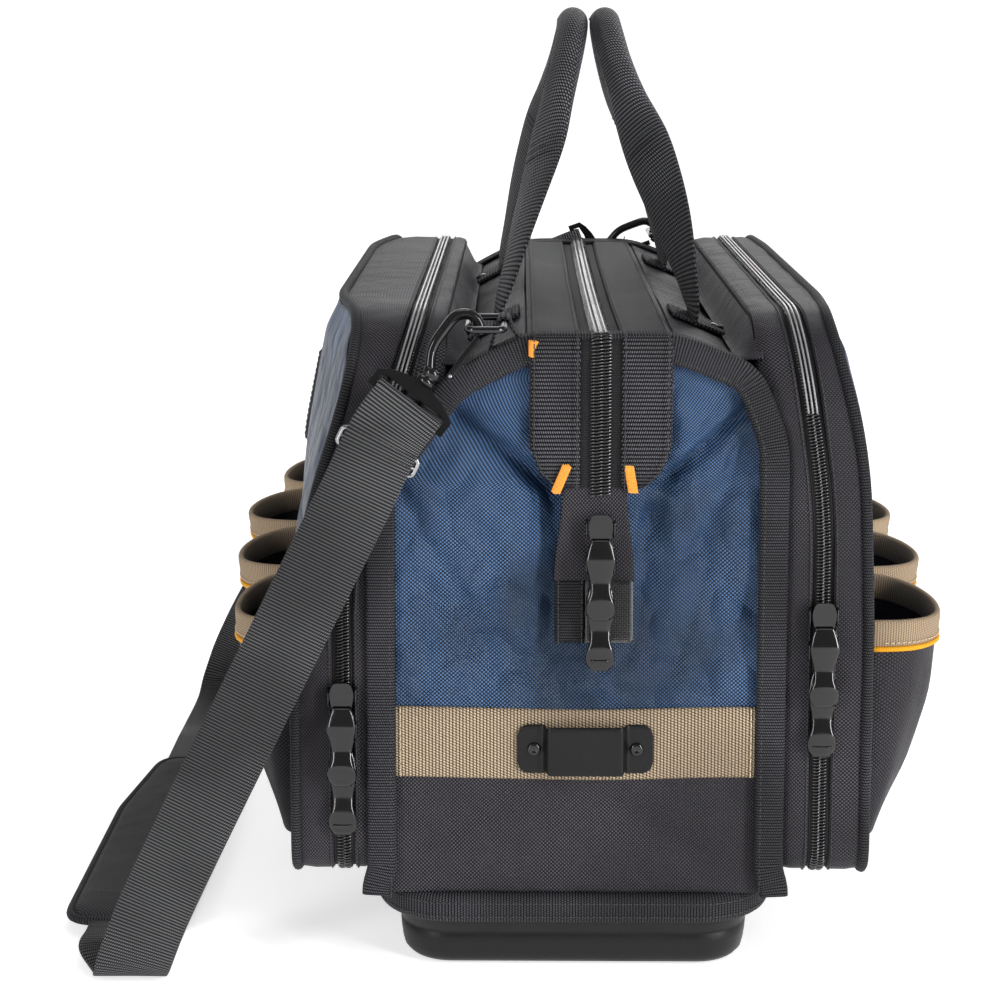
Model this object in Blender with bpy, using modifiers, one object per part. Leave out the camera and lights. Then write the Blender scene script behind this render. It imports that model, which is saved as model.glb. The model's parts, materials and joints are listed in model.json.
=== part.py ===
"""Soft tool bag on a moulded base: a zipped main compartment between two side compartments
whose lids hinge outwards, open pockets on the lids, two carrying handles and a shoulder strap.

Metres, +Z up. X runs across the bag, Y along it with the near end at -Y, and the origin is the
centre of the underside of the moulded base.
"""

import math
from dataclasses import dataclass

import bmesh
import bpy
from mathutils import Matrix, Vector

# Fits
GAP = 0.0003
SEAT = 0.0006
OVERRUN = 0.002

# Main compartment
BAG_LENGTH = 0.457
TOP_HEIGHT = 0.338
TOP_SHIFT = 0.012
WALL = 0.003

# Moulded base and the doubled binding round its rim
TRAY_WIDTH = 0.190
TRAY_SET_IN = 0.010
TRAY_HEIGHT = 0.031
TRAY_CORNER = 0.030
TRAY_WALL = 0.003
TRAY_FOOT_ROUND = 0.011
BASE_BINDING_WIDTH = 0.009
BASE_BINDING_HEIGHT = 0.015
BASE_BINDING_OVERLAP = 0.0015

# Ribbed arch binding round each end
ARCH_DEPTH = 0.012
ARCH_PROUD = 0.003
ARCH_THICKNESS = 0.004

# Tan webbing band across each end
BAND_HEIGHT = 0.038
BAND_BELOW_PULL = 0.0214
BAND_THICKNESS = 0.0016

# Tape clip riveted to the near band
CLIP_WIDTH = 0.070
CLIP_HEIGHT = 0.026
CLIP_SEAT = 0.003
CLIP_OFFSET = 0.005
CLIP_METAL = 0.0012
CLIP_BRIDGE = 0.036
CLIP_RISE = 0.0062
RIVET_SPACING = 0.053
RIVET_RADIUS = 0.0036
RIVET_HEAD = 0.0018

# Top flaps, each with half of the main zip and one webbing band
FLAP_REACH = 0.0385
FLAP_BAND_INNER = 0.0105
FLAP_BAND_WIDTH = 0.025
FLAP_BAND_RISE = 0.0015

# Webbing and zip tongue over each end, its tail and the hook-and-loop patch
TONGUE_HALF_WIDTH = 0.0363
TONGUE_TAPER_DROP = 0.055
TONGUE_DROP = 0.0795
TONGUE_FOOT_HALF_WIDTH = 0.0155
TAIL_BELOW_SLIDER = 0.027
TAIL_HALF_WIDTH = 0.0200
TAIL_OFFSET = -0.003
PATCH_HEIGHT = 0.0343
PATCH_WIDTH = 0.040
PATCH_THICKNESS = 0.0015

# Zip sliders and pulls
SLIDER_WIDTH = 0.016
SLIDER_WAIST = 0.011
SLIDER_LENGTH = 0.016
SLIDER_DEPTH = 0.0075
SLIDER_STEP = 0.0185
MAIN_SLIDER_DROP = 0.017
UPPER_PULL_LENGTH = 0.042
LOWER_PULL_LENGTH = 0.046
PULL_HALF_WIDTH = 0.0078
PULL_THICKNESS = 0.0034
PULL_HEAD = 0.0008
LOWER_PULL_DROP = 0.0024
LOWER_PULL_SET_BACK = 0.0004

# Side compartments
LID_FOOT = 0.055
LID_RISE = 0.008
LID_CORNER = 0.032
LID_TOE = 0.012
GUSSET = 0.002

# Pockets
POCKET_COUNT = 4
POCKET_END_MARGIN = 0.0125
POCKET_WIDTH = 0.098
POCKET_FOOT = 0.070
POCKET_RIM = 0.186
POCKET_WALL = 0.002
POCKET_TOE_REACH = 0.012
POCKET_TURN_STEPS = 12
POCKET_SQUARENESS = 0.7
POCKET_HEIGHT_SHARES = (0.0, 0.28, 0.62, 1.0)
POCKET_REACH_SHARES = (0.0, 0.50, 0.86, 1.0)

# Carrying handles: webbing folded round a padded core
HANDLE_FOOT_Y = 0.125
HANDLE_FOOT_X = 0.0545
HANDLE_RISE = 0.167
HANDLE_RISE_CLEARANCE = 0.0007
HANDLE_WEB_WIDTH = 0.038
HANDLE_WEB_THICKNESS = 0.0024
HANDLE_END_THICKNESS = 0.0010
GRIP_RADIUS = 0.0100
GRIP_TOUCH_CLEARANCE = 0.0006

# Rings and their webbing tabs
RING_SET_IN = 0.002
RING_RISE = 0.0075
RING_WIDTH = 0.018
RING_LENGTH = 0.046
RING_WIRE = 0.0018
RING_CORNER = 0.004
TAB_LENGTH = 0.019
TAB_INSET = 0.001
TAB_BASE = 0.0160
TAB_HOLE_CLEARANCE = 0.0004
TAB_STRAP = 0.0018

# Snap hooks
HOOK_THICKNESS = 0.005
HOOK_CROOK_AT = 0.034
HOOK_OUTER = 0.0105
HOOK_INNER = 0.0062
HOOK_BASE = 0.009
HOOK_BASE_HALF_WIDTH = 0.0055
HOOK_NOSE_ANGLE = math.radians(-70.0)
HOOK_RING_SEAT = 0.0030
GATE_THICKNESS = 0.0036
GATE_LEVEL = -0.0080
GATE_PIVOT_AT = 0.0112
GATE_TAIL = 0.0020
GATE_NOSE_CLEARANCE = 0.0004
EYE_WIDTH = 0.046
EYE_HEIGHT = 0.016
EYE_BAR = 0.003
EYE_HEAD = 0.0045
NEAR_HOOK_DIRECTION = Vector((0.60, 0.21, 0.77)).normalized()
FAR_HOOK_DIRECTION = Vector((0.94, 0.0, 0.34)).normalized()
NEAR_HOOK_STANDOFF = 0.006
FAR_HOOK_STANDOFF = 0.0105
NEAR_TAB_REACH = 0.049
FAR_TAB_REACH = 0.0695

# Shoulder strap
STRAP_WIDTH = 0.038
STRAP_THICKNESS = 0.0024
STRAP_LOOP_RADIUS = 0.0038
STRAP_LAYER = 0.0016
STRAP_TAIL = 0.020
STRAP_STEPS = 4
GLIDE_LENGTH = 0.009
GLIDE_WALL = 0.0024
GLIDE_CLEARANCE = 0.0005
GLIDE_STRAIGHT_STEPS = 3
GLIDE_BEYOND_EYE = 0.0138
GLIDE_BELOW_EYE = 0.0218

# Where the strap lies: past each end, down to a fold on the floor, and along it
STRAP_STANDOFF = 0.019
STRAP_FLOOR_HEIGHT = 0.003
NEAR_FALL_X = -0.217
NEAR_FALL_HEIGHT = 0.043
NEAR_FOLD_X = -0.235
NEAR_FOLD_Y = -0.228
FAR_FALL_X = -0.218
FAR_FALL_HEIGHT = 0.072
FAR_FOLD_X = -0.247
FAR_FOLD_Y = 0.218
FLOOR_REST_Y = 0.155
TUNNEL_LEAD = 0.011
TUNNEL_RUN_UP = 0.017
TUNNEL_RUN_OUT = 0.032
RUN_OUT_STEP = 0.013

# Shoulder pad
PAD_X = -0.245
PAD_NEAR_Y = -0.185
PAD_FAR_Y = 0.070
PAD_WIDTH = 0.068
PAD_THICKNESS = 0.016
PAD_CORNER = 0.012
PAD_TAPER_FROM_Y = -0.020
PAD_END_WIDTH = 0.048
PAD_TUNNEL_CLEARANCE = 0.0008

# Worked-out places
TRAY_LENGTH = BAG_LENGTH - TRAY_SET_IN
POCKET_PITCH = (BAG_LENGTH - 2 * POCKET_END_MARGIN) / POCKET_COUNT
LID_TOP = TOP_HEIGHT + LID_RISE
TONGUE_FOOT = TOP_HEIGHT - TONGUE_DROP
MAIN_SLIDER_HEIGHT = TONGUE_FOOT - MAIN_SLIDER_DROP
TAIL_FOOT = MAIN_SLIDER_HEIGHT - TAIL_BELOW_SLIDER
LOWER_PULL_PIVOT_DROP = SLIDER_STEP + SLIDER_LENGTH / 2 + LOWER_PULL_DROP
LOWER_PULL_END = MAIN_SLIDER_HEIGHT - LOWER_PULL_PIVOT_DROP + PULL_HEAD - LOWER_PULL_LENGTH
BAND_FOOT = LOWER_PULL_END - BAND_BELOW_PULL - BAND_HEIGHT
CLIP_FOOT = BAND_FOOT + CLIP_SEAT
RING_HEIGHT = TOP_HEIGHT + RING_RISE
END_Y = BAG_LENGTH / 2
WALL_FOOT = TRAY_HEIGHT - BASE_BINDING_OVERLAP + BASE_BINDING_HEIGHT + GAP
END_PANEL_TOP = TOP_HEIGHT - WALL - GAP
TONGUE_TOP = TOP_HEIGHT - ARCH_DEPTH - GAP
END_SURFACE = END_Y + GAP + WALL
GRIP_REACH = GRIP_RADIUS + GRIP_TOUCH_CLEARANCE
PAD_STRAP_HEIGHT = PAD_THICKNESS / 2

X_AXIS = Vector((1, 0, 0))
Y_AXIS = Vector((0, 1, 0))
Z_AXIS = Vector((0, 0, 1))


@dataclass(frozen=True)
class Side:
    """The sizes of one side of the bag, measured outwards from the middle."""

    name: str
    sign: int
    wall: float
    bend_drop: float
    corner_x: float
    corner_drop: float
    zip_x: float
    zip_bend_drop: float
    zip_top_x: float
    face_x: float
    face_bend_drop: float
    face_top_x: float
    slider_rise: float
    pocket_reaches: tuple

    @property
    def wall_bend(self):
        """Height at which the side wall starts to lean in."""
        return TOP_HEIGHT - self.bend_drop

    @property
    def corner_z(self):
        """Height of the shoulder, where the wall meets the strip along the top."""
        return TOP_HEIGHT - self.corner_drop

    @property
    def zip_bend(self):
        """Height at which the zip starts to lean in."""
        return LID_TOP - self.zip_bend_drop

    @property
    def face_bend(self):
        """Height at which the lid's face starts to lean in."""
        return LID_TOP - self.face_bend_drop

    @property
    def slider_height(self):
        """Height of the upper of the two sliders."""
        return LID_FOOT + self.slider_rise

    @property
    def flap_edge(self):
        """Where the top flap ends and the strip that carries the handle starts."""
        return FLAP_REACH + self.sign * TOP_SHIFT

    def wall_profile(self):
        """Outer face of the side wall, from its foot to the flap's edge."""
        return [
            (self.wall, WALL_FOOT),
            (self.wall, self.wall_bend),
            (self.corner_x, self.corner_z),
            (self.flap_edge, TOP_HEIGHT),
        ]

    @property
    def strip_lean(self):
        """How far the strip's cut edge leans in under the flap's edge."""
        run = self.corner_x - self.flap_edge
        drop = TOP_HEIGHT - self.corner_z
        return WALL * drop / math.hypot(run, drop)

    def strip_height(self, x):
        """Height of the strip between the flap and the shoulder, x from the middle."""
        share = (x - self.flap_edge) / (self.corner_x - self.flap_edge)
        return TOP_HEIGHT + (self.corner_z - TOP_HEIGHT) * share

    def lean(self, z, foot_x, bend, top_x):
        """X of a face that is upright to its bend and then leans in."""
        share = max(0.0, (z - bend) / (LID_TOP - bend))
        return foot_x + (top_x - foot_x) * share

    def zip_at(self, z):
        """X of the zip's plane at height z."""
        return self.lean(z, self.zip_x, self.zip_bend, self.zip_top_x)

    def face_at(self, z):
        """X of the lid's outer face at height z."""
        return self.lean(z, self.face_x, self.face_bend, self.face_top_x)

    def back_at(self, z):
        """X of the compartment's back, just outside the side wall."""
        span = self.corner_z - self.wall_bend
        share = min(1.0, max(0.0, (z - self.wall_bend) / span))
        return self.wall + (self.corner_x - self.wall) * share + SEAT


LEFT = Side(
    name="left",
    sign=-1,
    wall=0.105,
    bend_drop=0.076,
    corner_x=0.066,
    corner_drop=0.0205,
    zip_x=0.1205,
    zip_bend_drop=0.126,
    zip_top_x=0.081,
    face_x=0.147,
    face_bend_drop=0.096,
    face_top_x=0.129,
    slider_rise=0.097,
    pocket_reaches=(0.036, 0.049, 0.057, 0.046),
)
RIGHT = Side(
    name="right",
    sign=1,
    wall=0.105,
    bend_drop=0.053,
    corner_x=0.0906,
    corner_drop=0.016,
    zip_x=0.1265,
    zip_bend_drop=0.096,
    zip_top_x=0.1125,
    face_x=0.152,
    face_bend_drop=0.066,
    face_top_x=0.136,
    slider_rise=0.140,
    pocket_reaches=(0.046, 0.055, 0.057, 0.050),
)
SIDES = (LEFT, RIGHT)


@dataclass(frozen=True)
class Finish:
    """Colour and surface of one material."""

    name: str
    colour: tuple
    roughness: float
    metallic: float = 0.0

    def material(self):
        """The Principled material of this finish, made on first use."""
        found = bpy.data.materials.get(self.name)
        if found:
            return found
        made = bpy.data.materials.new(self.name)
        made.use_nodes = True
        shader = made.node_tree.nodes["Principled BSDF"]
        shader.inputs["Base Color"].default_value = (*self.colour, 1.0)
        shader.inputs["Roughness"].default_value = self.roughness
        shader.inputs["Metallic"].default_value = self.metallic
        return made


MOULDED_BLACK = Finish("moulded_black", (0.035, 0.035, 0.037), 0.55)
NYLON_BLACK = Finish("nylon_black", (0.028, 0.027, 0.030), 0.75)
NYLON_BLUE = Finish("nylon_blue", (0.040, 0.105, 0.285), 0.6)
WEB_BLACK = Finish("web_black", (0.022, 0.022, 0.024), 0.8)
WEB_TAN = Finish("web_tan", (0.52, 0.40, 0.26), 0.8)
METAL_BLACK = Finish("metal_black", (0.02, 0.02, 0.022), 0.25, 1.0)
METAL_BRIGHT = Finish("metal_bright", (0.45, 0.45, 0.46), 0.3, 1.0)


def clear_scene():
    """Remove whatever the file opened with."""
    for obj in list(bpy.data.objects):
        bpy.data.objects.remove(obj, do_unlink=True)


def new_collection(name):
    """A collection under the scene's own."""
    collection = bpy.data.collections.new(name)
    bpy.context.scene.collection.children.link(collection)
    return collection


clear_scene()
PARTS = new_collection("tool_bag")
CUTTERS = new_collection("tool_bag_cutters")


def joint_empty(name, location):
    """An empty on a joint's axis, which the moving pieces hang from."""
    empty = bpy.data.objects.new(name, None)
    empty.location = location
    PARTS.objects.link(empty)
    return empty


def add_object(name, data, finish, joint=None):
    """Link a new object with its material, on its joint's empty if it moves."""
    data.materials.append(finish.material())
    obj = bpy.data.objects.new(name, data)
    PARTS.objects.link(obj)
    if joint is not None:
        obj.parent = joint
        obj.matrix_parent_inverse = Matrix.Translation(-joint.location)
    return obj


def facing(origin, across, up):
    """The frame of a flat outline: its x runs across, its y up."""
    across = Vector(across).normalized()
    up = Vector(up).normalized()
    normal = across.cross(up)
    frame = Matrix((across, up, normal)).transposed().to_4x4()
    frame.translation = origin
    return frame


def plate(name, outline, thickness, frame, finish, joint=None, holes=()):
    """A flat piece: a filled 2D outline, extruded half its thickness either way."""
    curve = bpy.data.curves.new(name, "CURVE")
    curve.dimensions = "2D"
    curve.fill_mode = "BOTH"
    curve.extrude = thickness / 2
    for loop in (outline, *holes):
        spline = curve.splines.new("POLY")
        spline.points.add(len(loop) - 1)
        for point, (x, y) in zip(spline.points, loop):
            point.co = (x, y, 0.0, 1.0)
        spline.use_cyclic_u = True
    obj = add_object(name, curve, finish, joint)
    obj.matrix_basis = frame
    return obj


def mesh_object(name, bm, finish, joint=None):
    """Turn a finished bmesh into an object."""
    mesh = bpy.data.meshes.new(name)
    bm.to_mesh(mesh)
    bm.free()
    return add_object(name, mesh, finish, joint)


def quads_between(bm, loops, wrap):
    """Quads from each loop of vertices to the next, closed round where wrap is set."""
    faces = []
    for low, high in zip(loops, loops[1:]):
        count = len(low)
        last = count if wrap else count - 1
        for i in range(last):
            j = (i + 1) % count
            faces.append(bm.faces.new((low[i], low[j], high[j], high[i])))
    return faces


def sheet_shell(name, rows, thickness, core, finish, joint=None, wrap=False, backs=()):
    """An open surface through rows of points that faces away from core, given a wall inwards.

    backs names rows whose own loop is closed by strips between its two mirrored halves.
    """
    bm = bmesh.new()
    loops = [[bm.verts.new(point) for point in row] for row in rows]
    faces = quads_between(bm, loops, wrap)
    for index in backs:
        loop = loops[index]
        half = len(loop) // 2
        for i in range(half - 1):
            faces.append(bm.faces.new((loop[i], loop[i + 1], loop[-i - 2], loop[-i - 1])))
    bm.normal_update()
    bmesh.ops.recalc_face_normals(bm, faces=faces)
    outward = sum((f.calc_center_median() - core).dot(f.normal) * f.calc_area() for f in faces)
    if outward < 0:
        bmesh.ops.reverse_faces(bm, faces=faces)
    obj = mesh_object(name, bm, finish, joint)
    shell = obj.modifiers.new("wall", "SOLIDIFY")
    shell.thickness = thickness
    shell.offset = -1.0
    shell.use_even_offset = True
    return obj


def walled(name, outer, inner, finish, joint=None):
    """A closed wall between two open surfaces whose rows match."""
    bm = bmesh.new()
    grids = [[[bm.verts.new(point) for point in row] for row in rows] for rows in (outer, inner)]
    edges = []
    for grid in grids:
        quads_between(bm, grid, False)
        left = [row[0] for row in grid]
        right = [row[-1] for row in grid]
        edges.append(grid[0] + right[1:] + grid[-1][-2::-1] + left[-2:0:-1])
    quads_between(bm, edges, True)
    bmesh.ops.recalc_face_normals(bm, faces=bm.faces)
    return mesh_object(name, bm, finish, joint)


def loft(name, sections, finish, joint=None, ring=False):
    """A closed solid through sections of equal count, capped at its ends or joined in a ring."""
    bm = bmesh.new()
    loops = [[bm.verts.new(point) for point in section] for section in sections]
    if ring:
        loops.append(loops[0])
    else:
        bm.faces.new(loops[0])
        bm.faces.new(loops[-1])
    quads_between(bm, loops, True)
    bmesh.ops.recalc_face_normals(bm, faces=bm.faces)
    return mesh_object(name, bm, finish, joint)


def arc(centre, radius, start, stop, steps):
    """Points along an arc, both ends included."""
    cx, cy = centre
    turns = [start + (stop - start) * i / steps for i in range(steps + 1)]
    return [(cx + radius * math.cos(t), cy + radius * math.sin(t)) for t in turns]


def rounded_rectangle(half_x, half_y, radius, steps=4):
    """Outline of a rectangle with round corners, centred on zero."""
    points = []
    corners = ((1, 1), (-1, 1), (-1, -1), (1, -1))
    for turn, (sx, sy) in enumerate(corners):
        centre = (sx * (half_x - radius), sy * (half_y - radius))
        start = turn * math.pi / 2
        points += arc(centre, radius, start, start + math.pi / 2, steps)
    return points


def level(outline, z):
    """Lift a flat outline to height z."""
    return [Vector((x, y, z)) for x, y in outline]


def inset(profile, distance):
    """Move an upward profile inwards by a distance, mitred at its corners."""
    directions = []
    for (x0, z0), (x1, z1) in zip(profile, profile[1:]):
        length = math.hypot(x1 - x0, z1 - z0)
        directions.append((-(z1 - z0) / length, (x1 - x0) / length))
    moved = []
    for i, (x, z) in enumerate(profile):
        before = directions[max(i - 1, 0)]
        after = directions[min(i, len(directions) - 1)]
        nx = before[0] + after[0]
        nz = before[1] + after[1]
        scale = 2 * distance / (nx * nx + nz * nz)
        moved.append((x + nx * scale, z + nz * scale))
    return moved


def side_to_side(right_profile, left_profile):
    """Join two upward profiles into one outline across the bag."""
    right = list(right_profile)
    left = [(-x, z) for x, z in reversed(left_profile)]
    return right + left


def body_outline(distance, top, top_inset=0.0):
    """The body's outline seen from the end, inset, with a flat top and foot."""
    halves = []
    for side in (RIGHT, LEFT):
        profile = inset(side.wall_profile(), distance)
        profile[-1] = (side.flap_edge - top_inset, top)
        profile[0] = (profile[0][0], WALL_FOOT)
        halves.append(profile)
    return side_to_side(*halves)


def end_frame(y):
    """A frame for outlines in X and Z at one end of the bag."""
    return facing((0, y, 0), X_AXIS, Z_AXIS)


def build_base():
    """Moulded tray and the binding round its rim."""
    half_x = TRAY_WIDTH / 2
    half_y = TRAY_LENGTH / 2

    def tray_loop(inward, z):
        radius = TRAY_CORNER - inward
        return level(rounded_rectangle(half_x - inward, half_y - inward, radius), z)

    foot_turns = [math.radians(angle) for angle in (0, 30, 60, 90)]
    foot = [
        tray_loop(TRAY_FOOT_ROUND * (1 - math.sin(t)), TRAY_FOOT_ROUND * (1 - math.cos(t)))
        for t in foot_turns
    ]
    inside = TRAY_WALL
    floor_inward = TRAY_WALL + TRAY_FOOT_ROUND / 2
    sections = foot + [
        tray_loop(0, TRAY_HEIGHT),
        tray_loop(inside, TRAY_HEIGHT),
        tray_loop(inside, TRAY_FOOT_ROUND),
        tray_loop(floor_inward, TRAY_WALL),
    ]
    loft("base_tray", sections, MOULDED_BLACK)

    binding_foot = TRAY_HEIGHT - BASE_BINDING_OVERLAP
    binding_top = binding_foot + BASE_BINDING_HEIGHT

    def binding_loop(outward, z):
        radius = TRAY_CORNER + outward
        return level(rounded_rectangle(half_x + outward, half_y + outward, radius), z)

    inner = GAP
    outer = GAP + BASE_BINDING_WIDTH
    cycle = [
        binding_loop(outer, binding_foot),
        binding_loop(outer, binding_top),
        binding_loop(inner, binding_top),
        binding_loop(inner, binding_foot),
    ]
    loft("base_binding", cycle, WEB_BLACK, ring=True)


def build_side_wall(side):
    """Side of the main compartment, over the shoulder to the edge of the top flap."""
    rows = []
    for x, z in side.wall_profile():
        rows.append([Vector((side.sign * x, y, z)) for y in (-END_Y, END_Y)])
    core = Vector((0, 0, side.wall_bend / 2))
    sheet_shell(f"{side.name}_side_wall", rows, WALL, core, NYLON_BLACK)


def build_end(name, sign):
    """End panel with its arch binding, tan band and tongue."""
    panel_y = sign * (END_Y - WALL / 2)
    outline = body_outline(WALL + GAP, END_PANEL_TOP, WALL)
    plate(f"{name}_end_panel", outline, WALL, end_frame(panel_y), NYLON_BLUE)

    outer = body_outline(-ARCH_PROUD, TOP_HEIGHT + ARCH_PROUD)
    inner = body_outline(ARCH_DEPTH, TOP_HEIGHT - ARCH_DEPTH)
    arch_y = sign * (END_Y + GAP + ARCH_THICKNESS / 2)
    arch = outer + list(reversed(inner))
    plate(f"{name}_arch_binding", arch, ARCH_THICKNESS, end_frame(arch_y), WEB_BLACK)

    band_y = sign * (END_Y + GAP + BAND_THICKNESS / 2)
    left_x = -(LEFT.wall - ARCH_DEPTH - GAP)
    right_x = RIGHT.wall - ARCH_DEPTH - GAP
    band_top = BAND_FOOT + BAND_HEIGHT
    band = [(left_x, BAND_FOOT), (right_x, BAND_FOOT), (right_x, band_top), (left_x, band_top)]
    plate(f"{name}_tan_band", band, BAND_THICKNESS, end_frame(band_y), WEB_TAN)

    tongue_y = sign * (END_Y + GAP + WALL / 2)
    half = [
        (TONGUE_FOOT_HALF_WIDTH, TONGUE_FOOT),
        (TONGUE_HALF_WIDTH, TOP_HEIGHT - TONGUE_TAPER_DROP),
        (TONGUE_HALF_WIDTH, TONGUE_TOP),
    ]
    tongue = [(TOP_SHIFT + x, z) for x, z in half]
    tongue += [(TOP_SHIFT - x, z) for x, z in reversed(half)]
    plate(f"{name}_zip_tongue", tongue, WALL, end_frame(tongue_y), WEB_BLACK)


def build_tail_and_patch():
    """Fabric tail of the main zip at the near end and the hook-and-loop patch under it."""
    tail_x = TOP_SHIFT + TAIL_OFFSET
    tail_top = TONGUE_FOOT - GAP
    tail_y = -(END_Y + GAP + WALL / 2)
    tail = [
        (tail_x - TAIL_HALF_WIDTH, TAIL_FOOT),
        (tail_x + TAIL_HALF_WIDTH, TAIL_FOOT),
        (tail_x + TONGUE_FOOT_HALF_WIDTH, tail_top),
        (tail_x - TONGUE_FOOT_HALF_WIDTH, tail_top),
    ]
    plate("zip_tail", tail, WALL, end_frame(tail_y), NYLON_BLACK)

    top = TAIL_FOOT - GAP
    foot = top - PATCH_HEIGHT
    x0 = tail_x - PATCH_WIDTH / 2
    x1 = x0 + PATCH_WIDTH
    y = -(END_Y + GAP + PATCH_THICKNESS / 2)
    outline = [(x0, foot), (x1, foot), (x1, top), (x0, top)]
    plate("hook_patch", outline, PATCH_THICKNESS, end_frame(y), NYLON_BLACK)


def build_clip():
    """Tape clip on the near band: two riveted wings and a raised bridge."""
    back = -(END_Y + GAP + BAND_THICKNESS + GAP)
    wing = CLIP_WIDTH / 2
    bridge = CLIP_BRIDGE / 2
    ramp = bridge + CLIP_RISE / 2
    outline = [
        (-wing, 0),
        (-ramp, 0),
        (-bridge, -CLIP_RISE + CLIP_METAL),
        (bridge, -CLIP_RISE + CLIP_METAL),
        (ramp, 0),
        (wing, 0),
        (wing, -CLIP_METAL),
        (ramp + CLIP_METAL / 2, -CLIP_METAL),
        (bridge + CLIP_METAL / 2, -CLIP_RISE),
        (-bridge - CLIP_METAL / 2, -CLIP_RISE),
        (-ramp - CLIP_METAL / 2, -CLIP_METAL),
        (-wing, -CLIP_METAL),
    ]
    middle = CLIP_FOOT + CLIP_HEIGHT / 2
    frame = facing((CLIP_OFFSET, back, middle), X_AXIS, Y_AXIS)
    plate("tape_clip", outline, CLIP_HEIGHT, frame, METAL_BLACK)

    head_y = back - CLIP_METAL - GAP - RIVET_HEAD / 2
    for name, sign in (("left", -1), ("right", 1)):
        x = CLIP_OFFSET + sign * RIVET_SPACING / 2
        head = arc((x, middle), RIVET_RADIUS, 0, 2 * math.pi, 16)[:-1]
        plate(f"clip_rivet_{name}", head, RIVET_HEAD, end_frame(head_y), METAL_BLACK)


def build_flap(side):
    """Half of the top between the zip and the handle, hinged at its outer edge."""
    edge = TOP_SHIFT + side.sign * FLAP_REACH
    joint = joint_empty(f"{side.name}_flap_hinge", (edge, 0, TOP_HEIGHT))
    low = TOP_HEIGHT - WALL
    high = TOP_HEIGHT + FLAP_BAND_RISE
    band_outer = FLAP_BAND_INNER + FLAP_BAND_WIDTH
    reach = FLAP_REACH - side.strip_lean - GAP
    half = [
        (GAP / 2, low),
        (reach, low),
        (reach, TOP_HEIGHT),
        (band_outer, TOP_HEIGHT),
        (band_outer, high),
        (FLAP_BAND_INNER, high),
        (FLAP_BAND_INNER, TOP_HEIGHT),
        (GAP / 2, TOP_HEIGHT),
    ]
    outline = [(TOP_SHIFT + side.sign * x, z) for x, z in half]
    length = 2 * (END_Y - GAP)
    plate(f"{side.name}_flap", outline, length, end_frame(0), WEB_BLACK, joint)


def lid_half_outline(side):
    """Near half of the compartment's outline in Y and Z, from its foot to its top."""
    toe_centre = (-(END_Y - LID_TOE), LID_FOOT + LID_TOE)
    corner_centre = (-(END_Y - LID_CORNER), LID_TOP - LID_CORNER)
    points = arc(toe_centre, LID_TOE, -math.pi / 2, -math.pi, 3)
    bends = sorted({side.wall_bend, side.zip_bend, side.face_bend})
    points += [(-END_Y, z) for z in bends if z < corner_centre[1]]
    points += arc(corner_centre, LID_CORNER, math.pi, math.pi / 2, 5)
    return points


def lid_loop(side, place, inward=0.0):
    """The compartment's whole outline on the face that place gives, x for each height."""
    near = lid_half_outline(side)
    scale_y = (END_Y - inward) / END_Y
    middle = (LID_FOOT + LID_TOP) / 2
    scale_z = (LID_TOP - middle - inward) / (LID_TOP - middle)
    shrunk = [(y * scale_y, middle + (z - middle) * scale_z) for y, z in near]
    whole = shrunk + [(-y, z) for y, z in reversed(shrunk)]
    return [Vector((side.sign * place(z), y, z)) for y, z in whole]


def build_compartment(side):
    """Fixed back of a side compartment and its hinged lid."""
    zip_gap = GAP / 2
    middle = (LID_FOOT + LID_TOP) / 2
    inside = Vector((side.sign * side.zip_x, 0, middle))

    back = lid_loop(side, side.back_at)
    mouth = lid_loop(side, lambda z: side.zip_at(z) - zip_gap)
    name = f"{side.name}_compartment"
    sheet_shell(name, [mouth, back], GUSSET, inside, NYLON_BLACK, wrap=True, backs=(1,))

    joint = joint_empty(f"{side.name}_lid_hinge", (side.sign * side.zip_x, 0, LID_FOOT))
    inner = lid_loop(side, lambda z: side.zip_at(z) + zip_gap)
    outer = lid_loop(side, lambda z: side.face_at(z) - WALL - GAP)
    name = f"{side.name}_lid_gusset"
    sheet_shell(name, [inner, outer], GUSSET, inside, NYLON_BLACK, joint, wrap=True)

    face = lid_loop(side, side.face_at)
    half = len(face) // 2
    rows = [[face[i], face[-i - 1]] for i in range(half)]
    centre = Vector((0, 0, middle))
    sheet_shell(f"{side.name}_lid_panel", rows, WALL, centre, NYLON_BLUE, joint)
    build_pockets(side, joint)


def pocket_row(side, centre_y, half_width, out, z):
    """Half a squared ellipse at height z, from the lid out and back to it."""
    base = side.face_at(z) + SEAT
    steps = POCKET_TURN_STEPS
    turns = [math.pi * i / steps for i in range(steps + 1)]
    row = []
    for turn in turns:
        x = side.sign * (base + out * math.sin(turn) ** POCKET_SQUARENESS)
        row.append(Vector((x, centre_y - half_width * math.cos(turn), z)))
    return row


def build_pockets(side, joint):
    """Open pockets in a row on the lid, drawn in towards their feet."""
    half_width = POCKET_WIDTH / 2
    inner_width = half_width - POCKET_WALL
    rise = POCKET_RIM - POCKET_FOOT
    for index in range(POCKET_COUNT):
        centre_y = (index - (POCKET_COUNT - 1) / 2) * POCKET_PITCH
        swell = side.pocket_reaches[index] - POCKET_TOE_REACH
        foot = POCKET_FOOT
        floor = POCKET_FOOT + POCKET_WALL
        outer = [pocket_row(side, centre_y, half_width, 0.0, foot)]
        inner = [pocket_row(side, centre_y, inner_width, 0.0, floor)]
        for height_share, reach_share in zip(POCKET_HEIGHT_SHARES, POCKET_REACH_SHARES):
            z = foot + rise * height_share
            out = POCKET_TOE_REACH + swell * reach_share
            outer.append(pocket_row(side, centre_y, half_width, out, z))
            inner_z = max(z, floor)
            inner.append(pocket_row(side, centre_y, inner_width, out - POCKET_WALL, inner_z))
        walled(f"{side.name}_pocket_{index + 1}", outer, inner, NYLON_BLACK, joint)


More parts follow.
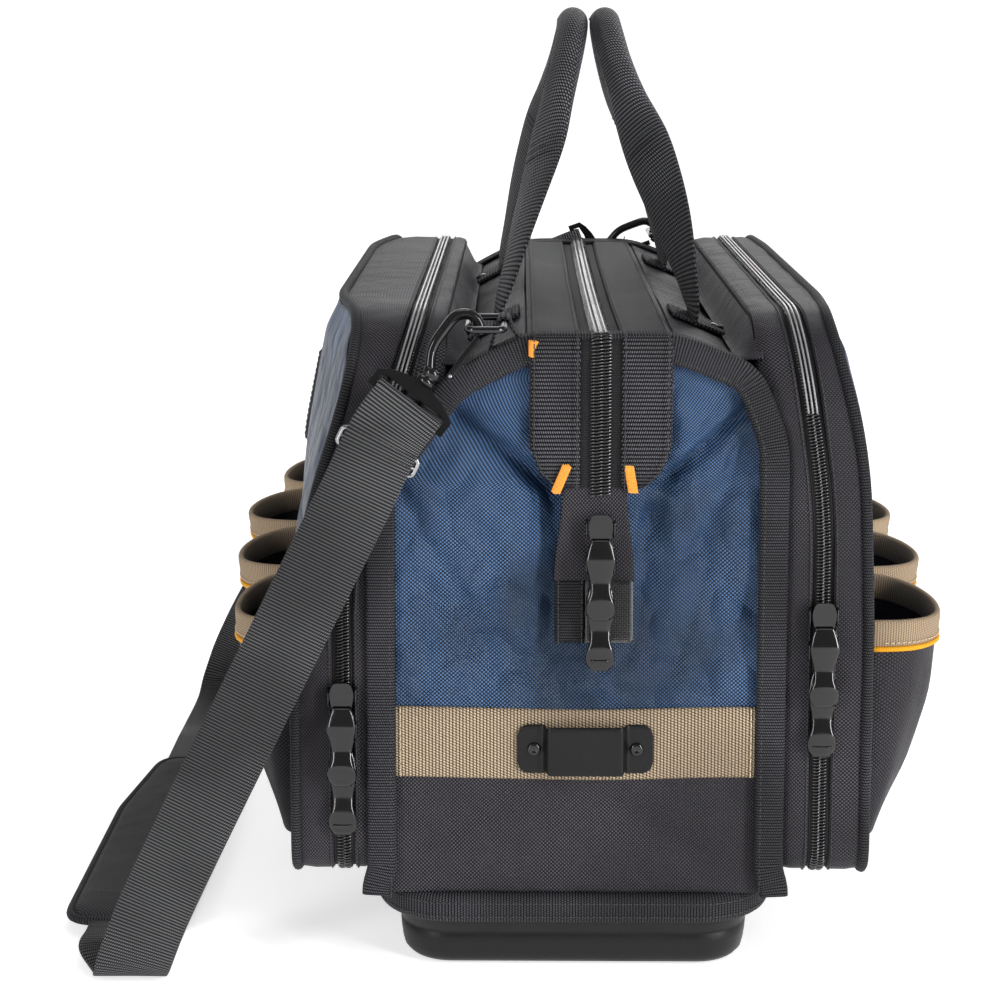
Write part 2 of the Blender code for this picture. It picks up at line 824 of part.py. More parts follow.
def slider_outline(x, z):
    """A slider seen from the front: broad shoulders and a narrower tail."""
    half = SLIDER_WIDTH / 2
    waist = SLIDER_WAIST / 2
    top = z + SLIDER_LENGTH / 2
    foot = z - SLIDER_LENGTH / 2
    shoulder = top - SLIDER_LENGTH / 3
    right = [(x + waist, foot), (x + half, shoulder), (x + waist, top)]
    left = [(x - waist, top), (x - half, shoulder), (x - waist, foot)]
    return right + left


PULL_SHAPE_SHARES = ((0.0, 0.68), (0.25, 1.0), (0.50, 0.72), (0.70, 0.72), (0.86, 1.0), (1.0, 0.55))


def pull_outline(x, z, length):
    """A waisted pull that hangs from a pivot at height z."""
    top = z + PULL_HEAD
    right = [(x + PULL_HALF_WIDTH * w, top - length * s) for s, w in PULL_SHAPE_SHARES]
    left = [(x - PULL_HALF_WIDTH * w, top - length * s) for s, w in reversed(PULL_SHAPE_SHARES)]
    return right + left


def build_sliders(name, x, z, surface):
    """Two sliders that meet on a zip, each with its pull, in front of the near surface."""
    back = -(surface + GAP)
    front = back - SLIDER_DEPTH
    slider_y = (back + front) / 2
    upper_z = z
    lower_z = z - SLIDER_STEP
    upper_pull_y = front - GAP - PULL_THICKNESS / 2
    lower_pull_y = front + LOWER_PULL_SET_BACK + PULL_THICKNESS / 2
    upper_pivot = upper_z - SLIDER_LENGTH / 3
    lower_pivot = lower_z - SLIDER_LENGTH / 2 - LOWER_PULL_DROP
    places = (
        ("upper", upper_z, upper_pivot, upper_pull_y, UPPER_PULL_LENGTH),
        ("lower", lower_z, lower_pivot, lower_pull_y, LOWER_PULL_LENGTH),
    )
    for level_name, slider_z, pivot, pull_y, length in places:
        slide = joint_empty(f"{name}_{level_name}_slide", (x, slider_y, slider_z))
        outline = slider_outline(x, slider_z)
        frame = end_frame(slider_y)
        slider = f"{name}_slider_{level_name}"
        plate(slider, outline, SLIDER_DEPTH, frame, METAL_BLACK, slide)
        hinge = joint_empty(f"{name}_{level_name}_pull_hinge", (x, pull_y, pivot))
        outline = pull_outline(x, pivot, length)
        pull = f"{name}_pull_{level_name}"
        plate(pull, outline, PULL_THICKNESS, end_frame(pull_y), METAL_BLACK, hinge)


def signed_power(value, power):
    """A power that keeps its sign, for square-cornered sections."""
    return math.copysign(abs(value) ** power, value)


def curve_through(points, steps):
    """A centripetal Catmull-Rom curve through points, both ends included."""
    padded = [points[0] * 2 - points[1], *points, points[-1] * 2 - points[-2]]
    found = []
    for i in range(1, len(padded) - 2):
        p0, p1, p2, p3 = padded[i - 1:i + 3]
        t0 = 0.0
        t1 = t0 + math.sqrt((p1 - p0).length)
        t2 = t1 + math.sqrt((p2 - p1).length)
        t3 = t2 + math.sqrt((p3 - p2).length)
        for k in range(steps):
            t = t1 + (t2 - t1) * k / steps
            a1 = p0.lerp(p1, (t - t0) / (t1 - t0))
            a2 = p1.lerp(p2, (t - t1) / (t2 - t1))
            a3 = p2.lerp(p3, (t - t2) / (t3 - t2))
            b1 = a1.lerp(a2, (t - t0) / (t2 - t0))
            b2 = a2.lerp(a3, (t - t1) / (t3 - t1))
            found.append(b1.lerp(b2, (t - t1) / (t2 - t1)))
    found.append(points[-1])
    return found


def looks_between(looks, steps):
    """Facings blended between their neighbours, in step with curve_through."""
    found = []
    for start, stop in zip(looks, looks[1:]):
        found += [start.lerp(stop, k / steps) for k in range(steps)]
    found.append(looks[-1])
    return found


# Near half of a handle as shares of its reach, anchor spacing and rise
HANDLE_REACH_SHARES = (1.0, 0.97, 0.84, 0.68, 0.44, 0.24, 0.10, 0.02, 0.0)
HANDLE_Y_SHARES = (1.0, 1.0, 0.97, 0.88, 0.72, 0.56, 0.37, 0.18, 0.0)
HANDLE_RISE_SHARES = (0.0, 0.06, 0.20, 0.36, 0.56, 0.73, 0.87, 0.965, 1.0)
HANDLE_TURN_SHARES = (0.0, 0.0, 0.05, 0.25, 0.60, 0.90, 1.0, 1.0, 1.0)
HANDLE_ROUND_SHARES = (0.0, 0.0, 0.0, 0.0, 0.10, 0.75, 1.0, 1.0, 1.0)
HANDLE_SECTION_POINTS = 12


def build_handle(side):
    """One carrying handle: flat legs at its anchors, twisted up into a round grip."""
    anchor_x = HANDLE_FOOT_X + side.sign * TOP_SHIFT
    seat = side.strip_height(anchor_x)
    foot = seat + HANDLE_RISE_CLEARANCE
    hinge = (TOP_SHIFT + side.sign * HANDLE_FOOT_X, 0, foot)
    joint = joint_empty(f"{side.name}_handle_hinge", hinge)
    rise = TOP_HEIGHT + HANDLE_RISE - GRIP_RADIUS - foot
    spread = HANDLE_FOOT_X - GRIP_REACH
    centres = []
    for reach, along, up in zip(HANDLE_REACH_SHARES, HANDLE_Y_SHARES, HANDLE_RISE_SHARES):
        x = TOP_SHIFT + side.sign * (GRIP_REACH + spread * reach)
        centres.append(Vector((x, -HANDLE_FOOT_Y * along, foot + rise * up)))
    last = len(centres) - 1
    sections = []
    for i, centre in enumerate(centres):
        ahead = centres[i + 1] if i < last else centre + Y_AXIS
        behind = centres[i - 1] if i else centre - Z_AXIS
        along = (ahead - behind).normalized() if i < last else Y_AXIS
        across = (X_AXIS - along * X_AXIS.dot(along)).normalized()
        level_way = across.cross(along)
        turn = math.pi / 2 * HANDLE_TURN_SHARES[i]
        wide = level_way * math.cos(turn) + across * math.sin(turn)
        thick = along.cross(wide)
        roundness = HANDLE_ROUND_SHARES[i]
        half_wide = HANDLE_WEB_WIDTH / 2 * (1 - roundness) + GRIP_RADIUS * roundness
        flat = HANDLE_END_THICKNESS if i == 0 else HANDLE_WEB_THICKNESS
        half_thick = flat / 2 * (1 - roundness) + GRIP_RADIUS * roundness
        power = 0.4 + 0.6 * roundness
        section = []
        for k in range(HANDLE_SECTION_POINTS):
            angle = 2 * math.pi * k / HANDLE_SECTION_POINTS
            a = half_wide * signed_power(math.cos(angle), power)
            b = half_thick * signed_power(math.sin(angle), power)
            section.append(centre + wide * a + thick * b)
        sections.append(section)
    mirrored = [
        [Vector((p.x, -p.y, p.z)) for p in section] for section in reversed(sections[:-1])
    ]
    obj = loft(f"{side.name}_handle", sections + mirrored, WEB_BLACK, joint)
    obj.data.shade_smooth()
    obj.data.set_sharp_from_angle(angle=math.radians(40.0))


@dataclass(frozen=True)
class StrapEnd:
    """Ring, tab, snap hook and eye at one end of the shoulder strap."""

    name: str
    sign: int
    side: Side
    tab_reach: float
    hook_standoff: float
    direction: Vector
    shank_up: Vector
    eye_across: Vector

    @property
    def tab_bar(self):
        """X of the bar that the ring turns on."""
        return TOP_SHIFT + self.side.sign * self.tab_reach

    @property
    def ring_centre(self):
        """Middle of the ring."""
        x = self.tab_bar - RING_WIDTH / 2
        return Vector((x, self.sign * (END_Y - RING_SET_IN), RING_HEIGHT))

    @property
    def bar(self):
        """Point of the ring's free bar that the hook holds."""
        x = self.tab_bar - RING_WIDTH
        return Vector((x, self.sign * (END_Y + self.hook_standoff), RING_HEIGHT))

    @property
    def base(self):
        """Middle of the hook's base, where it meets its eye."""
        return self.bar - self.direction * (HOOK_CROOK_AT + HOOK_RING_SEAT)

    @property
    def shank(self):
        """Unit vector from the hook's axis to its shank, square to the direction."""
        raw = self.shank_up - self.direction * self.shank_up.dot(self.direction)
        return raw.normalized()

    @property
    def eye_wide(self):
        """Unit vector along the eye's slot, square to the direction."""
        raw = self.eye_across - self.direction * self.eye_across.dot(self.direction)
        return raw.normalized()

    @property
    def eye_out(self):
        """Unit vector out of the eye's face, away from the bag."""
        normal = self.eye_wide.cross(self.direction).normalized()
        return normal if normal.y * self.sign > 0 else -normal

    @property
    def eye_centre(self):
        """Middle of the eye plate."""
        return self.base - self.direction * (GAP + EYE_HEIGHT / 2)

    @property
    def loop_centre(self):
        """Middle of the eye's outer bar, which the strap loops round."""
        return self.eye_centre - self.direction * (EYE_HEIGHT / 2 - EYE_BAR / 2)


NEAR_STRAP_END = StrapEnd(
    name="near",
    sign=-1,
    side=LEFT,
    tab_reach=NEAR_TAB_REACH,
    hook_standoff=NEAR_HOOK_STANDOFF,
    direction=NEAR_HOOK_DIRECTION,
    shank_up=Vector((-0.77, 0.0, 0.60)),
    eye_across=Vector((0.82, 0.0, -0.57)),
)
FAR_STRAP_END = StrapEnd(
    name="far",
    sign=1,
    side=RIGHT,
    tab_reach=FAR_TAB_REACH,
    hook_standoff=FAR_HOOK_STANDOFF,
    direction=FAR_HOOK_DIRECTION,
    shank_up=Z_AXIS,
    eye_across=Z_AXIS,
)


def build_ring(end):
    """Wire ring, held by one bar in a webbing tab on the top strip."""
    centre = end.ring_centre
    side = end.side
    joint = joint_empty(f"{end.name}_ring_hinge", (end.tab_bar, centre.y, centre.z))
    outline = rounded_rectangle(RING_WIDTH / 2, RING_LENGTH / 2, RING_CORNER, 3)
    curve = bpy.data.curves.new(f"{end.name}_ring", "CURVE")
    curve.dimensions = "3D"
    curve.bevel_depth = RING_WIRE
    curve.bevel_resolution = 1
    spline = curve.splines.new("POLY")
    spline.points.add(len(outline) - 1)
    for point, (x, y) in zip(spline.points, outline):
        point.co = (x, y, 0.0, 1.0)
    spline.use_cyclic_u = True
    obj = add_object(f"{end.name}_ring", curve, METAL_BLACK, joint)
    obj.matrix_basis = Matrix.Translation(centre)

    hole = RING_WIRE + TAB_HOLE_CLEARANCE
    outer = hole + TAB_STRAP
    from_middle = abs(end.tab_bar)
    reach = TAB_BASE / 2
    low_in = max(from_middle - reach, side.flap_edge + SEAT)
    low_out = from_middle + reach
    foot_in = side.strip_height(low_in) + SEAT
    foot_out = side.strip_height(low_out) + SEAT
    step = TAB_STRAP
    over = arc((from_middle, centre.z), outer, 0, math.pi, 6)
    outline = [(low_in, foot_in), (low_out, foot_out), (low_out, foot_out + step)]
    outline += over + [(low_in, foot_in + step)]
    bore = arc((from_middle, centre.z), hole, 0, 2 * math.pi, 12)[:-1]
    outline = [(side.sign * x, z) for x, z in outline]
    bore = [(side.sign * x, z) for x, z in bore]
    tab_y = end.sign * (END_Y - TAB_INSET - TAB_LENGTH / 2)
    plate(f"{end.name}_ring_tab", outline, TAB_LENGTH, end_frame(tab_y), WEB_BLACK, holes=(bore,))


def hook_outline():
    """Shank, crook and base of the hook, along its axis from its base."""
    crook = (HOOK_CROOK_AT, 0.0)
    half = HOOK_BASE_HALF_WIDTH
    waist = HOOK_BASE + (HOOK_OUTER - half)
    points = [(0.0, -half), (HOOK_BASE, -half)]
    points += [(HOOK_BASE, -half / 2), (waist, HOOK_INNER / 2)]
    points += [(waist + HOOK_INNER / 2, HOOK_INNER)]
    points += arc(crook, HOOK_INNER, math.pi / 2, HOOK_NOSE_ANGLE, 8)
    points += arc(crook, HOOK_OUTER, HOOK_NOSE_ANGLE, math.pi / 2, 8)
    points += [(waist, HOOK_OUTER), (HOOK_BASE, half), (0.0, half)]
    return points


def gate_outline():
    """Sprung gate from its pivot to the hook's nose."""
    nose = HOOK_CROOK_AT + HOOK_INNER * math.cos(HOOK_NOSE_ANGLE) - GATE_NOSE_CLEARANCE
    start = GATE_PIVOT_AT - GATE_TAIL
    low = GATE_LEVEL - GATE_THICKNESS / 2
    high = GATE_LEVEL + GATE_THICKNESS / 2
    return [(start, low), (nose, low), (nose, high), (start, high)]


def build_hook(end):
    """Snap hook, its gate and the swivel eye that carries the strap."""
    swivel = joint_empty(f"{end.name}_hook_swivel", end.base)
    frame = facing(end.base, end.direction, end.shank)
    plate(f"{end.name}_hook", hook_outline(), HOOK_THICKNESS, frame, METAL_BLACK, swivel)
    pivot = end.base + end.direction * GATE_PIVOT_AT + end.shank * GATE_LEVEL
    hinge = joint_empty(f"{end.name}_gate_hinge", pivot)
    plate(f"{end.name}_gate", gate_outline(), GATE_THICKNESS, frame, METAL_BLACK, hinge)

    half_height = EYE_HEIGHT / 2
    half_width = EYE_WIDTH / 2
    slot_half = STRAP_WIDTH / 2 + SEAT
    slot_low = -half_height + EYE_BAR
    slot_high = half_height - EYE_HEAD
    neck = HOOK_BASE_HALF_WIDTH
    shoulder = half_height - EYE_HEAD / 2
    outline = [
        (-half_width, -half_height),
        (half_width, -half_height),
        (half_width, slot_high),
        (neck * 2, shoulder),
        (neck, half_height),
        (-neck, half_height),
        (-neck * 2, shoulder),
        (-half_width, slot_high),
    ]
    slot = [
        (-slot_half, slot_low),
        (slot_half, slot_low),
        (slot_half, slot_high - EYE_BAR / 2),
        (-slot_half, slot_high - EYE_BAR / 2),
    ]
    frame = facing(end.eye_centre, end.eye_wide, end.direction)
    plate(f"{end.name}_eye", outline, EYE_BAR, frame, METAL_BLACK, holes=(slot,))


# The folds on the floor, as shares of the way across, along and up or down
NEAR_FOLD_SHARES = ((0.0, 0.0, 0.0), (0.61, 0.03, 0.70), (0.83, 0.38, 0.96), (1.0, 1.0, 1.0))
NEAR_FOLD_LOOKS = ((0, -1, 0), (0, -1, -0.25), (0, -0.5, -1), (0, 0, -1))
FAR_FOLD_SHARES = ((0.0, 0.0, 0.0), (0.03, 0.77, 0.12), (0.31, 0.97, 0.42), (1.0, 1.0, 1.0))
FAR_FOLD_LOOKS = ((0, 0, -1), (0, 0.8, -1), (0, 1, -0.1), (0, 1, 0))
FAR_CLIMB_SHARES = ((0.397, 1.0, 0.558), (0.623, 1.0, 0.811), (0.803, 1.0, 0.920))


def between(start, stop, shares):
    """A point at its own share of the way along each axis."""
    return Vector([a + (b - a) * share for a, b, share in zip(start, stop, shares)])


def glide_point():
    """Middle of the tri-glide, where the strap is doubled."""
    eye = NEAR_STRAP_END.loop_centre
    x = eye.x - GLIDE_BEYOND_EYE
    return Vector((x, -(END_Y + STRAP_STANDOFF), eye.z - GLIDE_BELOW_EYE))


def near_fall():
    """Where the near run of the strap starts to turn into its fold."""
    return Vector((NEAR_FALL_X, -(END_Y + STRAP_STANDOFF), NEAR_FALL_HEIGHT))


def strap_route():
    """Places that the strap passes between its hooks, and the way its outer face looks there."""
    floor = Vector((0, 0, -1))
    near_start = near_fall()
    near_floor = Vector((NEAR_FOLD_X, NEAR_FOLD_Y, STRAP_FLOOR_HEIGHT))
    route = []
    for shares, look in zip(NEAR_FOLD_SHARES, NEAR_FOLD_LOOKS):
        route.append((between(near_start, near_floor, shares), Vector(look)))
    lead_in = PAD_NEAR_Y - TUNNEL_LEAD
    run_out = PAD_FAR_Y + TUNNEL_RUN_OUT
    for y in (lead_in - TUNNEL_RUN_UP, lead_in, 0.0, run_out, run_out + RUN_OUT_STEP):
        route.append((Vector((PAD_X, y, PAD_STRAP_HEIGHT)), floor))
    route.append((Vector((FAR_FOLD_X, FLOOR_REST_Y, STRAP_FLOOR_HEIGHT)), floor))
    out = FAR_STRAP_END.loop_centre + FAR_STRAP_END.eye_out * STRAP_LOOP_RADIUS
    far_floor = Vector((FAR_FOLD_X, FAR_FOLD_Y, STRAP_FLOOR_HEIGHT))
    far_stop = Vector((FAR_FALL_X, out.y, FAR_FALL_HEIGHT))
    for shares, look in zip(FAR_FOLD_SHARES, FAR_FOLD_LOOKS):
        route.append((between(far_floor, far_stop, shares), Vector(look)))
    for shares in FAR_CLIMB_SHARES:
        route.append((between(far_stop, out, shares), Y_AXIS))
    return route


def loop_round_eye(end):
    """Centres and facings of the strap round its eye, from the bag's side to the outside."""
    found = []
    for degrees in (180, 135, 90, 45, 0):
        turn = math.radians(degrees)
        facing_way = end.eye_out * math.cos(turn) + end.direction * math.sin(turn)
        found.append((end.loop_centre + facing_way * STRAP_LOOP_RADIUS, facing_way))
    return found


def strap_controls():
    """The strap's centre line and facings, from one doubled end to the other."""
    near = NEAR_STRAP_END
    far = FAR_STRAP_END
    glide = glide_point()
    run = (near_fall() - glide).normalized()
    out = -Y_AXIS
    back = glide - out * STRAP_LAYER
    front = glide + out * STRAP_LAYER
    step = run * GLIDE_LENGTH
    controls = [(back + run * STRAP_TAIL, -out), (back + step, -out), (back - step, -out)]
    controls += loop_round_eye(near)
    controls += [(front - step, out), (front + step * GLIDE_STRAIGHT_STEPS, out)]
    controls += strap_route()
    controls += list(reversed(loop_round_eye(far)))
    tail = far.loop_centre - far.direction * STRAP_TAIL - far.eye_out * STRAP_LOOP_RADIUS
    controls += [(tail, -far.eye_out)]
    return controls


def build_strap():
    """Webbing strap, doubled round both eyes, with its tri-glide."""
    controls = strap_controls()
    centres = curve_through([point for point, _ in controls], STRAP_STEPS)
    looks = looks_between([look.normalized() for _, look in controls], STRAP_STEPS)
    last = len(centres) - 1
    sections = []
    for i, (centre, look) in enumerate(zip(centres, looks)):
        along = (centres[min(i + 1, last)] - centres[max(i - 1, 0)]).normalized()
        wide = along.cross(look).normalized() * (STRAP_WIDTH / 2)
        thick = wide.cross(along).normalized() * (STRAP_THICKNESS / 2)
        corners = ((1, 1), (-1, 1), (-1, -1), (1, -1))
        sections.append([centre + wide * a + thick * b for a, b in corners])
    loft("shoulder_strap", sections, WEB_BLACK)

    glide = glide_point()
    run = (near_fall() - glide).normalized()
    joint = joint_empty("tri_glide_slide", glide)
    across = run.cross(Y_AXIS).normalized()
    half_wide = STRAP_WIDTH / 2 + GLIDE_CLEARANCE
    half_deep = STRAP_LAYER + STRAP_THICKNESS / 2 + GLIDE_CLEARANCE
    hole = rounded_rectangle(half_wide, half_deep, GLIDE_CLEARANCE, 2)
    outline = rounded_rectangle(half_wide + GLIDE_WALL, half_deep + GLIDE_WALL, GLIDE_WALL, 2)
    frame = facing(glide, across, run.cross(across))
    plate("tri_glide", outline, GLIDE_LENGTH, frame, METAL_BRIGHT, joint, holes=(hole,))


def build_pad():
    """Shoulder pad on the floor beside the bag, with a tunnel for the strap."""
    half = PAD_WIDTH / 2
    end_half = PAD_END_WIDTH / 2
    right = arc((half - PAD_CORNER, PAD_NEAR_Y + PAD_CORNER), PAD_CORNER, -math.pi / 2, 0, 4)
    right += [(half, PAD_TAPER_FROM_Y)]
    right += arc((end_half - PAD_CORNER, PAD_FAR_Y - PAD_CORNER), PAD_CORNER, 0, math.pi / 2, 4)
    outline = right + [(-x, y) for x, y in reversed(right)]
    joint = joint_empty("pad_slide", (PAD_X, (PAD_NEAR_Y + PAD_FAR_Y) / 2, PAD_STRAP_HEIGHT))
    bm = bmesh.new()
    lows = [bm.verts.new((PAD_X + x, y, 0.0)) for x, y in outline]
    base = bm.faces.new(lows)
    made = bmesh.ops.extrude_face_region(bm, geom=[base])["geom"]
    tops = [item for item in made if isinstance(item, bmesh.types.BMVert)]
    bmesh.ops.translate(bm, verts=tops, vec=(0.0, 0.0, PAD_THICKNESS))
    bmesh.ops.recalc_face_normals(bm, faces=bm.faces)
    pad = mesh_object("shoulder_pad", bm, NYLON_BLACK, joint)

    length = PAD_FAR_Y - PAD_NEAR_Y + 2 * OVERRUN
    width = STRAP_WIDTH + 2 * PAD_TUNNEL_CLEARANCE
    height = STRAP_THICKNESS + 2 * PAD_TUNNEL_CLEARANCE
    bm = bmesh.new()
    bmesh.ops.create_cube(bm, size=1.0)
    bmesh.ops.scale(bm, verts=bm.verts, vec=(width, length, height))
    mesh = bpy.data.meshes.new("pad_tunnel")
    bm.to_mesh(mesh)
    bm.free()
    cutter = bpy.data.objects.new("pad_tunnel", mesh)
    cutter.location = (PAD_X, (PAD_NEAR_Y + PAD_FAR_Y) / 2, PAD_STRAP_HEIGHT)
    cutter.hide_render = True
    cutter.display_type = "WIRE"
    CUTTERS.objects.link(cutter)
    cut = pad.modifiers.new("tunnel", "BOOLEAN")
    cut.operation = "DIFFERENCE"
    cut.object = cutter
    cut.solver = "EXACT"


def build_bag():
    """Build every piece of the bag."""
    build_base()
    for name, sign in (("near", -1), ("far", 1)):
        build_end(name, sign)
    build_tail_and_patch()
    build_clip()
    for side in SIDES:
        build_side_wall(side)
        build_flap(side)
        build_compartment(side)
        build_handle(side)
        build_sliders(side.name, side.sign * side.zip_x, side.slider_height, END_Y)
    build_sliders("main", TOP_SHIFT, MAIN_SLIDER_HEIGHT, END_SURFACE)
    for end in (NEAR_STRAP_END, FAR_STRAP_END):
        build_ring(end)
        build_hook(end)
    build_strap()
    build_pad()


build_bag()
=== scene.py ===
"""Looks of a soft tool bag: woven nylon body on a moulded base, webbing, zips and metal hardware.

Metres, +Z up. X runs across the bag, Y along it with the near end at -Y, and the origin is the
centre of the underside of the moulded base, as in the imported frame.
"""

import json
import logging
import math
from dataclasses import dataclass
from enum import Enum
from typing import Callable, Dict, Iterable, List, Optional, Sequence, Tuple

import bmesh
import bpy
import numpy as np
from mathutils import Matrix, Vector


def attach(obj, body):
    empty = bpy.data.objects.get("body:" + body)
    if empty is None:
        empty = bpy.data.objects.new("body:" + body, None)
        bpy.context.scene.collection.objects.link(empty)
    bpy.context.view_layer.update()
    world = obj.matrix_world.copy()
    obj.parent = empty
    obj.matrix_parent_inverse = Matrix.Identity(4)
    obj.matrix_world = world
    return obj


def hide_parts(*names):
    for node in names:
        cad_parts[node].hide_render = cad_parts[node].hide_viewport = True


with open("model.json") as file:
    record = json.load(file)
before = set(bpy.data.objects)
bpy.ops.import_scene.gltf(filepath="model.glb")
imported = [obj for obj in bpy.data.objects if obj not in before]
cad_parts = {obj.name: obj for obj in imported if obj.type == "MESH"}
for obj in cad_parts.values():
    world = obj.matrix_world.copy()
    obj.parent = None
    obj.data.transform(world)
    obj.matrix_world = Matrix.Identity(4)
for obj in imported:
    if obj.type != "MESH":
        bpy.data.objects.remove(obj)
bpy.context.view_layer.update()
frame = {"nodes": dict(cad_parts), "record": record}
LOG = logging.getLogger("tool_bag")

Pair = Tuple[float, float]
Colour = Tuple[float, float, float]
Place = Tuple[float, float, float]

# Sizes that several pieces share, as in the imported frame
END_Y = 0.2285
TOP_HEIGHT = 0.338
TOP_SHIFT = 0.012
BODY_FOOT = 0.0448
LID_FOOT = 0.055
LID_TOP = 0.346
LID_TOE = 0.012
FLAP_REACH = 0.0385
BAND_INNER = 0.0105
BAND_OUTER = 0.0355
UV_NAME = "metres"


class Slot(Enum):
    """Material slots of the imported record."""

    MOULDED = "moulded_black"
    NYLON = "nylon_black"
    BLUE = "nylon_blue"
    WEB = "web_black"
    TAN = "web_tan"
    METAL = "metal_black"
    BRIGHT = "metal_bright"


class Along(Enum):
    """Which way the ribs of a webbing repeat on its UV map."""

    LENGTH = 1
    WIDTH = 0


# ---------------------------------------------------------------- node trees


class Nodes:
    """Short calls that add nodes to a tree and join them."""

    COLUMNS = 12
    COLUMN_WIDTH = 180
    ROW_HEIGHT = 220

    def __init__(self, tree: bpy.types.NodeTree) -> None:
        """Start on a tree."""
        self.tree = tree
        self.count = 0

    def add(self, kind: str, inputs: Optional[dict] = None, **settings: object) -> bpy.types.Node:
        """Add one node.

        Args:
            kind: Type name of the node.
            inputs: Values or sockets by input name or number.
            settings: Properties of the node.

        Returns:
            The node.
        """
        node = self.tree.nodes.new(kind)
        row, column = divmod(self.count, self.COLUMNS)
        node.location = (self.COLUMN_WIDTH * column, -self.ROW_HEIGHT * row)
        self.count += 1
        for key, value in settings.items():
            setattr(node, key, value)
        for key, value in (inputs or {}).items():
            self.put(node.inputs[key], value)
        return node

    def put(self, socket: bpy.types.NodeSocket, value: object) -> None:
        """Join a socket to an input, or set the input's own value."""
        if isinstance(value, bpy.types.NodeSocket):
            self.tree.links.new(value, socket)
        else:
            socket.default_value = value

    def fill(self, node: bpy.types.Node, **values: object) -> None:
        """Set or join several inputs, whose names have underscores for spaces."""
        for key, value in values.items():
            self.put(node.inputs[key.replace("_", " ")], value)

    def group(self, tree: bpy.types.NodeTree, **values: object) -> Dict[str, bpy.types.NodeSocket]:
        """The outputs of a group node by name."""
        node = self.add("ShaderNodeGroup", node_tree=tree)
        self.fill(node, **values)
        return {socket.name: socket for socket in node.outputs}

    def math(self, operation: str, *values: object) -> bpy.types.NodeSocket:
        """The result of one Math node."""
        return self.add("ShaderNodeMath", dict(enumerate(values)), operation=operation).outputs[0]

    def hump(self, turn: object) -> bpy.types.NodeSocket:
        """A rounded hump over each whole step of a value."""
        return self.math("SINE", self.math("MULTIPLY", self.math("FRACT", turn), math.pi))

    def blend(self, share: object, first: object, second: object) -> bpy.types.NodeSocket:
        """Two colours mixed by a share."""
        inputs = {0: share, 6: coloured(first), 7: coloured(second)}
        return self.add("ShaderNodeMix", inputs, data_type="RGBA").outputs[2]

    def span(self, value: object, low: float, high: float, to_low: float = 0.0,
             to_high: float = 1.0) -> bpy.types.NodeSocket:
        """A value moved smoothly from one range to another."""
        inputs = {0: value, 1: low, 2: high, 3: to_low, 4: to_high}
        return self.add("ShaderNodeMapRange", inputs, interpolation_type="SMOOTHSTEP").outputs[0]

    def noise(self, vector: object, scale: float, detail: float = 3.0) -> bpy.types.NodeSocket:
        """Smooth noise from 0 to 1."""
        inputs = {"Vector": vector, "Scale": scale, "Detail": detail}
        return self.add("ShaderNodeTexNoise", inputs).outputs["Fac"]

    def bump(self, height: object, strength: float, distance: float,
             normal: object = None) -> bpy.types.NodeSocket:
        """A normal bent by a height, on top of another if one is given."""
        node = self.add("ShaderNodeBump", {"Strength": strength, "Distance": distance, "Height": height})
        if normal is not None:
            self.put(node.inputs["Normal"], normal)
        return node.outputs[0]

    def point(self, x: object = 0.0, y: object = 0.0, z: object = 0.0) -> bpy.types.NodeSocket:
        """A vector from three values."""
        return self.add("ShaderNodeCombineXYZ", {0: x, 1: y, 2: z}).outputs[0]


def coloured(value: object) -> object:
    """A socket as it is, or a colour with full alpha."""
    return value if isinstance(value, bpy.types.NodeSocket) else (*value, 1.0)


def scaled(colour: Colour, factor: float, lift: float = 0.0) -> Colour:
    """A colour made lighter or darker."""
    return tuple(min(1.0, channel * factor + lift) for channel in colour)


FLOAT = "NodeSocketFloat"
VECTOR = "NodeSocketVector"
Outputs = Dict[str, bpy.types.NodeSocket]
Build = Callable[[Nodes, bpy.types.NodeOutputs], Outputs]


def group(name: str, numbers: Dict[str, float], outputs: Sequence[str], build: Build,
          placed: bool = True) -> bpy.types.NodeTree:
    """A shader node group, built once.

    Args:
        name: Name of the group.
        numbers: Default of each input that is a number.
        outputs: Names of its outputs, all numbers.
        build: Builds the inside from the group's inputs, and gives the socket of each output.
        placed: Whether its first input is a place.

    Returns:
        The group's tree.
    """
    found = bpy.data.node_groups.get(name)
    if found:
        return found
    tree = bpy.data.node_groups.new(name, "ShaderNodeTree")
    if placed:
        tree.interface.new_socket("Place", in_out="INPUT", socket_type=VECTOR)
    for label, value in numbers.items():
        socket = tree.interface.new_socket(label, in_out="INPUT", socket_type=FLOAT)
        socket.default_value = value
    for label in outputs:
        tree.interface.new_socket(label, in_out="OUTPUT", socket_type=FLOAT)
    nodes = Nodes(tree)
    start = nodes.add("NodeGroupInput").outputs
    nodes.fill(nodes.add("NodeGroupOutput"), **build(nodes, start))
    return tree


def weave_group() -> bpy.types.NodeTree:
    """Coarse plain weave of paired threads: its height and which thread is on top."""
    round_by, low_crown = 0.5, 0.55

    def build(n: Nodes, given: bpy.types.NodeOutputs) -> Outputs:
        parts = n.add("ShaderNodeSeparateXYZ", {0: given["Place"]})
        turns = [n.math("DIVIDE", parts.outputs[axis], given["Pitch"]) for axis in (0, 1)]
        cells = [n.math("FLOOR", turn) for turn in turns]
        waves = [n.hump(turn) for turn in turns]
        over = n.math("ABSOLUTE", n.math("MODULO", n.math("ADD", *cells), 2.0))
        lifts = []
        for mine, other in ((0, 1), (1, 0)):
            crown = n.math("MULTIPLY_ADD", waves[other], 1.0 - low_crown, low_crown)
            lifts.append(n.math("MULTIPLY", n.math("POWER", waves[mine], round_by), crown))
        first = n.math("MULTIPLY", lifts[0], over)
        height = n.math("MULTIPLY_ADD", lifts[1], n.math("SUBTRACT", 1.0, over), first)
        return {"Height": height, "Over": over}

    return group("plain weave", {"Pitch": 0.0009}, ("Height", "Over"), build)


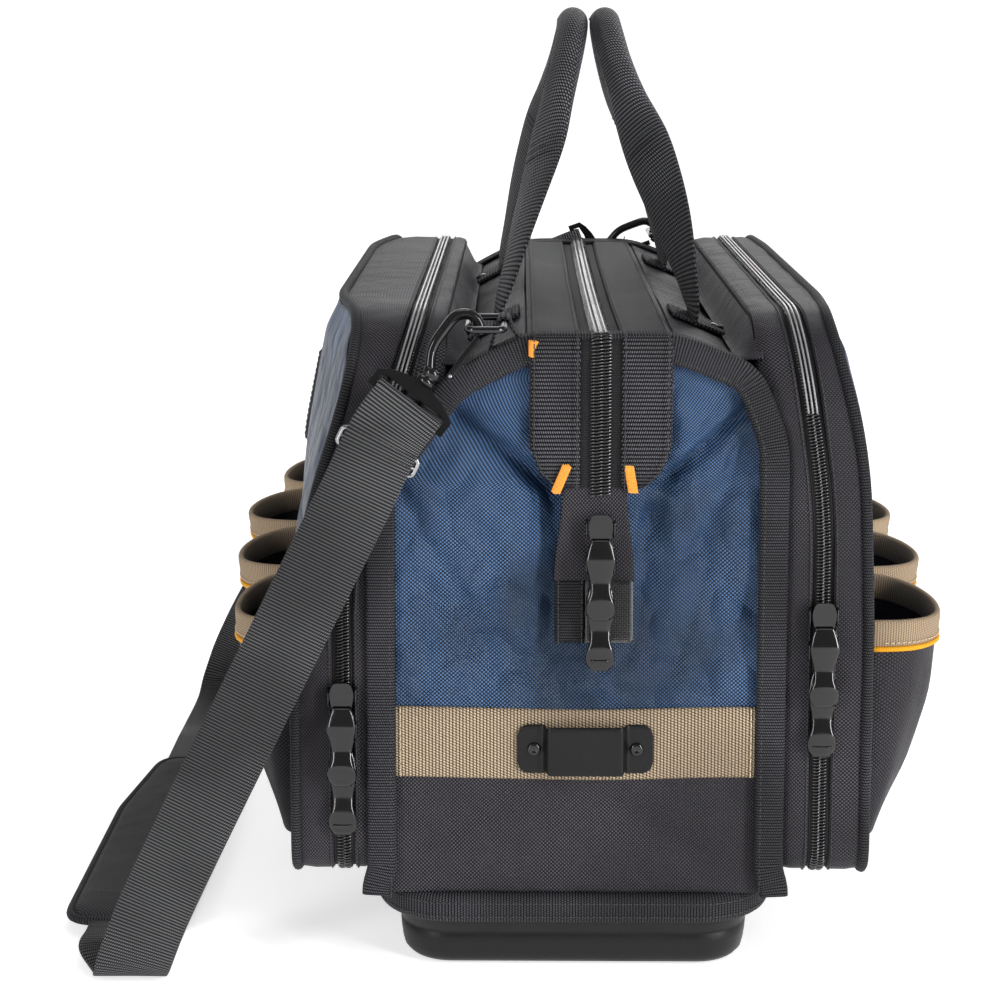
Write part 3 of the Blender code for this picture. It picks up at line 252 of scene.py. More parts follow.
def rib_group() -> bpy.types.NodeTree:
    """Ribs of a webbing with the small threads that cross them."""
    round_by, grain_share = 0.6, 0.72

    def build(n: Nodes, given: bpy.types.NodeOutputs) -> Outputs:
        """Build round ribs, each cut into slanted grains."""
        turn = n.math("DIVIDE", given["Along"], given["Pitch"])
        rib = n.math("POWER", n.hump(turn), round_by)
        row = n.math("MODULO", n.math("FLOOR", turn), 2.0)
        slant = n.math("MULTIPLY_ADD", n.math("FRACT", turn), 0.5, n.math("MULTIPLY", row, 0.5))
        grain = n.hump(n.math("ADD", n.math("DIVIDE", given["Across"], given["Thread"]), slant))
        grained = n.math("MULTIPLY_ADD", grain, grain_share, 1.0 - grain_share)
        return {"Height": n.math("MULTIPLY", rib, grained), "Rib": rib}

    numbers = {"Across": 0.0, "Along": 0.0, "Pitch": 0.002, "Thread": 0.001}
    return group("webbing ribs", numbers, ("Height", "Rib"), build, placed=False)


def painted_sheen_and_dust_group() -> bpy.types.NodeTree:
    """A broad painted sheen of lighter and darker zones over a fabric, and the light dust that it holds."""
    broad_scale, dust_scale, speck_scale = 9.0, 160.0, 900.0

    def build(n: Nodes, given: bpy.types.NodeOutputs) -> Outputs:
        """Build the painted sheen from one noise and dust from two."""
        place = given["Place"]
        # Painted sheen: broad noise that the fabrics use to darken their colour in zones
        shade = n.span(n.noise(place, broad_scale, 2.0), 0.40, 0.60)
        patches = n.span(n.noise(place, dust_scale, 4.0), 0.5, 0.75)
        specks = n.span(n.noise(place, speck_scale, 2.0), 0.5, 0.8)
        dust = n.math("MULTIPLY", n.math("MULTIPLY", patches, specks), given["Amount"])
        return {"Shade": shade, "Dust": dust}

    return group("painted sheen and dust", {"Amount": 0.3}, ("Shade", "Dust"), build)


def crumple_group() -> bpy.types.NodeTree:
    """Soft creases of a stiff fabric, as a height in metres."""
    long_scale, short_scale = 22.0, 70.0

    def build(n: Nodes, given: bpy.types.NodeOutputs) -> Outputs:
        """Build long creases over short ones."""
        long = n.noise(given["Place"], long_scale, 2.0)
        short = n.noise(given["Place"], short_scale, 3.0)
        ridge = n.math("ABSOLUTE", n.math("SUBTRACT", long, 0.5))
        total = n.math("MULTIPLY_ADD", short, 0.25, n.math("MULTIPLY", ridge, 1.6))
        return {"Height": n.math("MULTIPLY", total, given["Depth"])}

    return group("crumple", {"Depth": 0.002}, ("Height",), build)


def grain_group() -> bpy.types.NodeTree:
    """Fine grain of a moulded or cast surface."""
    gloss_scale = 35.0

    def build(n: Nodes, given: bpy.types.NodeOutputs) -> Outputs:
        """Build rounded grains and a slow change of gloss."""
        cells = n.add("ShaderNodeTexVoronoi", {"Vector": given["Place"], "Scale": given["Scale"]})
        height = n.span(cells.outputs["Distance"], 0.0, 0.7)
        return {"Height": height, "Gloss": n.noise(given["Place"], gloss_scale, 3.0)}

    return group("grain", {"Scale": 900.0}, ("Height", "Gloss"), build)


# ------------------------------------------------------------------ finishes


@dataclass(frozen=True)
class Finish:
    """What every finish shares: its name, colour, gloss and the record's slot."""

    name: str
    colour: Colour
    roughness: float
    slot: Slot

    def material(self) -> bpy.types.Material:
        """The material, made on first use."""
        found = bpy.data.materials.get(self.name)
        if found:
            return found
        made = bpy.data.materials.new(self.name)
        made.use_nodes = True
        made.node_tree.nodes.clear()
        n = Nodes(made.node_tree)
        shader = n.add("ShaderNodeBsdfPrincipled")
        n.add("ShaderNodeOutputMaterial", {0: shader.outputs[0]})
        self.dress(n, shader)
        return made

    def dress(self, n: Nodes, shader: bpy.types.Node) -> None:
        """Set the shader's inputs."""
        raise NotImplementedError

    def place(self, n: Nodes) -> bpy.types.NodeSocket:
        """Coordinates on the object, in metres."""
        return n.add("ShaderNodeTexCoord").outputs["Object"]

    def surface_place(self, n: Nodes) -> bpy.types.NodeSocket:
        """Coordinates along the fabric, in metres."""
        return n.add("ShaderNodeUVMap", uv_map=UV_NAME).outputs[0]


@dataclass(frozen=True)
class Cloth(Finish):
    """Woven nylon: threads painted lighter or darker by which one lies on top, painted shade in the gaps, a
    broad painted sheen, soft creases and a little dust.
    """

    # Painted shade: the colour in the gaps between the threads
    gap_shade: Colour = (0.0015, 0.0015, 0.002)
    pitch: float = 0.0009
    depth: float = 0.00022
    crease: float = 0.0016
    dust: float = 0.25
    dust_colour: Colour = (0.10, 0.10, 0.10)
    sheen: float = 0.0
    specular: float = 0.15
    # How far apart the painted lit and shaded copies of the thread colour are; then the broad painted sheen:
    # how dark its darker zones are and how strongly they show
    contrast: float = 2.2
    painted_sheen_dark: float = 0.8
    painted_sheen_share: float = 0.5

    def dress(self, n: Nodes, shader: bpy.types.Node) -> None:
        """Build the weave's colour with its painted light and shade, its gloss and height."""
        place = self.place(n)
        weave = n.group(weave_group(), Place=self.surface_place(n), Pitch=self.pitch)
        painted_sheen_and_dust = n.group(painted_sheen_and_dust_group(), Place=place, Amount=self.dust)
        crumple = n.group(crumple_group(), Place=place, Depth=self.crease)
        height = weave["Height"]
        # Painted light: cells where one thread lies on top get a lighter copy of the colour, the others a
        # darker copy
        low, painted_lit = scaled(self.colour, 1 / self.contrast), scaled(self.colour, self.contrast)
        # Painted sheen: broad noise mixes in a darker copy of the colour in zones
        painted_sheen_mix = n.math("MULTIPLY", painted_sheen_and_dust["Shade"], self.painted_sheen_share)
        shaded = n.blend(painted_sheen_mix, n.blend(weave["Over"], low, painted_lit), scaled(self.colour, self.painted_sheen_dark))
        # Painted shade: the gap colour fills the dips between the threads
        woven = n.blend(n.span(height, 0.15, 0.62), self.gap_shade, shaded)
        coarse = n.bump(crumple["Height"], 0.8, 1.0)
        n.fill(shader, Base_Color=n.blend(painted_sheen_and_dust["Dust"], woven, self.dust_colour),
               Roughness=n.span(height, 0.2, 0.9, self.roughness + 0.18, self.roughness),
               Specular_IOR_Level=self.specular, Sheen_Weight=self.sheen, Sheen_Roughness=0.45,
               Normal=n.bump(height, 0.8, self.depth, coarse))


@dataclass(frozen=True)
class LooseCloth(Cloth):
    """Woven nylon whose threads follow the object's own axes."""

    def surface_place(self, n: Nodes) -> bpy.types.NodeSocket:
        """Coordinates on the object, in metres."""
        return self.place(n)


@dataclass(frozen=True)
class Webbing(Finish):
    """Ribbed webbing or binding tape."""

    # Painted shade: the colour in the gaps between the ribs
    gap_shade: Colour = (0.0012, 0.0012, 0.0012)
    pitch: float = 0.0022
    thread: float = 0.0011
    depth: float = 0.0004
    ribs: Along = Along.LENGTH
    specular: float = 0.14
    # How much lighter the painted highlight on the crests is, and how dark the painted sheen's darker zones
    # are
    contrast: float = 3.2
    painted_sheen_dark: float = 0.82
    dust: float = 0.22
    dust_colour: Colour = (0.12, 0.115, 0.105)

    def dress(self, n: Nodes, shader: bpy.types.Node) -> None:
        """Build the ribs' colour with a painted highlight on their crests, a broad painted sheen and painted
        shade in the gaps, their gloss and height.
        """
        parts = n.add("ShaderNodeSeparateXYZ", {0: self.surface_place(n)}).outputs
        along = self.ribs.value
        ribs = n.group(rib_group(), Along=parts[along], Across=parts[1 - along], Pitch=self.pitch,
                       Thread=self.thread)
        painted_sheen_and_dust = n.group(painted_sheen_and_dust_group(), Place=self.place(n), Amount=self.dust)
        height = ribs["Height"]
        # Painted highlight: a lighter copy of the colour on the crests of the ribs
        crest = n.blend(n.span(height, 0.55, 0.95), self.colour, scaled(self.colour, self.contrast))
        # Painted sheen: broad noise mixes in a darker copy of the colour in zones
        thread = n.blend(n.math("MULTIPLY", painted_sheen_and_dust["Shade"], 0.5), crest, scaled(self.colour, self.painted_sheen_dark))
        # Painted shade: the gap colour fills the dips between the ribs
        woven = n.blend(n.span(height, 0.18, 0.62), self.gap_shade, thread)
        n.fill(shader, Base_Color=n.blend(painted_sheen_and_dust["Dust"], woven, self.dust_colour),
               Roughness=n.span(height, 0.2, 0.9, self.roughness + 0.15, self.roughness),
               Specular_IOR_Level=self.specular, Normal=n.bump(height, 0.85, self.depth))


@dataclass(frozen=True)
class Hard(Finish):
    """Moulded plastic, coated or plated metal."""

    metallic: float = 0.0
    grain: float = 0.00006
    scale: float = 900.0
    coat: float = 0.0
    specular: float = 0.5
    dust: float = 0.25

    def dress(self, n: Nodes, shader: bpy.types.Node) -> None:
        """Build the grain, the change of gloss and the scuffs."""
        place = self.place(n)
        grain = n.group(grain_group(), Place=place, Scale=self.scale)
        painted_sheen_and_dust = n.group(painted_sheen_and_dust_group(), Place=place, Amount=self.dust)
        glossy, dull = max(0.03, self.roughness - 0.06), self.roughness + 0.08
        n.fill(shader, Base_Color=n.blend(painted_sheen_and_dust["Dust"], self.colour, scaled(self.colour, 1.5, 0.03)),
               Roughness=n.span(grain["Gloss"], 0.3, 0.7, glossy, dull), Metallic=self.metallic,
               Specular_IOR_Level=self.specular, Coat_Weight=self.coat, Coat_Roughness=0.08,
               Normal=n.bump(grain["Height"], 0.5, self.grain))


@dataclass(frozen=True)
class Thread(Finish):
    """Twisted thread or nylon monofilament."""

    def dress(self, n: Nodes, shader: bpy.types.Node) -> None:
        """Build slanted twists."""
        inputs = {"Vector": self.place(n), "Scale": 420.0}
        twist = n.add("ShaderNodeTexWave", inputs, bands_direction="DIAGONAL").outputs["Fac"]
        n.fill(shader, Base_Color=n.blend(twist, self.colour, scaled(self.colour, 1.3)),
               Roughness=self.roughness, Normal=n.bump(twist, 0.4, 0.0001))


BLACK_NYLON = Cloth("ballistic nylon, black", (0.024, 0.0220, 0.0260), 0.42, Slot.NYLON,
                    pitch=0.0010, depth=0.0004, crease=0.0050, contrast=3.4)
# Painted light is strongest on the blue: lit and shaded thread copies far apart, a deep painted sheen and
# dark painted shade in the gaps
BLUE_NYLON = Cloth("ballistic nylon, blue", (0.0135, 0.029, 0.060), 0.32, Slot.BLUE,
                   gap_shade=(0.0004, 0.0012, 0.0045), pitch=0.0010, depth=0.0004, crease=0.0200,
                   specular=0.28, contrast=6.0, painted_sheen_dark=0.42, painted_sheen_share=0.65)
LINING = Cloth("lining, grey", (0.030, 0.030, 0.032), 0.7, Slot.NYLON,
               pitch=0.0006, depth=0.0001, crease=0.0012)
PAD_NYLON = LooseCloth("pad nylon, grey", (0.030, 0.030, 0.032), 0.6, Slot.NYLON,
                       pitch=0.0010, crease=0.0030)
LOOP_PILE = Cloth("hook and loop, black", (0.018, 0.018, 0.018), 0.85, Slot.NYLON,
                  pitch=0.0012, depth=0.0008, crease=0.0, sheen=0.5, dust=0.5)

BLACK_WEB = Webbing("webbing, black", (0.016, 0.016, 0.018), 0.52, Slot.WEB, contrast=7.0)
BAND_WEB = Webbing("heavy webbing, black", (0.015, 0.015, 0.017), 0.50, Slot.WEB,
                   pitch=0.0021, depth=0.0007, contrast=9.0)
BINDING = Webbing("binding tape, black", (0.014, 0.014, 0.016), 0.55, Slot.WEB,
                  pitch=0.0015, thread=0.0009, contrast=7.0)
HANDLE_WEB = Webbing("handle webbing, black", (0.020, 0.020, 0.022), 0.46, Slot.WEB,
                     pitch=0.0023, thread=0.0012, depth=0.0007, contrast=11.0)
STRAP_WEB = Webbing("strap webbing, black", (0.020, 0.020, 0.021), 0.50, Slot.WEB,
                    pitch=0.0017, depth=0.0005, contrast=11.0)
ZIP_TAPE = Webbing("zip tape, black", (0.012, 0.012, 0.013), 0.6, Slot.WEB,
                   pitch=0.0009, thread=0.0009, depth=0.0001)
TAN_WEB = Webbing("webbing, tan", (0.30, 0.235, 0.165), 0.7, Slot.TAN, gap_shade=(0.060, 0.038, 0.020),
                  pitch=0.0018, thread=0.0015, depth=0.0005, ribs=Along.WIDTH, contrast=2.2)
RIM_TAPE = Webbing("rim tape, tan", (0.42, 0.315, 0.21), 0.75, Slot.TAN, gap_shade=(0.120, 0.085, 0.055),
                   pitch=0.0014, thread=0.0009, depth=0.0002, contrast=1.3)
YELLOW_PIPING = Webbing("piping, yellow", (0.90, 0.42, 0.020), 0.55, Slot.TAN, gap_shade=(0.6, 0.25, 0.01),
                        pitch=0.0009, thread=0.0007, depth=0.0001, contrast=1.1)

MOULDED = Hard("moulded base, black", (0.012, 0.012, 0.0125), 0.42, Slot.MOULDED,
               grain=0.00012, scale=1100.0, specular=0.2)
GLOSS_BLACK = Hard("cast metal, gloss black", (0.0045, 0.0045, 0.005), 0.11, Slot.METAL,
                   grain=0.00001, scale=300.0, specular=0.55)
SATIN_BLACK = Hard("coated plate, black", (0.006, 0.006, 0.0065), 0.30, Slot.METAL,
                   grain=0.00002, scale=700.0, specular=0.25)
DARK_WIRE = Hard("ring wire, dark", (0.060, 0.060, 0.064), 0.14, Slot.METAL,
                 metallic=1.0, grain=0.00002, scale=500.0)
PLATED = Hard("plated wire", (0.34, 0.34, 0.35), 0.20, Slot.BRIGHT,
              metallic=1.0, grain=0.00002, scale=500.0)
COIL = Hard("zip coil, black", (0.010, 0.010, 0.011), 0.20, Slot.WEB,
            grain=0.00001, scale=800.0, coat=0.5)
# Painted highlight: light grey for the tubes laid along the coil's crests
COIL_SHINE = Hard("zip coil, painted highlight", (0.26, 0.26, 0.27), 0.22, Slot.WEB,
                  grain=0.00001, scale=800.0, coat=0.6)

BLACK_THREAD = Thread("thread, black", (0.022, 0.022, 0.023), 0.5, Slot.WEB)
ORANGE_THREAD = Thread("thread, orange", (0.80, 0.30, 0.030), 0.5, Slot.TAN)
TAN_THREAD = Thread("thread, tan", (0.55, 0.43, 0.30), 0.6, Slot.TAN)


# -------------------------------------------------------------------- meshes

UV_SAMPLES = 8
LEAST_RADIUS = 1e-5


def unit(vectors: np.ndarray) -> np.ndarray:
    """Vectors scaled to length one."""
    size = np.linalg.norm(vectors, axis=-1, keepdims=True)
    return vectors / np.maximum(size, 1e-12)


def clamp(value: float) -> float:
    """A number held between 0 and 1."""
    return min(1.0, max(0.0, value))


def smooth_step(value: np.ndarray) -> np.ndarray:
    """A share from 0 to 1 that starts and ends gently."""
    share = np.clip(value, 0.0, 1.0)
    return share * share * (3.0 - 2.0 * share)


def points(path: Iterable[Sequence[float]]) -> np.ndarray:
    """A path as rows of numbers."""
    return np.array([tuple(p) for p in path], float)


def at_level(line: np.ndarray, z: float) -> np.ndarray:
    """A flat outline raised to one height."""
    return np.column_stack([line, np.full(len(line), z)])


def outwards(line: np.ndarray, closed: bool = True) -> np.ndarray:
    """Unit vectors to the right of a flat line, which is out of it if it runs counter-clockwise."""
    if closed:
        ahead = unit(np.roll(line, -1, axis=0) - np.roll(line, 1, axis=0))
    else:
        ahead = unit(np.gradient(line, axis=0))
    return np.stack([ahead[:, 1], -ahead[:, 0]], axis=1)


def dip(distance: np.ndarray, width: float) -> np.ndarray:
    """A bump of height one that fades over a width."""
    return np.exp(-(np.asarray(distance) / width) ** 2)


def lengths(line: np.ndarray) -> np.ndarray:
    """Distance along a line of points, from zero."""
    steps = np.linalg.norm(np.diff(line, axis=0), axis=1)
    return np.concatenate([[0.0], np.cumsum(steps)])


def resampled(path: Iterable[Sequence[float]], spacing: float, closed: bool = False) -> np.ndarray:
    """A line of points at even spacing through the given ones.

    Args:
        path: Points of the line.
        spacing: Distance wanted between two points.
        closed: Whether the line returns to its start.

    Returns:
        Evenly spaced points; a closed line doesn't repeat its first.
    """
    line = points(path)
    if closed:
        line = np.vstack([line, line[:1]])
    run = lengths(line)
    count = max(3, int(round(run[-1] / spacing)) + 1)
    marks = np.linspace(0.0, run[-1], count)
    found = np.stack([np.interp(marks, run, line[:, k]) for k in range(line.shape[1])], axis=1)
    return found[:-1] if closed else found


def softened(path: np.ndarray, rounds: int, closed: bool = False) -> np.ndarray:
    """A line whose corners are rounded by averaging with its neighbours."""
    line = np.array(path, float)
    for _ in range(rounds):
        before = np.roll(line, 1, axis=0)
        after = np.roll(line, -1, axis=0)
        moved = (before + line * 2 + after) / 4
        if not closed:
            moved[0], moved[-1] = line[0], line[-1]
        line = moved
    return line


def arc(centre: Pair, radius: float, start: float, stop: float, steps: int) -> List[Pair]:
    """Points along an arc, both ends included, with its turns in degrees."""
    turns = [math.radians(start + (stop - start) * i / steps) for i in range(steps + 1)]
    return [(centre[0] + radius * math.cos(t), centre[1] + radius * math.sin(t)) for t in turns]


def rounded_box(half_x: float, half_y: float, radius: float, steps: int = 5) -> np.ndarray:
    """Outline of a rectangle with round corners, counter-clockwise."""
    outline: List[Pair] = []
    for turn, (sx, sy) in enumerate(((1, 1), (-1, 1), (-1, -1), (1, -1))):
        centre = (sx * (half_x - radius), sy * (half_y - radius))
        outline += arc(centre, radius, turn * 90, turn * 90 + 90, steps)
    return np.array(outline)


def domed(outline: np.ndarray, rise: float, half: float) -> List[Pair]:
    """A section whose outer side swells towards its middle."""
    return [(a, b + rise * (1 - (a / half) ** 2) * (b > 0)) for a, b in outline]


def finish_only(mesh: bpy.types.Mesh, finish: Finish) -> None:
    """Give a mesh one finish in place of those that it has."""
    mesh.materials.clear()
    mesh.materials.append(finish.material())


def placed(name: str, data: bpy.types.ID) -> bpy.types.Object:
    """A new object in the scene."""
    made = bpy.data.objects.new(name, data)
    bpy.context.scene.collection.objects.link(made)
    return made


def rounded_edges(piece: bpy.types.Object, width: float, segments: int, degrees: float,
                  harden: bool = False) -> None:
    """Round the edges of a piece that are sharper than an angle."""
    bevel = piece.modifiers.new("round edges", "BEVEL")
    bevel.width = width
    bevel.segments = segments
    bevel.limit_method = "ANGLE"
    bevel.angle_limit = math.radians(degrees)
    bevel.harden_normals = harden


def mesh_piece(name: str, vertices: np.ndarray, faces: Sequence[Sequence[int]], finish: Finish,
               uvs: np.ndarray) -> bpy.types.Object:
    """An object from vertices and faces.

    Args:
        name: Name of the piece.
        vertices: Places of its vertices.
        faces: Vertex numbers of each face.
        finish: What it is made of.
        uvs: Two numbers for each face corner, in metres along the fabric.

    Returns:
        The piece.
    """
    mesh = bpy.data.meshes.new(name)
    mesh.from_pydata([tuple(v) for v in vertices], [], [tuple(f) for f in faces])
    layer = mesh.uv_layers.new(name=UV_NAME)
    layer.data.foreach_set("uv", np.asarray(uvs, np.float32).ravel())
    mesh.materials.append(finish.material())
    mesh.shade_smooth()
    return placed(name, mesh)


def mean_run(lines: np.ndarray, closed: bool) -> np.ndarray:
    """Mean distance along a bundle of lines, on to their start if they are closed."""
    run = np.mean([lengths(line) for line in lines[:: max(1, len(lines) // UV_SAMPLES)]], axis=0)
    if closed:
        run = np.append(run, run[-1] + np.linalg.norm(lines[:, 0] - lines[:, -1], axis=1).mean())
    return run


def surface(name: str, rows: np.ndarray, finish: Finish, core: Sequence[float] = (0, 0, 0),
            around: bool = False, ring: bool = False, wall: float = 0.0,
            caps: bool = False) -> bpy.types.Object:
    """A sheet through rows of points that faces away from its core.

    Args:
        name: Name of the piece.
        rows: Points as rows by columns by three.
        finish: What it is made of.
        core: A point that the sheet faces away from; a closed form finds its outside by its volume.
        around: Whether each row returns to its start.
        ring: Whether the last row returns to the first.
        wall: Thickness that the sheet is given inwards, or zero.
        caps: Whether the first and last rows are closed by a face each.

    Returns:
        The piece, with a UV map in metres.
    """
    grid = np.asarray(rows, float)
    count, width = grid.shape[:2]
    along = mean_run(grid.transpose(1, 0, 2), ring)
    across = mean_run(grid, around)
    i, j = np.meshgrid(np.arange(count if ring else count - 1), np.arange(width if around else width - 1),
                       indexing="ij")
    i, j = i.ravel(), j.ravel()
    ni, nj = (i + 1) % count, (j + 1) % width
    faces = np.stack([i * width + j, i * width + nj, ni * width + nj, ni * width + j], axis=1)
    corners_of = ((0, 0), (1, 0), (1, 1), (0, 1))
    uvs = np.stack([np.stack([across[j + a], along[i + b]], 1) for a, b in corners_of], axis=1)
    flat = grid.reshape(-1, 3)
    a, b, c = flat[faces[:, 0]], flat[faces[:, 1]], flat[faces[:, 2]]
    normals = np.cross(b - a, c - a)
    if caps or (around and ring):
        outward = np.sum(a * (np.cross(b, c) + np.cross(c, flat[faces[:, 3]])))
    else:
        outward = np.sum((flat[faces].mean(axis=1) - np.asarray(core, float)) * normals)
    if outward < 0:
        faces, uvs = faces[:, ::-1], uvs[:, ::-1]
    polygons = [list(f) for f in faces]
    corners = list(uvs.reshape(-1, 2))
    if caps:
        for row, turned in ((0, outward >= 0), (count - 1, outward < 0)):
            ring_of = [row * width + k for k in range(width)]
            polygons.append(ring_of[::-1] if turned else ring_of)
            corners += [(0.0, 0.0)] * width
    piece = mesh_piece(name, flat, polygons, finish, np.array(corners))
    if wall:
        shell = piece.modifiers.new("wall", "SOLIDIFY")
        shell.thickness = wall
        shell.offset = -1.0
    return piece


def frames_along(path: np.ndarray, looks: np.ndarray, closed: bool) -> Tuple[np.ndarray, np.ndarray]:
    """The wide and the facing direction at each point of a path.

    Args:
        path: Points of the path.
        looks: Roughly the way the outer face looks at each point.
        closed: Whether the path returns to its start.

    Returns:
        Unit vectors across the path and out of its face.
    """
    if closed:
        ahead = np.roll(path, -1, axis=0) - np.roll(path, 1, axis=0)
    else:
        ahead = np.gradient(path, axis=0)
    ahead = unit(ahead)
    wide = unit(np.cross(ahead, looks))
    return wide, unit(np.cross(wide, ahead))


def per_point(ways: Sequence, count: int) -> np.ndarray:
    """Directions as one for each point, from as many or from a single one."""
    return np.broadcast_to(np.array(ways, float), (count, 3))


def swept(name: str, path: Iterable[Sequence[float]], looks: Sequence, section: Sequence[Pair],
          finish: Finish, closed: bool = False, sizes: Optional[np.ndarray] = None) -> bpy.types.Object:
    """A section carried along a path.

    Args:
        name: Name of the piece.
        path: Points of the path.
        looks: The way the section's second axis looks, throughout or at each point.
        section: Closed outline, across and out.
        finish: What it is made of.
        closed: Whether the path returns to its start.
        sizes: Scale of the section at each point, or nothing for one throughout.

    Returns:
        The piece.
    """
    line = points(path)
    wide, out = frames_along(line, per_point(looks, len(line)), closed)
    shape = np.asarray(section, float)
    scale = np.ones((len(line), 1)) if sizes is None else np.asarray(sizes, float).reshape(-1, 1)
    a, b = (shape[None, :, k] * scale for k in (0, 1))
    rows = line[:, None, :] + wide[:, None, :] * a[..., None] + out[:, None, :] * b[..., None]
    return surface(name, rows, finish, around=True, ring=closed, caps=not closed)


def tube(name: str, path: Iterable[Sequence[float]], radius: float, finish: Finish,
         closed: bool = False, sides: int = 8, radii: Optional[Sequence[float]] = None,
         look: Sequence[float] = (0.3, 0.2, 1.0)) -> bpy.types.Object:
    """A round rod, cord or piping along a path."""
    line = points(path)
    section = arc((0.0, 0.0), radius, 0, 360, sides)[:-1]
    sizes = None if radii is None else np.asarray(radii, float) / radius
    ahead = unit(np.gradient(line, axis=0))
    looks = np.zeros_like(line)
    current = np.asarray(look, float)
    for i, way in enumerate(ahead):
        current = unit(current - way * current.dot(way))
        looks[i] = current
    return swept(name, line, looks, section, finish, closed, sizes)


def ribbon(name: str, path: Iterable[Sequence[float]], looks: Sequence, width: float, thickness: float,
           finish: Finish) -> bpy.types.Object:
    """Flat webbing with round edges along a path."""
    section = rounded_box(width / 2, thickness / 2, thickness / 2 * 0.98, 3)
    return swept(name, path, looks, section, finish)


def plate(name: str, outline: Sequence[Pair], thickness: float, origin: Sequence[float],
          across: Sequence[float], up: Sequence[float], finish: Finish, round_by: float,
          holes: Sequence[Sequence[Pair]] = ()) -> bpy.types.Object:
    """A flat piece with rounded edges.

    Args:
        name: Name of the piece.
        outline: Its outline, across and up.
        thickness: Its thickness, half either way.
        origin: Place of the outline's zero.
        across: Direction of the outline's first axis.
        up: Direction of its second axis.
        finish: What it is made of.
        round_by: Width of the rounding on its edges.
        holes: Outlines of holes through it.

    Returns:
        The piece.
    """
    curve = bpy.data.curves.new(name, "CURVE")
    curve.dimensions = "2D"
    curve.fill_mode = "BOTH"
    curve.extrude = thickness / 2
    for loop in (outline, *holes):
        spline = curve.splines.new("POLY")
        spline.points.add(len(loop) - 1)
        for point, (x, y) in zip(spline.points, loop):
            point.co = (x, y, 0.0, 1.0)
        spline.use_cyclic_u = True
    holder = bpy.data.objects.new(name, curve)
    mesh = bpy.data.meshes.new_from_object(holder)
    bpy.data.objects.remove(holder)
    bm = bmesh.new()
    bm.from_mesh(mesh)
    bmesh.ops.remove_doubles(bm, verts=bm.verts, dist=1e-6)
    x_axis = Vector(across).normalized()
    y_axis = (Vector(up) - x_axis * Vector(up).dot(x_axis)).normalized()
    turn = Matrix((x_axis, y_axis, x_axis.cross(y_axis))).transposed().to_4x4()
    turn.translation = Vector(origin)
    bm.transform(turn)
    bmesh.ops.recalc_face_normals(bm, faces=bm.faces)
    bm.to_mesh(mesh)
    bm.free()
    mesh.name = name
    finish_only(mesh, finish)
    piece = placed(name, mesh)
    rounded_edges(piece, round_by, 3, 35, harden=True)
    mesh.shade_smooth()
    mesh.set_sharp_from_angle(angle=math.radians(60))
    return piece


def lathe(name: str, profile: Sequence[Pair], origin: Sequence[float], axis: Sequence[float],
          finish: Finish, sides: int = 20) -> bpy.types.Object:
    """A round piece: its profile gives each radius and height along the axis."""
    way = Vector(axis).normalized()
    start = way.orthogonal().normalized()
    other = way.cross(start)
    turns = [2 * math.pi * k / sides for k in range(sides)]
    rows = []
    for radius, height in profile:
        centre = Vector(origin) + way * height
        reach = max(radius, LEAST_RADIUS)
        rows.append(points(centre + (start * math.cos(t) + other * math.sin(t)) * reach for t in turns))
    return surface(name, np.array(rows), finish, around=True, caps=True)


def joined(name: str, pieces: Sequence[bpy.types.Object]) -> bpy.types.Object:
    """Several pieces made one, with their modifiers applied and their finishes kept."""
    mesh = bpy.data.meshes.new(name)
    bm = bmesh.new()
    bm.loops.layers.uv.new(UV_NAME)
    slots: List[bpy.types.Material] = []
    graph = bpy.context.evaluated_depsgraph_get()
    for piece in pieces:
        part = bpy.data.meshes.new_from_object(piece.evaluated_get(graph), depsgraph=graph)
        for material in part.materials:
            if material not in slots:
                slots.append(material)
        part_slots = [slots.index(m) for m in part.materials]
        before = len(bm.faces)
        bm.from_mesh(part)
        bm.faces.ensure_lookup_table()
        for index in range(before, len(bm.faces)):
            face = bm.faces[index]
            face.material_index = part_slots[face.material_index] if part_slots else 0
        bpy.data.meshes.remove(part)
        bpy.data.objects.remove(piece)
    bm.to_mesh(mesh)
    bm.free()
    for material in slots:
        mesh.materials.append(material)
    return placed(name, mesh)


def settle(piece: bpy.types.Object, body: str, slot: Slot, *nodes: str) -> bpy.types.Object:
    """Put a finished piece on its body and hide the nodes that it stands for; its slot is not used."""
    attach(piece, body)
    if nodes:
        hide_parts(*nodes)
    LOG.info("%s rides on %s", piece.name, body)
    return piece


# ----------------------------------------------------- repeats along a path


class Repeat(Enum):
    """What is repeated along a path."""

    TOOTH = "tooth"
    STITCH = "stitch"


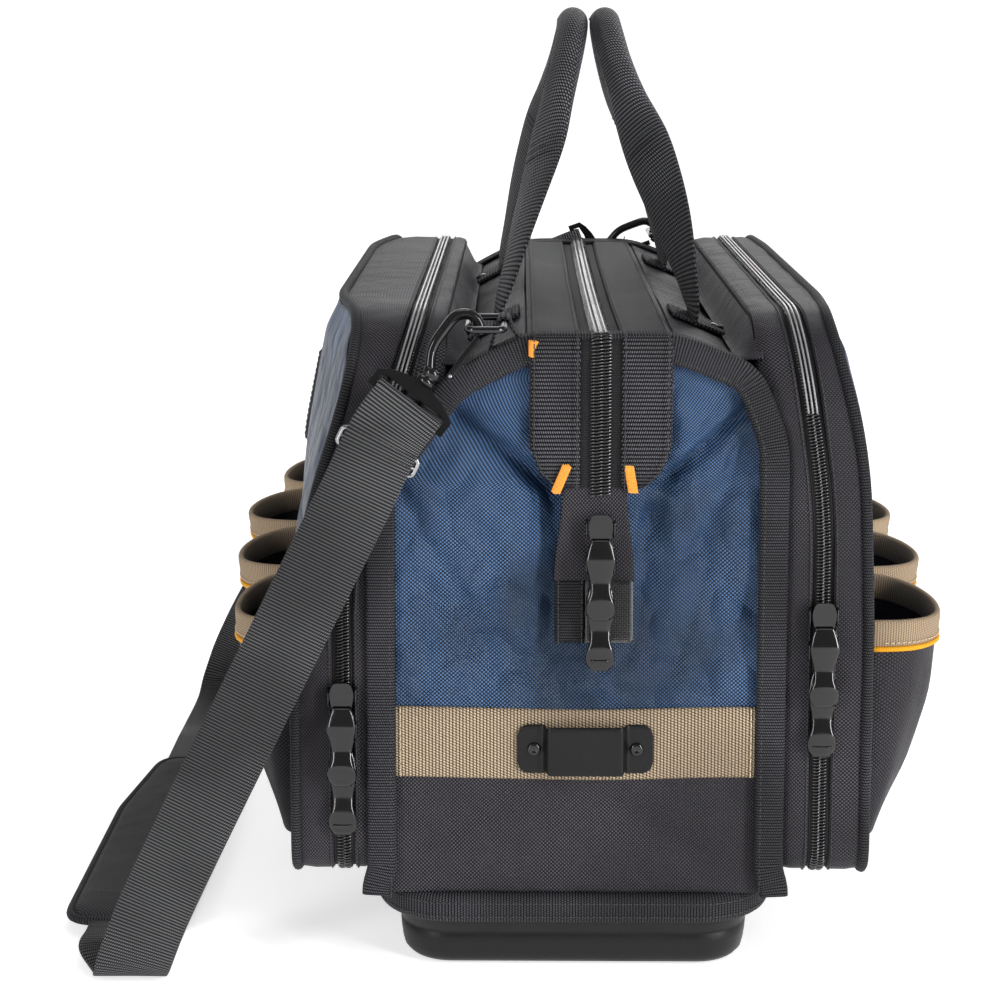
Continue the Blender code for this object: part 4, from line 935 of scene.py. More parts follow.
class PathRepeat:
    """A Geometry Nodes tree that sets one small shape after another along a path."""

    NUMBERS = {"Pitch": 0.0015, "Length": 0.004, "Thickness": 0.0006, "Lean": 0.0}
    CROWN = 3.2
    HEAD_REACH = -0.12
    HEAD_SWELL = 0.45
    STITCH_PROFILE = ((-1.0, -0.6), (0.0, 1.3), (1.0, -0.6))

    def __init__(self, kind: Repeat) -> None:
        """Build the tree for one kind of shape."""
        self.kind = kind
        self.tree = bpy.data.node_groups.new(f"{kind.value} row", "GeometryNodeTree")
        self.keys: Dict[str, str] = {}
        face = self.tree.interface
        face.new_socket("Geometry", in_out="INPUT", socket_type="NodeSocketGeometry")
        for label, value in self.NUMBERS.items():
            socket = face.new_socket(label, in_out="INPUT", socket_type=FLOAT)
            socket.default_value = value
            self.keys[label] = socket.identifier
        socket = face.new_socket("Finish", in_out="INPUT", socket_type="NodeSocketMaterial")
        self.keys["Finish"] = socket.identifier
        face.new_socket("Geometry", in_out="OUTPUT", socket_type="NodeSocketGeometry")
        self.fill()

    def fill(self) -> None:
        """Join the path, the shape and the turned copies."""
        n = Nodes(self.tree)
        given = n.add("NodeGroupInput").outputs
        curve = n.add("GeometryNodeMeshToCurve", {0: given["Geometry"]})
        even = n.add("GeometryNodeResampleCurve", {"Curve": curve.outputs[0], "Length": given["Pitch"]},
                     mode="LENGTH")
        tangent = n.add("GeometryNodeInputTangent").outputs[0]
        up = n.add("GeometryNodeInputNamedAttribute", {"Name": "up"}, data_type="FLOAT_VECTOR").outputs[0]
        upright = n.add("FunctionNodeAlignRotationToVector", {"Vector": up}, axis="Z").outputs[0]
        along = n.add("FunctionNodeAlignRotationToVector", {"Rotation": upright, "Vector": tangent},
                      axis="Y", pivot_axis="Z").outputs[0]
        lean = n.add("FunctionNodeAxisAngleToRotation",
                     {"Axis": (0.0, 0.0, 1.0), "Angle": given["Lean"]}).outputs[0]
        turned = n.add("FunctionNodeRotateRotation", {"Rotation": along, "Rotate By": lean},
                       rotation_space="LOCAL")
        shape = self.tooth(n, given) if self.kind is Repeat.TOOTH else self.stitch(n, given)
        inputs = {"Points": even.outputs[0], "Rotation": turned.outputs[0], "Instance": shape}
        copies = n.add("GeometryNodeInstanceOnPoints", inputs)
        real = n.add("GeometryNodeRealizeInstances", {0: copies.outputs[0]})
        smooth = n.add("GeometryNodeSetShadeSmooth", {0: real.outputs[0]})
        dressed = n.add("GeometryNodeSetMaterial", {0: smooth.outputs[0], "Material": given["Finish"]})
        n.add("NodeGroupOutput", {0: dressed.outputs[0]})

    def wire(self, n: Nodes, line: bpy.types.NodeSocket,
             radius: bpy.types.NodeSocket) -> bpy.types.NodeSocket:
        """A round wire along a curve."""
        ring = n.add("GeometryNodeCurvePrimitiveCircle", {"Resolution": 6, "Radius": radius}).outputs[0]
        inputs = {"Curve": line, "Profile Curve": ring, "Fill Caps": True}
        return n.add("GeometryNodeCurveToMesh", inputs).outputs[0]

    def bent(self, n: Nodes, start: object, middle: object, end: object, steps: int) -> bpy.types.NodeSocket:
        """A curve from one point to another that bends towards a third."""
        inputs = {"Resolution": steps, "Start": start, "Middle": middle, "End": end}
        return n.add("GeometryNodeCurveQuadraticBezier", inputs).outputs[0]

    def tooth(self, n: Nodes, given: bpy.types.NodeOutputs) -> bpy.types.NodeSocket:
        """One turn of the coil: a wire out over the tape and round a broader head."""
        length, thickness = given["Length"], given["Thickness"]
        crown = n.point(n.math("MULTIPLY", length, 0.5), 0.0, n.math("MULTIPLY", thickness, self.CROWN))
        head = n.point(n.math("MULTIPLY", length, self.HEAD_REACH))
        line = self.bent(n, n.point(length), crown, head, 5)
        share = n.add("GeometryNodeSplineParameter").outputs["Factor"]
        radius = n.math("MULTIPLY_ADD", n.math("POWER", share, 4.0), self.HEAD_SWELL, 1.0)
        thick = n.add("GeometryNodeSetCurveRadius", {"Curve": line, "Radius": radius}).outputs[0]
        return self.wire(n, thick, thickness)

    def stitch(self, n: Nodes, given: bpy.types.NodeOutputs) -> bpy.types.NodeSocket:
        """One stitch: a short thread that dips into the cloth at both ends."""
        half = n.math("MULTIPLY", given["Length"], 0.5)
        places = []
        for share, rise in self.STITCH_PROFILE:
            lift = n.math("MULTIPLY", given["Thickness"], rise)
            places.append(n.point(0.0, n.math("MULTIPLY", half, share), lift))
        return self.wire(n, self.bent(n, *places, 4), given["Thickness"])

    def along(self, name: str, path: np.ndarray, ups: Sequence, finish: Finish, pitch: float, length: float,
              thickness: float, lean: float = 0.0, closed: bool = False) -> bpy.types.Object:
        """Set the shapes along a path and keep the result as a plain mesh.

        Args:
            name: Name of the piece.
            path: Points of the path.
            ups: The way that the shape's top looks, throughout or at each point.
            finish: What it is made of.
            pitch: Distance from one shape to the next.
            length: Length of one shape.
            thickness: Radius of its wire or thread.
            lean: Turn of each shape about its own top, in radians.
            closed: Whether the path returns to its start.

        Returns:
            The piece.
        """
        line = points(path)
        count = len(line)
        edges = [(i, (i + 1) % count) for i in range(count if closed else count - 1)]
        mesh = bpy.data.meshes.new(f"{name}_path")
        mesh.from_pydata(line.tolist(), edges, [])
        attribute = mesh.attributes.new("up", "FLOAT_VECTOR", "POINT")
        attribute.data.foreach_set("vector", per_point(ups, count).astype(np.float32).ravel())
        carrier = placed(f"{name}_path", mesh)
        rows = carrier.modifiers.new("row", "NODES")
        rows.node_group = self.tree
        values = {"Pitch": pitch, "Length": length, "Thickness": thickness, "Lean": lean,
                  "Finish": finish.material()}
        for label, value in values.items():
            rows[self.keys[label]] = value
        graph = bpy.context.evaluated_depsgraph_get()
        made = bpy.data.meshes.new_from_object(carrier.evaluated_get(graph), depsgraph=graph)
        made.name = name
        bpy.data.objects.remove(carrier)
        return placed(name, made)


TEETH = PathRepeat(Repeat.TOOTH)
STITCHES = PathRepeat(Repeat.STITCH)
STITCH_SHARE = 0.78
THREAD_RADIUS = 0.00032


def stitch_row(name: str, path: np.ndarray, ups: Sequence, finish: Finish = BLACK_THREAD,
               pitch: float = 0.0034, closed: bool = False) -> bpy.types.Object:
    """A row of stitches along a path."""
    return STITCHES.along(name, path, ups, finish, pitch, pitch * STITCH_SHARE, THREAD_RADIUS, closed=closed)


def straight(start: Sequence[float], stop: Sequence[float], steps: int = 12) -> np.ndarray:
    """Points along a straight line."""
    share = np.linspace(0.0, 1.0, steps)[:, None]
    return np.asarray(start, float) * (1 - share) + np.asarray(stop, float) * share


# ------------------------------------------------------------ shared shapes


SOFT_BEND = 0.030
BACK_GAP = 0.0006


@dataclass(frozen=True)
class Side:
    """The sizes of one side of the bag, measured outwards from the middle."""

    name: str
    sign: int
    wall_bend: float
    corner_x: float
    corner_z: float
    zip_x: float
    zip_bend: float
    zip_top_x: float
    face_x: float
    face_bend: float
    face_top_x: float
    slider_height: float
    pocket_reaches: Tuple[float, ...]
    end_draw: float
    wall: float = 0.105
    draw_reach: float = 0.12
    draw_from: float = 0.17
    draw_rise: float = 0.16

    @property
    def flap_edge(self) -> float:
        """Where the top flap ends."""
        return FLAP_REACH + self.sign * TOP_SHIFT

    @property
    def strip_slope(self) -> float:
        """Rise of the strip between the flap and the shoulder, for each metre outwards."""
        return (self.corner_z - TOP_HEIGHT) / (self.corner_x - self.flap_edge)

    def strip_height(self, x: np.ndarray) -> np.ndarray:
        """Height of that strip."""
        return TOP_HEIGHT + self.strip_slope * (x - self.flap_edge)

    def lean(self, z: np.ndarray, foot_x: float, bend: float, top_x: float) -> np.ndarray:
        """X of a face that is upright to its soft bend and then leans in."""
        above = np.asarray(z) - bend
        bent = (above + SOFT_BEND) ** 2 / (4 * SOFT_BEND)
        above = np.where(np.abs(above) < SOFT_BEND, bent, np.maximum(above, 0.0))
        return foot_x + (top_x - foot_x) * above / (LID_TOP - bend)

    def zip_at(self, z: np.ndarray) -> np.ndarray:
        """X of the zip's plane."""
        return self.lean(z, self.zip_x, self.zip_bend, self.zip_top_x)

    def face_at(self, z: np.ndarray) -> np.ndarray:
        """X of the lid's outer face."""
        return self.lean(z, self.face_x, self.face_bend, self.face_top_x)

    def drawn_in(self, y: np.ndarray, z: np.ndarray) -> np.ndarray:
        """How far the lid's outer edge is drawn in near the ends of the bag."""
        near_end = 1.0 - np.clip((END_Y - np.abs(y)) / self.draw_reach, 0, 1)
        return self.end_draw * smooth_step(near_end) * smooth_step((z - self.draw_from) / self.draw_rise)

    def back_at(self, z: np.ndarray) -> np.ndarray:
        """X of the compartment's back."""
        share = np.clip((z - self.wall_bend) / (self.corner_z - self.wall_bend), 0, 1)
        return self.wall + (self.corner_x - self.wall) * share + BACK_GAP

    def body_profile(self) -> List[Pair]:
        """Outer face of the body from its foot, over the shoulder, to the flap's edge."""
        return [(self.wall, BODY_FOOT), (self.wall, self.wall_bend), (self.corner_x, self.corner_z),
                (self.flap_edge, TOP_HEIGHT)]


LEFT = Side("left", -1, wall_bend=0.262, corner_x=0.066, corner_z=0.3175, zip_x=0.1205, zip_bend=0.220,
            zip_top_x=0.081, face_x=0.147, face_bend=0.250, face_top_x=0.129, slider_height=0.152,
            pocket_reaches=(0.036, 0.049, 0.057, 0.046), end_draw=0.017)
RIGHT = Side("right", 1, wall_bend=0.285, corner_x=0.0906, corner_z=0.322, zip_x=0.1265, zip_bend=0.250,
             zip_top_x=0.1125, face_x=0.152, face_bend=0.280, face_top_x=0.136, slider_height=0.195,
             pocket_reaches=(0.046, 0.055, 0.057, 0.050), end_draw=0.005)
SIDES = (LEFT, RIGHT)
ENDS = (("near", -1), ("far", 1))


def body_outline(spacing: float, rounds: int) -> np.ndarray:
    """The body's outline seen from the end, from its right foot over the top to its left foot."""
    left = [(-x, z) for x, z in reversed(LEFT.body_profile())]
    return softened(resampled(RIGHT.body_profile() + left, spacing), rounds)


def upright(outline: np.ndarray, y: np.ndarray) -> np.ndarray:
    """An outline in X and Z stood up at one place along the bag."""
    return np.column_stack([outline[:, 0], np.full(len(outline), y), outline[:, 1]])


# ------------------------------------------------------- base of the bag


@dataclass
class Base:
    """Moulded tray and the doubled binding where the fabric meets it."""

    half_x: float = 0.095
    half_y: float = 0.2235
    corner: float = 0.030
    binding_low: float = 0.0292
    binding_depth: float = 0.0092
    binding_corner: float = 0.0034
    binding_dome: float = 0.0009
    stitch_inset: float = 0.0042
    stitch_lift: float = 0.0007
    profile: Tuple[Pair, ...] = (
        (-0.0135, 0.0), (-0.0095, 0.0004), (-0.0062, 0.0019), (-0.0040, 0.0044), (-0.0031, 0.0080),
        (-0.0024, 0.0130), (-0.0020, 0.0178), (-0.0026, 0.0184), (-0.0026, 0.0196), (-0.0018, 0.0202),
        (-0.0012, 0.0250), (-0.0004, 0.0262), (-0.0001, 0.0300), (-0.0004, 0.0310), (-0.0030, 0.0310),
        (-0.0034, 0.0250), (-0.0040, 0.0110), (-0.0070, 0.0045), (-0.0110, 0.0030))

    def loop(self, outward: float, z: float) -> np.ndarray:
        """The tray's outline at one height."""
        half_x, half_y, corner = (size + outward for size in (self.half_x, self.half_y, self.corner))
        return at_level(rounded_box(half_x, half_y, corner, 10), z)

    def tray(self) -> bpy.types.Object:
        """Tub with a round foot, a shallow groove and a lip under the binding."""
        rows = np.array([self.loop(outward, z) for outward, z in self.profile])
        return surface("moulded_base", rows, MOULDED, around=True, caps=True)

    def binding_path(self, outward: float, z: float) -> Tuple[np.ndarray, np.ndarray]:
        """A line round the bag on the binding, and the way out of it."""
        line = resampled(self.loop(outward, z), 0.004, closed=True)
        return line, at_level(outwards(line[:, :2]), 0.0)

    def binding(self) -> bpy.types.Object:
        """Padded ribbed band round the rim, with two rows of stitches."""
        half, deep = (BODY_FOOT - self.binding_low) / 2, self.binding_depth / 2
        line, out = self.binding_path(deep, self.binding_low + half)
        shape = domed(rounded_box(half, deep, self.binding_corner, 5), self.binding_dome, half)
        pieces = [swept("base_rim_binding", line, out, shape, BINDING, closed=True)]
        for z in (self.binding_low + self.stitch_inset, BODY_FOOT - self.stitch_inset):
            row, up = self.binding_path(self.binding_depth + self.stitch_lift, z)
            pieces.append(stitch_row("binding_stitches", row, up, pitch=0.0038, closed=True))
        return joined("base_rim_binding", pieces)

    def build(self) -> None:
        """Build the base and put it on the bag."""
        settle(self.tray(), "bag", Slot.MOULDED, "base_tray")
        settle(self.binding(), "bag", Slot.WEB, "base_binding")


# ------------------------------------------------------- body of the bag


@dataclass
class Fold:
    """A soft fold in an end panel, from one point to another."""

    start: Pair
    stop: Pair
    width: float
    depth: float

    def at(self, x: np.ndarray, z: float) -> np.ndarray:
        """How far the fold pushes the panel inwards."""
        a, b = np.array(self.start), np.array(self.stop)
        way = b - a
        share = ((x - a[0]) * way[0] + (z - a[1]) * way[1]) / way.dot(way)
        near = np.clip(share, 0.0, 1.0)
        away = np.hypot(x - a[0] - near * way[0], z - a[1] - near * way[1])
        ends = smooth_step(share / 0.25 + 0.6) * smooth_step((1 - share) / 0.3 + 0.5)
        return self.depth * np.exp(-np.abs(away / self.width) ** 1.5) * ends


@dataclass
class Carcass:
    """Side walls, end panels and what is sewn to them."""

    wall: float = 0.0028
    end_wall: float = 0.0016
    end_slack: float = 0.0018
    edge_inset: float = 0.0032
    columns: int = 97
    band_low: float = 0.108
    band_high: float = 0.146
    band_half: float = 0.0935
    blue_foot: float = 0.126
    blue_top: float = 0.3345
    arch_half: float = 0.0076
    arch_depth: float = 0.0021
    folds: Tuple[Fold, ...] = (
        Fold((-0.066, 0.302), (-0.004, 0.252), 0.0050, 0.0115),
        Fold((0.092, 0.306), (0.044, 0.262), 0.0045, 0.0100),
        Fold((0.088, 0.285), (0.060, 0.225), 0.0060, 0.0060),
        Fold((-0.020, 0.300), (-0.012, 0.240), 0.0070, 0.0060),
        Fold((0.046, 0.300), (0.038, 0.236), 0.0070, 0.0055),
        Fold((-0.004, 0.255), (-0.016, 0.165), 0.0120, 0.0080),
        Fold((0.038, 0.250), (0.030, 0.170), 0.0090, 0.0060),
        Fold((0.070, 0.235), (0.052, 0.165), 0.0070, 0.0042),
        Fold((-0.092, 0.262), (-0.052, 0.190), 0.0080, 0.0050),
        Fold((-0.080, 0.215), (-0.040, 0.160), 0.0070, 0.0036),
        Fold((0.096, 0.205), (0.062, 0.155), 0.0080, 0.0040),
        Fold((-0.050, 0.182), (-0.010, 0.152), 0.0080, 0.0034),
        Fold((0.010, 0.098), (0.070, 0.060), 0.0100, 0.0030),
        Fold((-0.085, 0.070), (-0.030, 0.098), 0.0090, 0.0028),
    )

    @property
    def band_middle(self) -> float:
        """Height of the tan band's middle."""
        return (self.band_low + self.band_high) / 2

    def sag(self, y: np.ndarray, half: float) -> np.ndarray:
        """A share that is one at the middle and fades to nothing at the half-length."""
        return np.where(np.abs(y) < half, 0.5 * (1 + np.cos(np.pi * y / half)), 0.0)

    def side_wall(self, side: Side) -> bpy.types.Object:
        """Fabric side over the shoulder to the flap's edge, a little slack between the handles."""
        between_handles, whole_side = 0.100, 0.21
        y = np.linspace(-END_Y + 0.0004, END_Y - 0.0004, 89)
        slack = self.sag(y, between_handles)
        rows = []
        for x, z in softened(resampled(side.body_profile(), 0.006), 6):
            on_top = smooth_step((side.corner_x + 0.012 - x) / 0.02)
            on_wall = smooth_step((z - 0.05) / 0.08) * (1 - on_top)
            ripple = 0.0009 * np.sin(y * 61 + z * 40) + 0.0006 * np.sin(y * 137 - z * 90)
            inward = on_wall * (0.003 * self.sag(y, whole_side) + ripple * 0.5 + 0.0006)
            down = on_top * (0.0035 * slack + ripple * 0.4 * slack)
            rows.append(np.column_stack([side.sign * (x - inward), y, z - down]))
        return surface(f"{side.name}_body_side", np.array(rows), BLACK_NYLON, (0, 0, 0.15), wall=self.wall)

    def edges(self, height: float) -> List[float]:
        """X of an end panel's left and right edges at a height."""
        found = []
        for side in SIDES:
            reaches, heights = zip(*side.body_profile())
            found.append(side.sign * (float(np.interp(height, heights, reaches)) - self.edge_inset))
        return found

    def inward(self, x: np.ndarray, share: np.ndarray, height: float, sign: int) -> np.ndarray:
        """How far an end panel lies in from its plane.

        Args:
            x: Places across the panel.
            share: The same places as shares of its width.
            height: Height of the row.
            sign: -1 at the near end and 1 at the far one, which has the same folds turned about.

        Returns:
            The distances inwards.
        """
        swell = np.sin(np.pi * share) ** 0.8 * math.sin(math.pi * clamp((height - 0.045) / 0.292))
        found = -0.0012 * swell
        seen_x = x if sign < 0 else 2 * TOP_SHIFT - x
        for fold in self.folds:
            found = found + fold.at(seen_x, height)
        hold = smooth_step(np.minimum(share, 1 - share) / 0.06) * smooth_step((0.334 - height) / 0.02)
        found = found * hold * (1 - 0.9 * dip(height - self.band_middle, 0.024))
        lower = smooth_step((self.band_low - height) / 0.03) * smooth_step((height - 0.046) / 0.03)
        waves = np.sin(np.pi * share) * (0.5 + 0.5 * np.sin(x * 52 + 1.0))
        return np.maximum(found + 0.0028 * lower * waves, -self.end_slack)

    def panel_rows(self, low: float, high: float, sign: int, count: int) -> np.ndarray:
        """Points of an end panel between two heights, with its folds."""
        share = np.linspace(0, 1, self.columns)
        rows = []
        for height in np.linspace(low, high, count):
            x = np.linspace(*self.edges(height), self.columns)
            y = sign * (END_Y - 0.0003 - self.inward(x, share, height, sign))
            rows.append(np.column_stack([x, y, np.full_like(x, height)]))
        return np.array(rows)

    def end_panels(self, name: str, sign: int) -> bpy.types.Object:
        """Blue field over the tan band and black field under it."""
        blue = surface(f"{name}_blue", self.panel_rows(self.blue_foot, self.blue_top, sign, 105), BLUE_NYLON,
                       (0, 0, 0.2), wall=self.end_wall)
        black = surface(f"{name}_black", self.panel_rows(BODY_FOOT, self.blue_foot, sign, 42), BLACK_NYLON,
                        (0, 0, 0.1), wall=self.end_wall)
        return joined(f"{name}_end_fabric", [blue, black])

    def arch(self, name: str, sign: int) -> bpy.types.Object:
        """Ribbed binding round the end, folded over the seam, with a row of stitches."""
        outline = body_outline(0.0035, 10)
        normal = outwards(outline, closed=False)
        flare = 0.0030 * smooth_step((0.062 - outline[:, 1]) / 0.016)
        facing = (0, sign, 0)
        path = upright(outline + normal * (flare[:, None] - 0.0045), sign * (END_Y + 0.0022))
        shape = domed(rounded_box(self.arch_half, self.arch_depth, 0.0019, 4), 0.0008, self.arch_half)
        band = swept(f"{name}_arch", path, facing, shape, BINDING)
        over = upright(outline + normal * 0.0015, sign * (END_Y - 0.0050))
        flat = rounded_box(0.0072, 0.0011, 0.0010, 3)
        turn = swept(f"{name}_arch_turn", over, upright(normal, 0.0), flat, BINDING)
        row = upright(outline - normal * 0.0093, sign * (END_Y + 0.0044))
        stitches = stitch_row(f"{name}_arch_stitches", row, facing, pitch=0.0036)
        return joined(f"{name}_arch_tape", [band, turn, stitches])

    def tan_band(self, name: str, sign: int) -> bpy.types.Object:
        """Tan webbing across the end, with its selvedges and stitches at both ends."""
        rib, notch, droop = 0.0009, 0.00035, 0.0016
        crown = ((0.0, 0.0002), (0.03, 0.0012), (0.2, 0.0016), (0.5, 0.0015), (0.8, 0.0016), (0.97, 0.0012),
                 (1.0, 0.0002))
        x = np.arange(-self.band_half, self.band_half + 0.0001, rib)
        selvedge = notch * np.sin(np.pi * x / rib)
        high, low = self.band_high + selvedge, self.band_low - selvedge
        drop = droop * np.cos(np.pi * x / 0.19) ** 2
        rows = []
        for share, rise in crown:
            y = sign * (END_Y + 0.0003 + rise + 0.0003 * np.sin(x * 70))
            rows.append(np.column_stack([x, y, low + (high - low) * share - drop]))
        pieces = [surface(f"{name}_band", np.array(rows), TAN_WEB, (0, 0, self.band_middle), wall=0.0010)]
        for edge in (-0.0905, 0.0905):
            levels = (self.band_low + 0.002, self.band_high - 0.002)
            ends = [(edge, sign * (END_Y + 0.0023), z) for z in levels]
            pieces.append(stitch_row("band_stitches", straight(*ends), (0, sign, 0), TAN_THREAD))
        return joined(f"{name}_tan_webbing", pieces)

    def build(self) -> None:
        """Build the body and put it on the bag."""
        for side in SIDES:
            settle(self.side_wall(side), "bag", Slot.NYLON, f"{side.name}_side_wall")
        for name, sign in ENDS:
            settle(self.end_panels(name, sign), "bag", Slot.BLUE, f"{name}_end_panel")
            settle(self.arch(name, sign), "bag", Slot.WEB, f"{name}_arch_binding")
            settle(self.tan_band(name, sign), "bag", Slot.TAN, f"{name}_tan_band")


# --------------------------------------------------- main zip and the top


@dataclass
class MainZip:
    """The top flaps and the tongues that carry the main zip and its two webbing bands."""

    coil_reach: float = 0.0050
    tooth_pitch: float = 0.0017
    wire: float = 0.00062
    tooth_lean: float = 0.12
    tongue_foot: float = 0.2585
    taper_top: float = 0.283
    half_widths: Tuple[float, ...] = (0.0155, 0.0235, 0.0310, 0.0363)
    seams: Tuple[float, ...] = (BAND_INNER + 0.0016, BAND_OUTER - 0.0016)
    fall_profile: Tuple[Pair, ...] = (
        (-0.0002, 0.0006), (0.0020, 0.0026), (0.0050, 0.0016), (0.0062, -0.0030), (0.0060, -0.0100),
        (0.0042, -0.0190), (0.0030, -0.0300))

    def top_sag(self, x: np.ndarray, y: np.ndarray) -> np.ndarray:
        """How far the top dips under its own weight, nothing at the hinge and at the ends."""
        reach = np.clip(1 - np.abs(x - TOP_SHIFT) / FLAP_REACH, 0, 1)
        along = np.clip(1 - (np.abs(y) / (END_Y - 0.012)) ** 2, 0, 1)
        return 0.0030 * smooth_step(reach * 1.6) * along

    def top_line(self, x: float, y: np.ndarray, lift: float) -> np.ndarray:
        """A line along the top, over the dip."""
        across = np.full_like(y, x)
        return np.column_stack([across, y, TOP_HEIGHT + lift - self.top_sag(across, y)])

    def strip(self, name: str, side: Side, inner: float, outer: float, lift: float, finish: Finish,
              thickness: float, lay: int) -> bpy.types.Object:
        """A strip of the flap between two distances from the zip."""
        y = np.linspace(-END_Y + 0.0006, END_Y - 0.0006, 120)
        offsets = np.linspace(inner, outer, lay)
        lines = [self.top_line(TOP_SHIFT + side.sign * offset, y, lift) for offset in offsets]
        rows = np.stack(lines, axis=1)
        rows[:, [0, -1], 2] -= thickness * 0.5
        return surface(name, rows, finish, wall=thickness)

    def teeth(self, name: str, path: np.ndarray, ups: Sequence) -> bpy.types.Object:
        """Half of the main zip's coil along a path."""
        return TEETH.along(name, path, ups, COIL, self.tooth_pitch, self.coil_reach, self.wire,
                           self.tooth_lean)

    def flap(self, side: Side) -> bpy.types.Object:
        """One half of the top: fabric, webbing band, tape, half of the coil and its stitches."""
        name = f"{side.name}_flap"
        pieces = [
            self.strip(f"{name}_cloth", side, 0.0046, FLAP_REACH - 0.0010, 0.0, BLACK_NYLON, 0.0016, 12),
            self.strip(f"{name}_web", side, BAND_INNER, BAND_OUTER, 0.0022, BAND_WEB, 0.0018, 12),
            self.strip(f"{name}_tape", side, 0.0006, BAND_INNER + 0.001, 0.0004, ZIP_TAPE, 0.0008, 6),
        ]
        y = np.linspace(-END_Y + 0.001, END_Y - 0.001, 160)
        line = self.top_line(TOP_SHIFT, y, 0.0011)[::-side.sign]
        pieces.append(self.teeth(f"{name}_teeth", line, (0, 0, 1)))
        # Painted highlight: two light grey tubes along the crest of the coil
        for offset in (0.0004, 0.0026):
            crest = line + np.array([side.sign * offset, 0.0, 0.0016])
            pieces.append(tube(f"{name}_shine", crest, 0.0006, COIL_SHINE, sides=6, look=(1, 0, 0)))
        for offset in self.seams:
            row = self.top_line(TOP_SHIFT + side.sign * offset, y, 0.0024)
            pieces.append(stitch_row(f"{name}_stitches", row, (0, 0, 1)))
        return joined(f"{name}_top", pieces)

    def fall(self, sign: int, lift: float) -> np.ndarray:
        """The line over the end and down its face, as Y and Z, to the foot of the tongue."""
        line = [(END_Y + out, TOP_HEIGHT + up) for out, up in self.fall_profile]
        line += [(END_Y + 0.0026, self.taper_top), (END_Y + 0.0024, self.tongue_foot)]
        even = softened(resampled(line, 0.0022), 5)
        moved = even - outwards(even, closed=False) * lift
        return moved * np.array([sign, 1])

    def fall_looks(self, line: np.ndarray, sign: int) -> np.ndarray:
        """The way out of the end at each point of such a line."""
        ways = np.abs(unit(np.gradient(line, axis=0)))
        return np.column_stack([np.zeros(len(line)), sign * ways[:, 1], ways[:, 0]])

    def half_at(self, z: np.ndarray) -> np.ndarray:
        """Half the width of the tongue at each height."""
        heights = [self.tongue_foot, self.tongue_foot + 0.004, self.tongue_foot + 0.011, self.taper_top]
        return np.interp(z, heights, self.half_widths)

    def tongue_strip(self, name: str, ends: Tuple[int, int], reach: Pair, lift: float, finish: Finish,
                     thickness: float, foot: float = 0.0) -> bpy.types.Object:
        """A strip of the tongue on one side of the zip, cut off by its taper.

        Args:
            name: Name of the piece.
            ends: Which end of the bag it is on, and which side of the zip.
            reach: Its inner and outer distance from the zip.
            lift: How far it stands off the end.
            finish: What it is made of.
            thickness: Its thickness.
            foot: How far above the tongue's foot it stops.

        Returns:
            The strip.
        """
        sign, side = ends
        inner, outer = reach
        line = self.fall(sign, lift)
        line = line[line[:, 1] > self.tongue_foot + foot]
        rows = []
        for (y, z), edge in zip(line, self.half_at(line[:, 1])):
            offsets = np.linspace(inner, max(min(outer, edge), inner + 0.0004), 9)
            rows.append([(TOP_SHIFT + side * offset, y, z) for offset in offsets])
        rows = np.array(rows)
        rows[:, -1, 1] -= sign * thickness * 0.5
        return surface(name, rows, finish, (TOP_SHIFT, 0, 0.25), wall=thickness)

    def tongue_stitches(self, sign: int, side: int) -> List[bpy.types.Object]:
        """The seams on one side of the tongue, as far down as its taper lets them."""
        line = self.fall(sign, 0.0034)
        looks = self.fall_looks(line, sign)
        limit = self.half_at(line[:, 1]) - 0.0016
        above = line[:, 1] > self.tongue_foot + 0.004
        inner, outer = self.seams
        rows = []
        for offset, shown in ((inner, above & (limit > inner - 0.0001)), (outer, above)):
            x = TOP_SHIFT + side * np.minimum(offset, limit)
            rows.append(stitch_row("tongue_stitches", np.column_stack([x, line])[shown], looks[shown]))
        return rows

    def tongue(self, name: str, sign: int) -> bpy.types.Object:
        """The webbing, zip and stitches that come down over one end."""
        line = self.fall(sign, 0.0014)
        path = np.column_stack([np.full(len(line), TOP_SHIFT), line])
        looks = self.fall_looks(line, sign)
        pieces = []
        for side in (-1, 1):
            ends, turn = (sign, side), -side * sign
            pieces += [
                self.tongue_strip("tongue_cloth", ends, (0.0, math.inf), 0.0, BLACK_NYLON, 0.0014),
                self.tongue_strip("tongue_web", ends, (BAND_INNER, BAND_OUTER), 0.0016, BAND_WEB, 0.0016,
                                  0.003),
                self.tongue_strip("tongue_tape", ends, (0.0004, BAND_INNER + 0.001), 0.0006, ZIP_TAPE,
                                  0.0006),
                self.teeth("tongue_teeth", path[::turn], looks[::turn]),
                *self.tongue_stitches(sign, side),
            ]
        return joined(f"{name}_zip_fall", pieces)

    def bartacks(self) -> bpy.types.Object:
        """Dense orange stitches that hold the webbing where it strains."""
        rows = [
            ((-0.0052, -0.2343, 0.2735), (-0.0108, -0.2342, 0.2602)),
            ((0.0262, -0.2343, 0.2735), (0.0285, -0.2342, 0.2602)),
            ((-0.0222, -0.2352, 0.3375), (-0.0222, -0.2352, 0.3300)),
            ((0.0265, 0.2352, 0.3375), (0.0265, 0.2352, 0.3300)),
        ]
        pieces = []
        for start, stop in rows:
            for shift in (-0.0012, 0.0, 0.0012):
                row = straight(start, stop, 8) + np.array([shift, 0, 0])
                way = (0, math.copysign(1, start[1]), 0)
                pieces.append(STITCHES.along("bartack", row, way, ORANGE_THREAD, 0.0008, 0.0024, 0.00045,
                                             1.2))
        return joined("orange_bartacks", pieces)

    def build(self) -> None:
        """Build the top and both tongues."""
        for side in SIDES:
            settle(self.flap(side), f"{side.name}_flap", Slot.WEB, f"{side.name}_flap")
        for name, sign in ENDS:
            settle(self.tongue(name, sign), "bag", Slot.WEB, f"{name}_zip_tongue")
        settle(self.bartacks(), "bag", Slot.TAN)


# --------------------------------------------------- fittings on the ends


